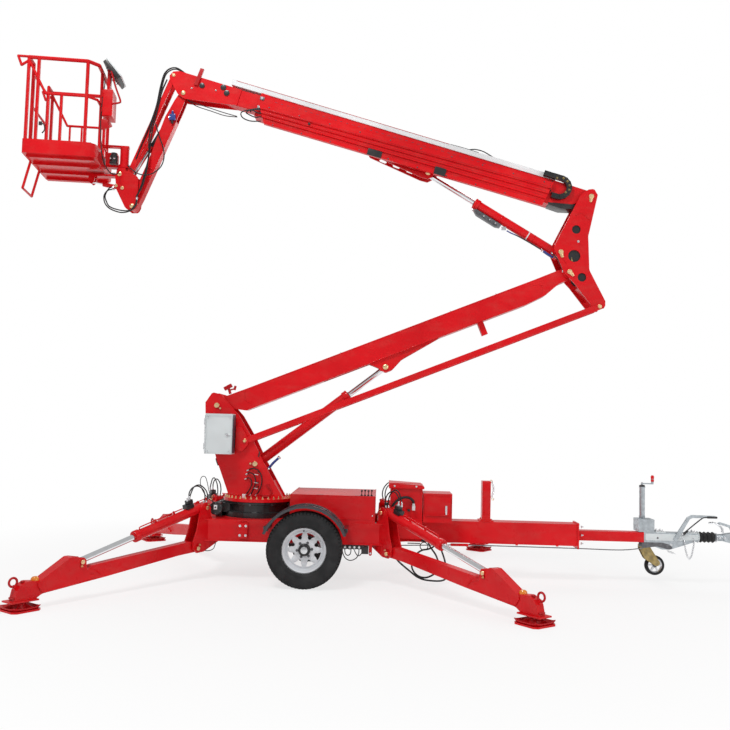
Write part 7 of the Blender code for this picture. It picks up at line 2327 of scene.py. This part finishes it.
class UpperBoomDress(Dress):
    """Upper boom's seams, tray trim, guard screws, carrier links, blocks, belly plate and pins."""

    GUARD = ((0.400, 0.032), (3.530, -0.060), (3.420, -0.246), (0.450, -0.232))

    def guard(self, share: float, down: float) -> tuple[float, float]:
        """Gives a place on the hose guard.

        Args:
            share: share of the guard's length.
            down: share of its height, from the top.

        Returns:
            The place's s and t on the boom's line.
        """
        top = [a + (b - a) * share for a, b in zip(self.GUARD[0], self.GUARD[1])]
        low = [a + (b - a) * share for a, b in zip(self.GUARD[3], self.GUARD[2])]
        return tuple(a + (b - a) * down for a, b in zip(top, low))

    def build(self) -> None:
        """Builds the dress of the upper boom."""
        self.pins("upper_eye", [((1.0966, 4.108), 0.0795, 0.0230, None)], "upper_boom")
        self.seams()
        self.guard_trims()
        self.tray()
        self.carrier()
        self.fittings()

    def seams(self) -> None:
        """Seams, top edge lines and the row of spot welds on both sides."""
        beads, line, spots = [], Shape(), []
        for side in (-1, 1):
            y = side * 0.0883
            beads.append([UPPER.at(0.45, 0.060, y), UPPER.at(3.45, 0.060, y)])
            UPPER.block(line, (0.50, 3.46), (0.0635, 0.0672), sorted((side * 0.0878, side * 0.0888)),
                        0.0003)
        beads.append([UPPER.at(0.45, -0.174, 0.0883), UPPER.at(3.45, -0.174, 0.0883)])
        self.welds("upper_seams", beads, RED, "upper_boom", 0.003)
        line.done("upper_edge_lines", BLACK, "upper_boom")
        dash = Shape().box((-0.014, 0.014), (-0.0015, 0.0015), (-0.0004, 0.0008), 0.0003)
        for k in range(44):
            s = 0.62 + 0.064 * k
            spots.append((UPPER.at(s, 0.036 - 0.006 * s, -0.0881), (0, -1, 0)))
        self.patterns.scattered("upper_spot_welds", dash, spots, [(-0.962, 0, 0.273)] * len(spots),
                                SHADE_AND_WELD_BLUE, "upper_boom", HERE, 40.0)

    def guard_trims(self) -> None:
        """Screws, long grooves and the knob of the hose guard."""
        screws = []
        for k in range(10):
            for down in (0.07, 0.93):
                s, t = self.guard(0.03 + 0.104 * k, down)
                screws.append((UPPER.at(s, t, -0.1322), (0, -1, 0)))
        self.patterns.bolts("guard_screws", screws, 0.008, "upper_boom", DARK_STEEL, thread=0.0)
        ribs, knob = Shape(), Shape()
        for down in (0.20, 0.40, 0.60, 0.80):
            a, b = self.guard(0.012, down), self.guard(0.988, down)
            ribs.prism([UPPER.flat(a[0], a[1] - 0.003), UPPER.flat(b[0], b[1] - 0.003),
                        UPPER.flat(b[0], b[1] + 0.003), UPPER.flat(a[0], a[1] + 0.003)], -0.1332, -0.1285,
                       0.001)
        ribs.done("guard_ribs", DEEP_RED, "upper_boom")
        knob.lathe([(0, 0), (0.012, 0), (0.013, 0.006), (0.010, 0.012), (0, 0.013)],
                   UPPER.at(*self.guard(0.83, 0.35), -0.1325), (0, -1, 0), 24)
        knob.done("guard_knob", BLACK, "upper_boom")

    def tray(self) -> None:
        """Red edge line, rungs and cables of the white tray."""
        edge, rungs = Shape(), Shape()
        for side in (-1, 1):
            UPPER.block(edge, (1.53, 3.84), (0.1185, 0.1232), sorted((side * 0.0783, side * 0.0797)),
                        0.0003)
        edge.done("tray_edge_lines", DEEP_RED, "upper_boom")
        stray = Shape()
        stray.bent([UPPER.at(1.52, 0.122, -0.074), UPPER.at(1.38, 0.126, -0.074),
                    UPPER.at(1.22, 0.124, -0.074)], 0.005, 8)
        stray.bent([UPPER.at(1.33, 0.126, -0.060), UPPER.at(1.27, 0.150, -0.060),
                    UPPER.at(1.19, 0.156, -0.060), UPPER.at(1.12, 0.142, -0.060),
                    UPPER.at(1.06, 0.124, -0.060)], 0.006, 8)
        stray.done("tray_cable_ends", BLACK, "upper_boom")
        for k in range(17):
            s = 0.50 + 0.205 * k
            UPPER.block(rungs, (s - 0.008, s + 0.008), (0.1185, 0.1235), (-0.070, 0.070), 0.0005)
        rungs.done("tray_rungs", TRAY_WHITE, "upper_boom")
        for k, y in enumerate((-0.040, -0.012, 0.016, 0.044)):
            line = [UPPER.at(0.44 + 0.19 * n, 0.100 + 0.0015 * ((n * 3 + k) % 4),
                             y + 0.004 * math.sin(0.7 * n + k)) for n in range(18)]
            Shape().tube(smooth_path(line, 0.03), 0.0075 - 0.0012 * (k % 2),
                         8).done(f"tray_hose_{k}", HOSE, "upper_boom")

    def carrier(self) -> None:
        """Links and rivets of the energy chain that turns at the root."""
        x, z = UPPER.flat(0.330, 0.004)
        link = Shape().box((x - 0.0060, x + 0.0060), (-0.1335, -0.0865), (z + 0.0950, z + 0.1002), 0.0015)
        self.patterns.ringed("carrier_ribs", link, 26, (x, -0.110, z), (0, 1, 0), GUARD_BLACK, "upper_boom")
        rivets = []
        for px, pz in ((2.398, 4.080), (2.474, 4.069), (2.540, 4.053), (2.584, 3.997), (2.557, 3.932),
                       (2.493, 3.914)):
            away = Vector((px - x, 0, pz - z))
            away = away.normalized() * min(away.length, 0.098)
            rivets.append(((x + away.x, -0.1321, z + away.z), (0, -1, 0)))
        self.patterns.bolts("carrier_rivets", rivets, 0.013, "upper_boom", OLD_BRASS, thread=0.0)

    def fittings(self) -> None:
        """Black blocks under the boom, and a black plate under its root."""
        blocks, belly = Shape(), Shape()
        for s0, s1, t0, t1 in ((1.480, 1.600, -0.235, -0.158), (2.160, 2.310, -0.246, -0.178)):
            UPPER.block(blocks, (s0, s1), (t0, t1), (-0.1410, -0.1315), 0.003)
        blocks.done("boom_blocks", BLACK, "upper_boom")
        belly.prism([(2.318, 3.822), (2.330, 3.796), (2.455, 3.757), (2.600, 3.752), (2.628, 3.800)],
                    -0.0895, 0.0895, 0.004)
        belly.done("root_belly", BLACK, "upper_boom")


class CylinderDress(Dress):
    """Fittings of the upper and jib cylinders."""

    @staticmethod
    def around(centre: tuple[float, float], half: float, depth: float) -> tuple[Place, Place, Place]:
        """Gives the three ranges of a box around a place on the middle plane."""
        return ((centre[0] - half, centre[0] + half), (-depth, depth),
                (centre[1] - half * 0.7, centre[1] + half * 0.7))

    def build(self) -> None:
        """Builds the fittings of the cylinders."""
        Ram("upper", (2.449, 3.298), (1.0966, 4.108), 0.047, 1.010, 0.026).build()
        Ram("jib", (-1.463, 4.899), (-2.057, 3.884), 0.030, 0.700, 0.016, False).build()
        manifold, fitting, steel, pipe = Shape(), Shape(), Shape(), Shape()
        upper = Axis((2.449, 3.298), math.degrees(math.atan2(0.810, -1.3524)), -1)
        line = (-0.858, 0, 0.514)
        manifold.prism([upper.flat(s, t) for s, t in ((0.655, -0.049), (0.962, -0.049), (0.974, -0.072),
                                                      (0.930, -0.098), (0.700, -0.100), (0.655, -0.082))],
                       -0.034, 0.034, 0.004)
        for s in (0.715, 0.785, 0.855):
            manifold.rod(upper.at(s, -0.074, -0.032), upper.at(s, -0.074, -0.048), 0.011, 20, 0.002)
            steel.hexagon(upper.at(s, -0.074, -0.048), (0, -1, 0), 0.016, 0.007)
        manifold.done("holding_valve", DARK_STEEL, "upper_barrel")
        steel.hexagon(upper.at(0.968, -0.066, 0.0), line, 0.024, 0.026)
        steel.box(*self.around(upper.flat(0.615, -0.068), 0.026, 0.018), 0.003)
        steel.hexagon(upper.at(0.160, -0.060, -0.040), line, 0.024, 0.016)
        steel.hexagon(upper.at(0.026, -0.062, -0.040), (0.858, 0, -0.514), 0.024, 0.014)
        steel.done("holding_valve_nuts", CHROME, "upper_barrel")
        band = Shape().lathe([(0.0475, 0), (0.0492, 0.001), (0.0492, 0.011), (0.0475, 0.012)],
                             upper.at(0.360, 0, 0), line, 36)
        band.done("cylinder_band", TRAY_WHITE, "upper_barrel")
        fitting.bent([upper.at(0.576, -0.070, -0.010), upper.at(0.525, -0.068, -0.012),
                      upper.at(0.477, -0.061, -0.014)], 0.0065, 12, 0.008)
        fitting.bent([upper.at(0.030, -0.062, -0.040), upper.at(0.085, -0.064, -0.040),
                      upper.at(0.150, -0.060, -0.040)], 0.0130, 14, 0.008)
        fitting.done("cylinder_fittings", FITTING_BLUE, "upper_barrel")
        pipe.bent([upper.at(0.160, -0.054, -0.026), upper.at(0.300, -0.054, -0.022),
                   upper.at(0.400, -0.056, -0.018), upper.at(0.480, -0.061, -0.014)], 0.0062, 10, 0.02)
        pipe.done("cylinder_return_pipe", BLACK, "upper_barrel")
        Hose("riser_hose", "riser",
             [(2.372, -0.056, 3.304), (2.392, -0.082, 3.276), (2.428, -0.102, 3.225), (2.466, -0.110, 3.152),
              (2.478, -0.110, 3.100)], 0.012).make()


class FlyDress(Dress):
    """Mouth pads, head pins, post and the hoses at the head of the fly boom."""

    def build(self) -> None:
        """Builds the dress of the fly boom."""
        self.pins("fly_head", [((-1.463, 4.899), 0.0775, 0.0185, None),
                               ((-1.571, 5.087), 0.0775, 0.0150, None)], "fly_boom")
        line, beads, pads, bolts = Shape(), [], Shape(), []
        for side in (-1, 1):
            UPPER.block(line, (3.62, 4.00), (0.0425, 0.0465), sorted((side * 0.0678, side * 0.0688)),
                        0.0003)
            beads.append([UPPER.at(3.60, -0.122, side * 0.0683), UPPER.at(4.00, -0.122, side * 0.0683)])
            for t in (-0.085, 0.015):
                UPPER.block(pads, (3.500, 3.546), (t - 0.018, t + 0.018),
                            sorted((side * 0.0878, side * 0.0935)), 0.002)
                bolts.append((UPPER.at(3.523, t, side * 0.0935), (0, side, 0)))
        line.done("fly_edge_lines", BLACK, "fly_boom")
        self.welds("fly_seams", beads, RED, "fly_boom", 0.003)
        pads.done("mouth_pads", DARK_STEEL, "upper_boom")
        self.patterns.bolts("mouth_pad_bolts", bolts, 0.012, "upper_boom", BRIGHT_ZINC)
        self.head()

    def head(self) -> None:
        """Post, rollers and hoses of the fly boom's head."""
        post, rollers = Shape(), Shape()
        post.prism([(-1.352, 4.985), (-1.312, 4.975), (-1.252, 5.150), (-1.290, 5.160)], -0.0960, -0.0695,
                   0.003)
        post.prism([(-1.392, 4.960), (-1.290, 4.934), (-1.283, 4.962), (-1.385, 4.990)], -0.0740, -0.0685,
                   0.001)
        post.done("hose_post", DEEP_RED, "fly_boom")
        for x, z, r in ((-1.270, 4.980, 0.028), (-1.046, 4.965, 0.030), (-1.010, 4.905, 0.030)):
            rollers.lathe([(0, 0), (r * 0.5, 0), (r, 0.003), (r, 0.016), (r * 0.6, 0.019), (0, 0.019)],
                          (x, -0.0675, z), (0, -1, 0), 28)
        rollers.done("hose_rollers", BLACK, "fly_boom")
        self.patterns.bolts("head_bolts", [((-1.376, -0.0682, 4.951), (0, -1, 0)),
                                           ((-1.124, -0.0682, 4.932), (0, -1, 0))], 0.016, "fly_boom",
                            BRIGHT_ZINC)
        for k, (y, lift) in enumerate(((-0.030, 0.0), (-0.006, 0.010), (0.018, 0.004))):
            Hose(f"jib_hose_{k}", "fly_boom",
                 [(-1.330, y, 5.030 + lift), (-1.450, y - 0.020, 5.110 + lift),
                  (-1.560, y - 0.050, 5.165 + lift), (-1.655, y - 0.062, 5.110 + lift),
                  (-1.700, y - 0.060, 4.960), (-1.735, y - 0.055, 4.760), (-1.795, y - 0.050, 4.560),
                  (-1.870, y - 0.045, 4.360), (-1.930, y - 0.040, 4.190)], 0.013,
                 across=("fly_boom", "jib")).make()
        for k, drop in enumerate((0.0, 0.022)):
            Hose(f"fly_cable_{k}", "fly_boom",
                 [(-1.420, -0.052 + 0.02 * k, 4.835), (-1.330, -0.050 + 0.02 * k, 4.800 - drop),
                  (-1.180, -0.048 + 0.02 * k, 4.752 - drop), (-1.030, -0.046 + 0.02 * k, 4.706 - drop),
                  (-0.900, -0.044 + 0.02 * k, 4.672)], 0.009, ferrules=False).make()
        for k, (low, far) in enumerate(((4.600, -0.840), (4.640, -0.790), (4.680, -0.745))):
            Hose(f"guard_hose_{k}", "upper_boom",
                 [(-0.560, -0.112, 4.690 + 0.012 * k), (-0.640, -0.114, 4.715 + 0.010 * k),
                  (-0.740, -0.118, 4.720), (far, -0.120, 4.690), (far + 0.010, -0.120, low + 0.035),
                  (far + 0.090, -0.118, low), (-0.640, -0.114, low + 0.010 * k)], 0.012,
                 ferrules=False).make()


class JibDress(Dress):
    """Pins, seams, valve and hoses of the jib and its foot."""

    def build(self) -> None:
        """Builds the dress of the jib."""
        self.pins("jib_foot", [((-1.949, 3.696), 0.0775, 0.0185, None),
                               ((-2.057, 3.884), 0.0775, 0.0150, None),
                               ((-2.092, 4.030), 0.0775, 0.0185, None),
                               ((-2.122, 3.906), 0.0775, 0.0135, None)], "jib_bracket")
        beads = []
        for side in (-1, 1):
            y = side * 0.0605
            beads.append([JIB.at(0.86, -0.030, y), JIB.at(0.86, 0.000, y), JIB.at(0.86, 0.030, y)])
        self.welds("jib_seams", beads, RED, "jib", 0.003)
        valve, cap, steel = Shape(), Shape(), Shape()
        valve.box((-1.600, -1.535), (-0.0845, -0.0605), (4.610, 4.672), 0.004)
        valve.rod((-1.5675, -0.072, 4.672), (-1.5675, -0.072, 4.704), 0.013, 24, 0.003)
        valve.done("jib_valve", FITTING_BLUE, "jib")
        cap.rod((-1.5675, -0.072, 4.575), (-1.5675, -0.072, 4.612), 0.012, 24, 0.003)
        cap.done("jib_valve_cap", BLACK, "jib")
        steel.hexagon((-1.600, -0.072, 4.640), (-1, 0, 0), 0.018, 0.010)
        steel.hexagon((-1.5675, -0.072, 4.704), (0, 0, 1), 0.018, 0.008)
        steel.done("jib_valve_nuts", BRIGHT_ZINC, "jib")
        for k, (y, bow) in enumerate(((-0.072, 0.0), (-0.086, 0.016))):
            Hose(f"jib_side_hose_{k}", "jib",
                 [(-1.640, y, 5.040 - bow), (-1.690, y, 4.900), (-1.722 - bow, y, 4.740),
                  (-1.760 - bow, y - 0.006, 4.560), (-1.778 - bow, y - 0.012, 4.400),
                  (-1.790, y - 0.014, 4.230), (-1.822 + bow, y - 0.014, 4.060),
                  (-1.862 + bow, y - 0.010, 3.900), (-1.905, y - 0.006, 3.790)], 0.015,
                 ferrules=False).make()
        Hose("jib_loop_hose", "jib",
             [(-1.735, -0.090, 4.560), (-1.690, -0.098, 4.430), (-1.650, -0.104, 4.330),
              (-1.628, -0.106, 4.220), (-1.650, -0.106, 4.120), (-1.715, -0.104, 4.050),
              (-1.800, -0.100, 4.018), (-1.890, -0.096, 4.030), (-1.960, -0.090, 4.075),
              (-2.010, -0.084, 4.120)], 0.012, ferrules=False).make()
        for k, (y, rise) in enumerate(((-0.080, 0.0), (-0.098, 0.018))):
            Hose(f"foot_hose_{k}", "jib_bracket",
                 [(-2.140, y, 3.866 + rise), (-2.200 + rise, y - 0.008, 3.852 + rise),
                  (-2.236 + rise, y - 0.014, 3.795), (-2.222 + rise, y - 0.018, 3.715 + rise),
                  (-2.162, y - 0.018, 3.655 + rise), (-2.050, y - 0.014, 3.622 + rise),
                  (-1.955, y - 0.010, 3.645), (-1.905, y - 0.006, 3.705), (-1.896, y - 0.002, 3.780)],
                 0.013).make()


class BasketDress(Dress):
    """Platform's floor, ribs, motor, control panel, cable, latch and rail brackets."""

    def build(self) -> None:
        """Builds the dress of the basket in its own turned frame."""
        turn = (Matrix.Translation((-2.070, 0, 0)) @ Matrix.Rotation(math.radians(8.0), 4, "Z")
                @ Matrix.Translation((2.070, 0, 0)))
        self.floor(turn)
        self.panel(turn)
        self.rotator()

    def floor(self, turn: Matrix) -> None:
        """Tread bumps on the floor, lips and bolts of its edge, and the gate's latch.

        Args:
            turn: matrix of the basket's own turned frame.
        """
        x0, x1, half, z = -2.970, -2.268, 0.470, 4.072
        bump = Shape().box((-0.011, 0.011), (-0.0028, 0.0028), (0.0, 0.0014), 0.0006)
        spots, sides = [], []
        for i in range(20):
            for k in range(27):
                spots.append(((x0 + 0.050 + 0.0315 * i, -half + 0.055 + 0.0315 * k, z + 0.0062), (0, 0, 1)))
                sides.append((0.7071, 0.7071 if (i + k) % 2 else -0.7071, 0))
        self.patterns.scattered("floor_tread", bump, spots, sides, BLACK, "basket", turn, 40.0)
        lips = Shape()
        for y in (-half - 0.001, half + 0.001):
            lips.rod((x0 + 0.02, y, z + 0.141), (x1 - 0.05, y, z + 0.141), 0.0035, 10)
        lips.done("tray_lips", BLACK, "basket", turn)
        spots = [((x0 + 0.08 + 0.17 * k, side * (half + 0.0005), z + 0.105), (0, side, 0)) for k in range(4)
                 for side in (-1, 1)]
        self.patterns.bolts("rail_feet_bolts", spots, 0.012, "basket", BRIGHT_ZINC, turn)
        latch = Shape()
        latch.bent([(-2.800, -0.484, 4.375), (-2.770, -0.490, 4.360), (-2.762, -0.490, 4.310),
                    (-2.785, -0.488, 4.275)], 0.006, 12, 0.008)
        latch.box((-2.822, -2.790), (-0.488, -0.474), (4.355, 4.392), 0.003)
        latch.done("gate_latch", BLACK, "basket", turn)

    def panel(self, turn: Matrix) -> None:
        """Switches, stop button and guard loop of the upper control panel, and its cable.

        Args:
            turn: matrix of the basket's own turned frame.
        """
        box, console, screen, rim, knobs = Shape(), Shape(), Shape(), Shape(), Shape()
        box.box((-2.262, -2.163), (-0.300, -0.080), (4.560, 4.830), 0.006, turn)
        box.box((-2.268, -2.262), (-0.292, -0.088), (4.568, 4.822), 0.002, turn)
        box.box((-2.238, -2.208), (-0.232, -0.148), (4.820, 5.080), 0.003, turn)
        for z in (4.620, 4.770):
            box.rod(turn @ Vector((-2.262, -0.302, z - 0.022)), turn @ Vector((-2.262, -0.302, z + 0.022)),
                    0.0055, 12)
        box.done("platform_box_shell", RED, "basket", HERE, stands_for=("platform_box",))
        high, low, edge, back = (-2.242, 5.130), (-2.092, 4.956), (-2.118, 4.930), (-2.270, 5.104)
        console.prism([high, low, edge, back], -0.330, -0.050, 0.005, turn)
        console.done("console_shell", BLACK, "basket")
        dx, dz = edge[0] - back[0], edge[1] - back[1]
        away = Vector((dz, 0, -dx)).normalized()
        lid = [(high[0] + 0.003, high[1] + 0.003), (low[0] + 0.003, low[1] + 0.003),
               (low[0] + 0.013, low[1] + 0.012), (high[0] + 0.013, high[1] + 0.012)]
        rim.prism(lid, -0.336, -0.044, 0.002, turn)
        rim.done("console_lid", BOX_GREY, "basket")
        foot = Vector((back[0], 0, back[1]))
        along = Vector((dx, 0, dz))
        for row in range(3):
            for k in range(4):
                spot = foot + along * (0.25 + 0.25 * row) + Vector((0, -0.280 + 0.060 * k, 0))
                knobs.lathe([(0, 0), (0.011, 0), (0.011, 0.003), (0.006, 0.005), (0.005, 0.016), (0, 0.018)],
                            turn @ spot, away, 18)
        knobs.done("console_switches", DARK_STEEL, "basket")
        stop = foot + along * 0.5 + Vector((0, -0.078, 0))
        screen.lathe([(0, 0), (0.012, 0), (0.012, 0.008), (0.018, 0.012), (0.018, 0.020), (0.012, 0.024),
                      (0, 0.024)], turn @ stop, away, 28)
        screen.done("console_stop_button", DEEP_RED, "basket")
        loop = Shape().bent([(-2.184, -0.322, 5.010), (-2.135, -0.322, 4.850), (-2.083, -0.322, 4.712),
                             (-2.100, -0.318, 4.690), (-2.172, -0.294, 4.682)], 0.0095, 12, 0.012)
        loop.done("panel_guard_loop", DEEP_RED, "basket", turn)
        bracket = Shape().prism([(-2.262, 4.520), (-2.206, 4.508), (-2.180, 4.430), (-2.262, 4.405)], -0.306,
                                -0.298, 0.001, turn)
        bracket.done("cable_bracket", DEEP_RED, "basket")
        Hose("panel_cable", "basket",
             [(-2.262, -0.250, 4.960), (-2.252, -0.275, 4.880), (-2.262, -0.292, 4.760),
              (-2.272, -0.296, 4.520), (-2.262, -0.294, 4.300), (-2.240, -0.285, 4.130),
              (-2.200, -0.262, 4.030), (-2.150, -0.215, 3.985), (-2.110, -0.150, 4.010),
              (-2.100, -0.105, 4.050)], 0.011, turn, ferrules=False).make()

    def rotator(self) -> None:
        """Rotation motor, its pipes, column ring and arm trims."""
        motor, silver, ring = Shape(), Shape(), Shape()
        motor.lathe([(0, 0), (0.036, 0), (0.040, 0.004), (0.040, 0.070), (0.030, 0.078), (0.030, 0.100),
                     (0.018, 0.104), (0, 0.104)], (-2.150, -0.098, 4.140), (0, 0, 1), 32)
        motor.box((-2.186, -2.114), (-0.134, -0.064), (4.120, 4.142), 0.004)
        motor.done("rotation_motor", BLACK, "rotator")
        for x in (-2.170, -2.132):
            silver.hexagon((x, -0.139, 4.170), (0, -1, 0), 0.017, 0.012)
            silver.rod((x, -0.148, 4.170), (x, -0.160, 4.166), 0.005, 12)
        silver.box((-2.260, -2.143), (-0.0475, -0.0455), (4.036, 4.050), 0.001)
        silver.done("rotation_motor_ports", BRIGHT_ZINC, "rotator")
        ring.lathe([(0.0465, 0), (0.056, 0), (0.056, 0.008), (0.0465, 0.010)], (-2.070, 0, 4.106), (0, 0, 1),
                   40)
        ring.done("column_ring", DARK_STEEL, "rotator")


class Lift:
    """The whole machine: dresses the solids and adds the detailed sub-assemblies."""

    PAINTED = {"red_paint": RED, "black_paint": BLACK, "zinc": GALVANISED, "chrome": CHROME, "rubber": BOOT,
               "tyre": TYRE, "rim_paint": WHEEL_PAINT, "box_paint": BOX_GREY, "white_tray": TRAY_WHITE,
               "brass": OLD_BRASS}
    SPECIAL = {"fender_right": FENDER_BLACK, "fender_left": FENDER_BLACK, "cable_carrier": GUARD_BLACK,
               "jack_stem": OLD_BRASS, "axle": BLACK}

    def __init__(self, frame: dict) -> None:
        """Keeps the frame and makes the patterns.
        """
        self.frame = frame
        self.patterns = Patterns()

    def paint_solids(self) -> None:
        """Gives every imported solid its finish."""
        for name, node in self.frame["nodes"].items():
            slots = [m.name.split(".")[0] for m in node.data.materials if m]
            finish = self.SPECIAL.get(name) or self.PAINTED[slots[0]]
            for slot in node.material_slots:
                slot.link = "OBJECT"
                slot.material = finish.material()

    def build(self) -> None:
        """Builds every sub-assembly in order."""
        self.paint_solids()
        for side in Side:
            RoadWheel(side, self.patterns).build()
            Fender(side, self.patterns).build()
        for name, x, side, bearing in (("rear_right", -1.090, -1, 234.5), ("rear_left", -1.090, 1, 125.5),
                                       ("front_right", 0.820, -1, -52.0), ("front_left", 0.820, 1, 52.0)):
            Outrigger(name, x, side, bearing, self.patterns).build()
        for dress in (ChassisDress, SlewDress, BoxesDress, DrawbarDress, CouplingDress, TurretDress,
                      LowerBoomDress, RiserDress, UpperBoomDress, CylinderDress, FlyDress, JibDress,
                      BasketDress):
            dress(self.patterns).build()


def main() -> None:
    """Builds the studio and the lift."""
    logging.basicConfig(level=logging.INFO, format="%(message)s")
    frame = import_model()
    Studio().build()
    Lift(frame).build()


if __name__ == "__main__":
    main()
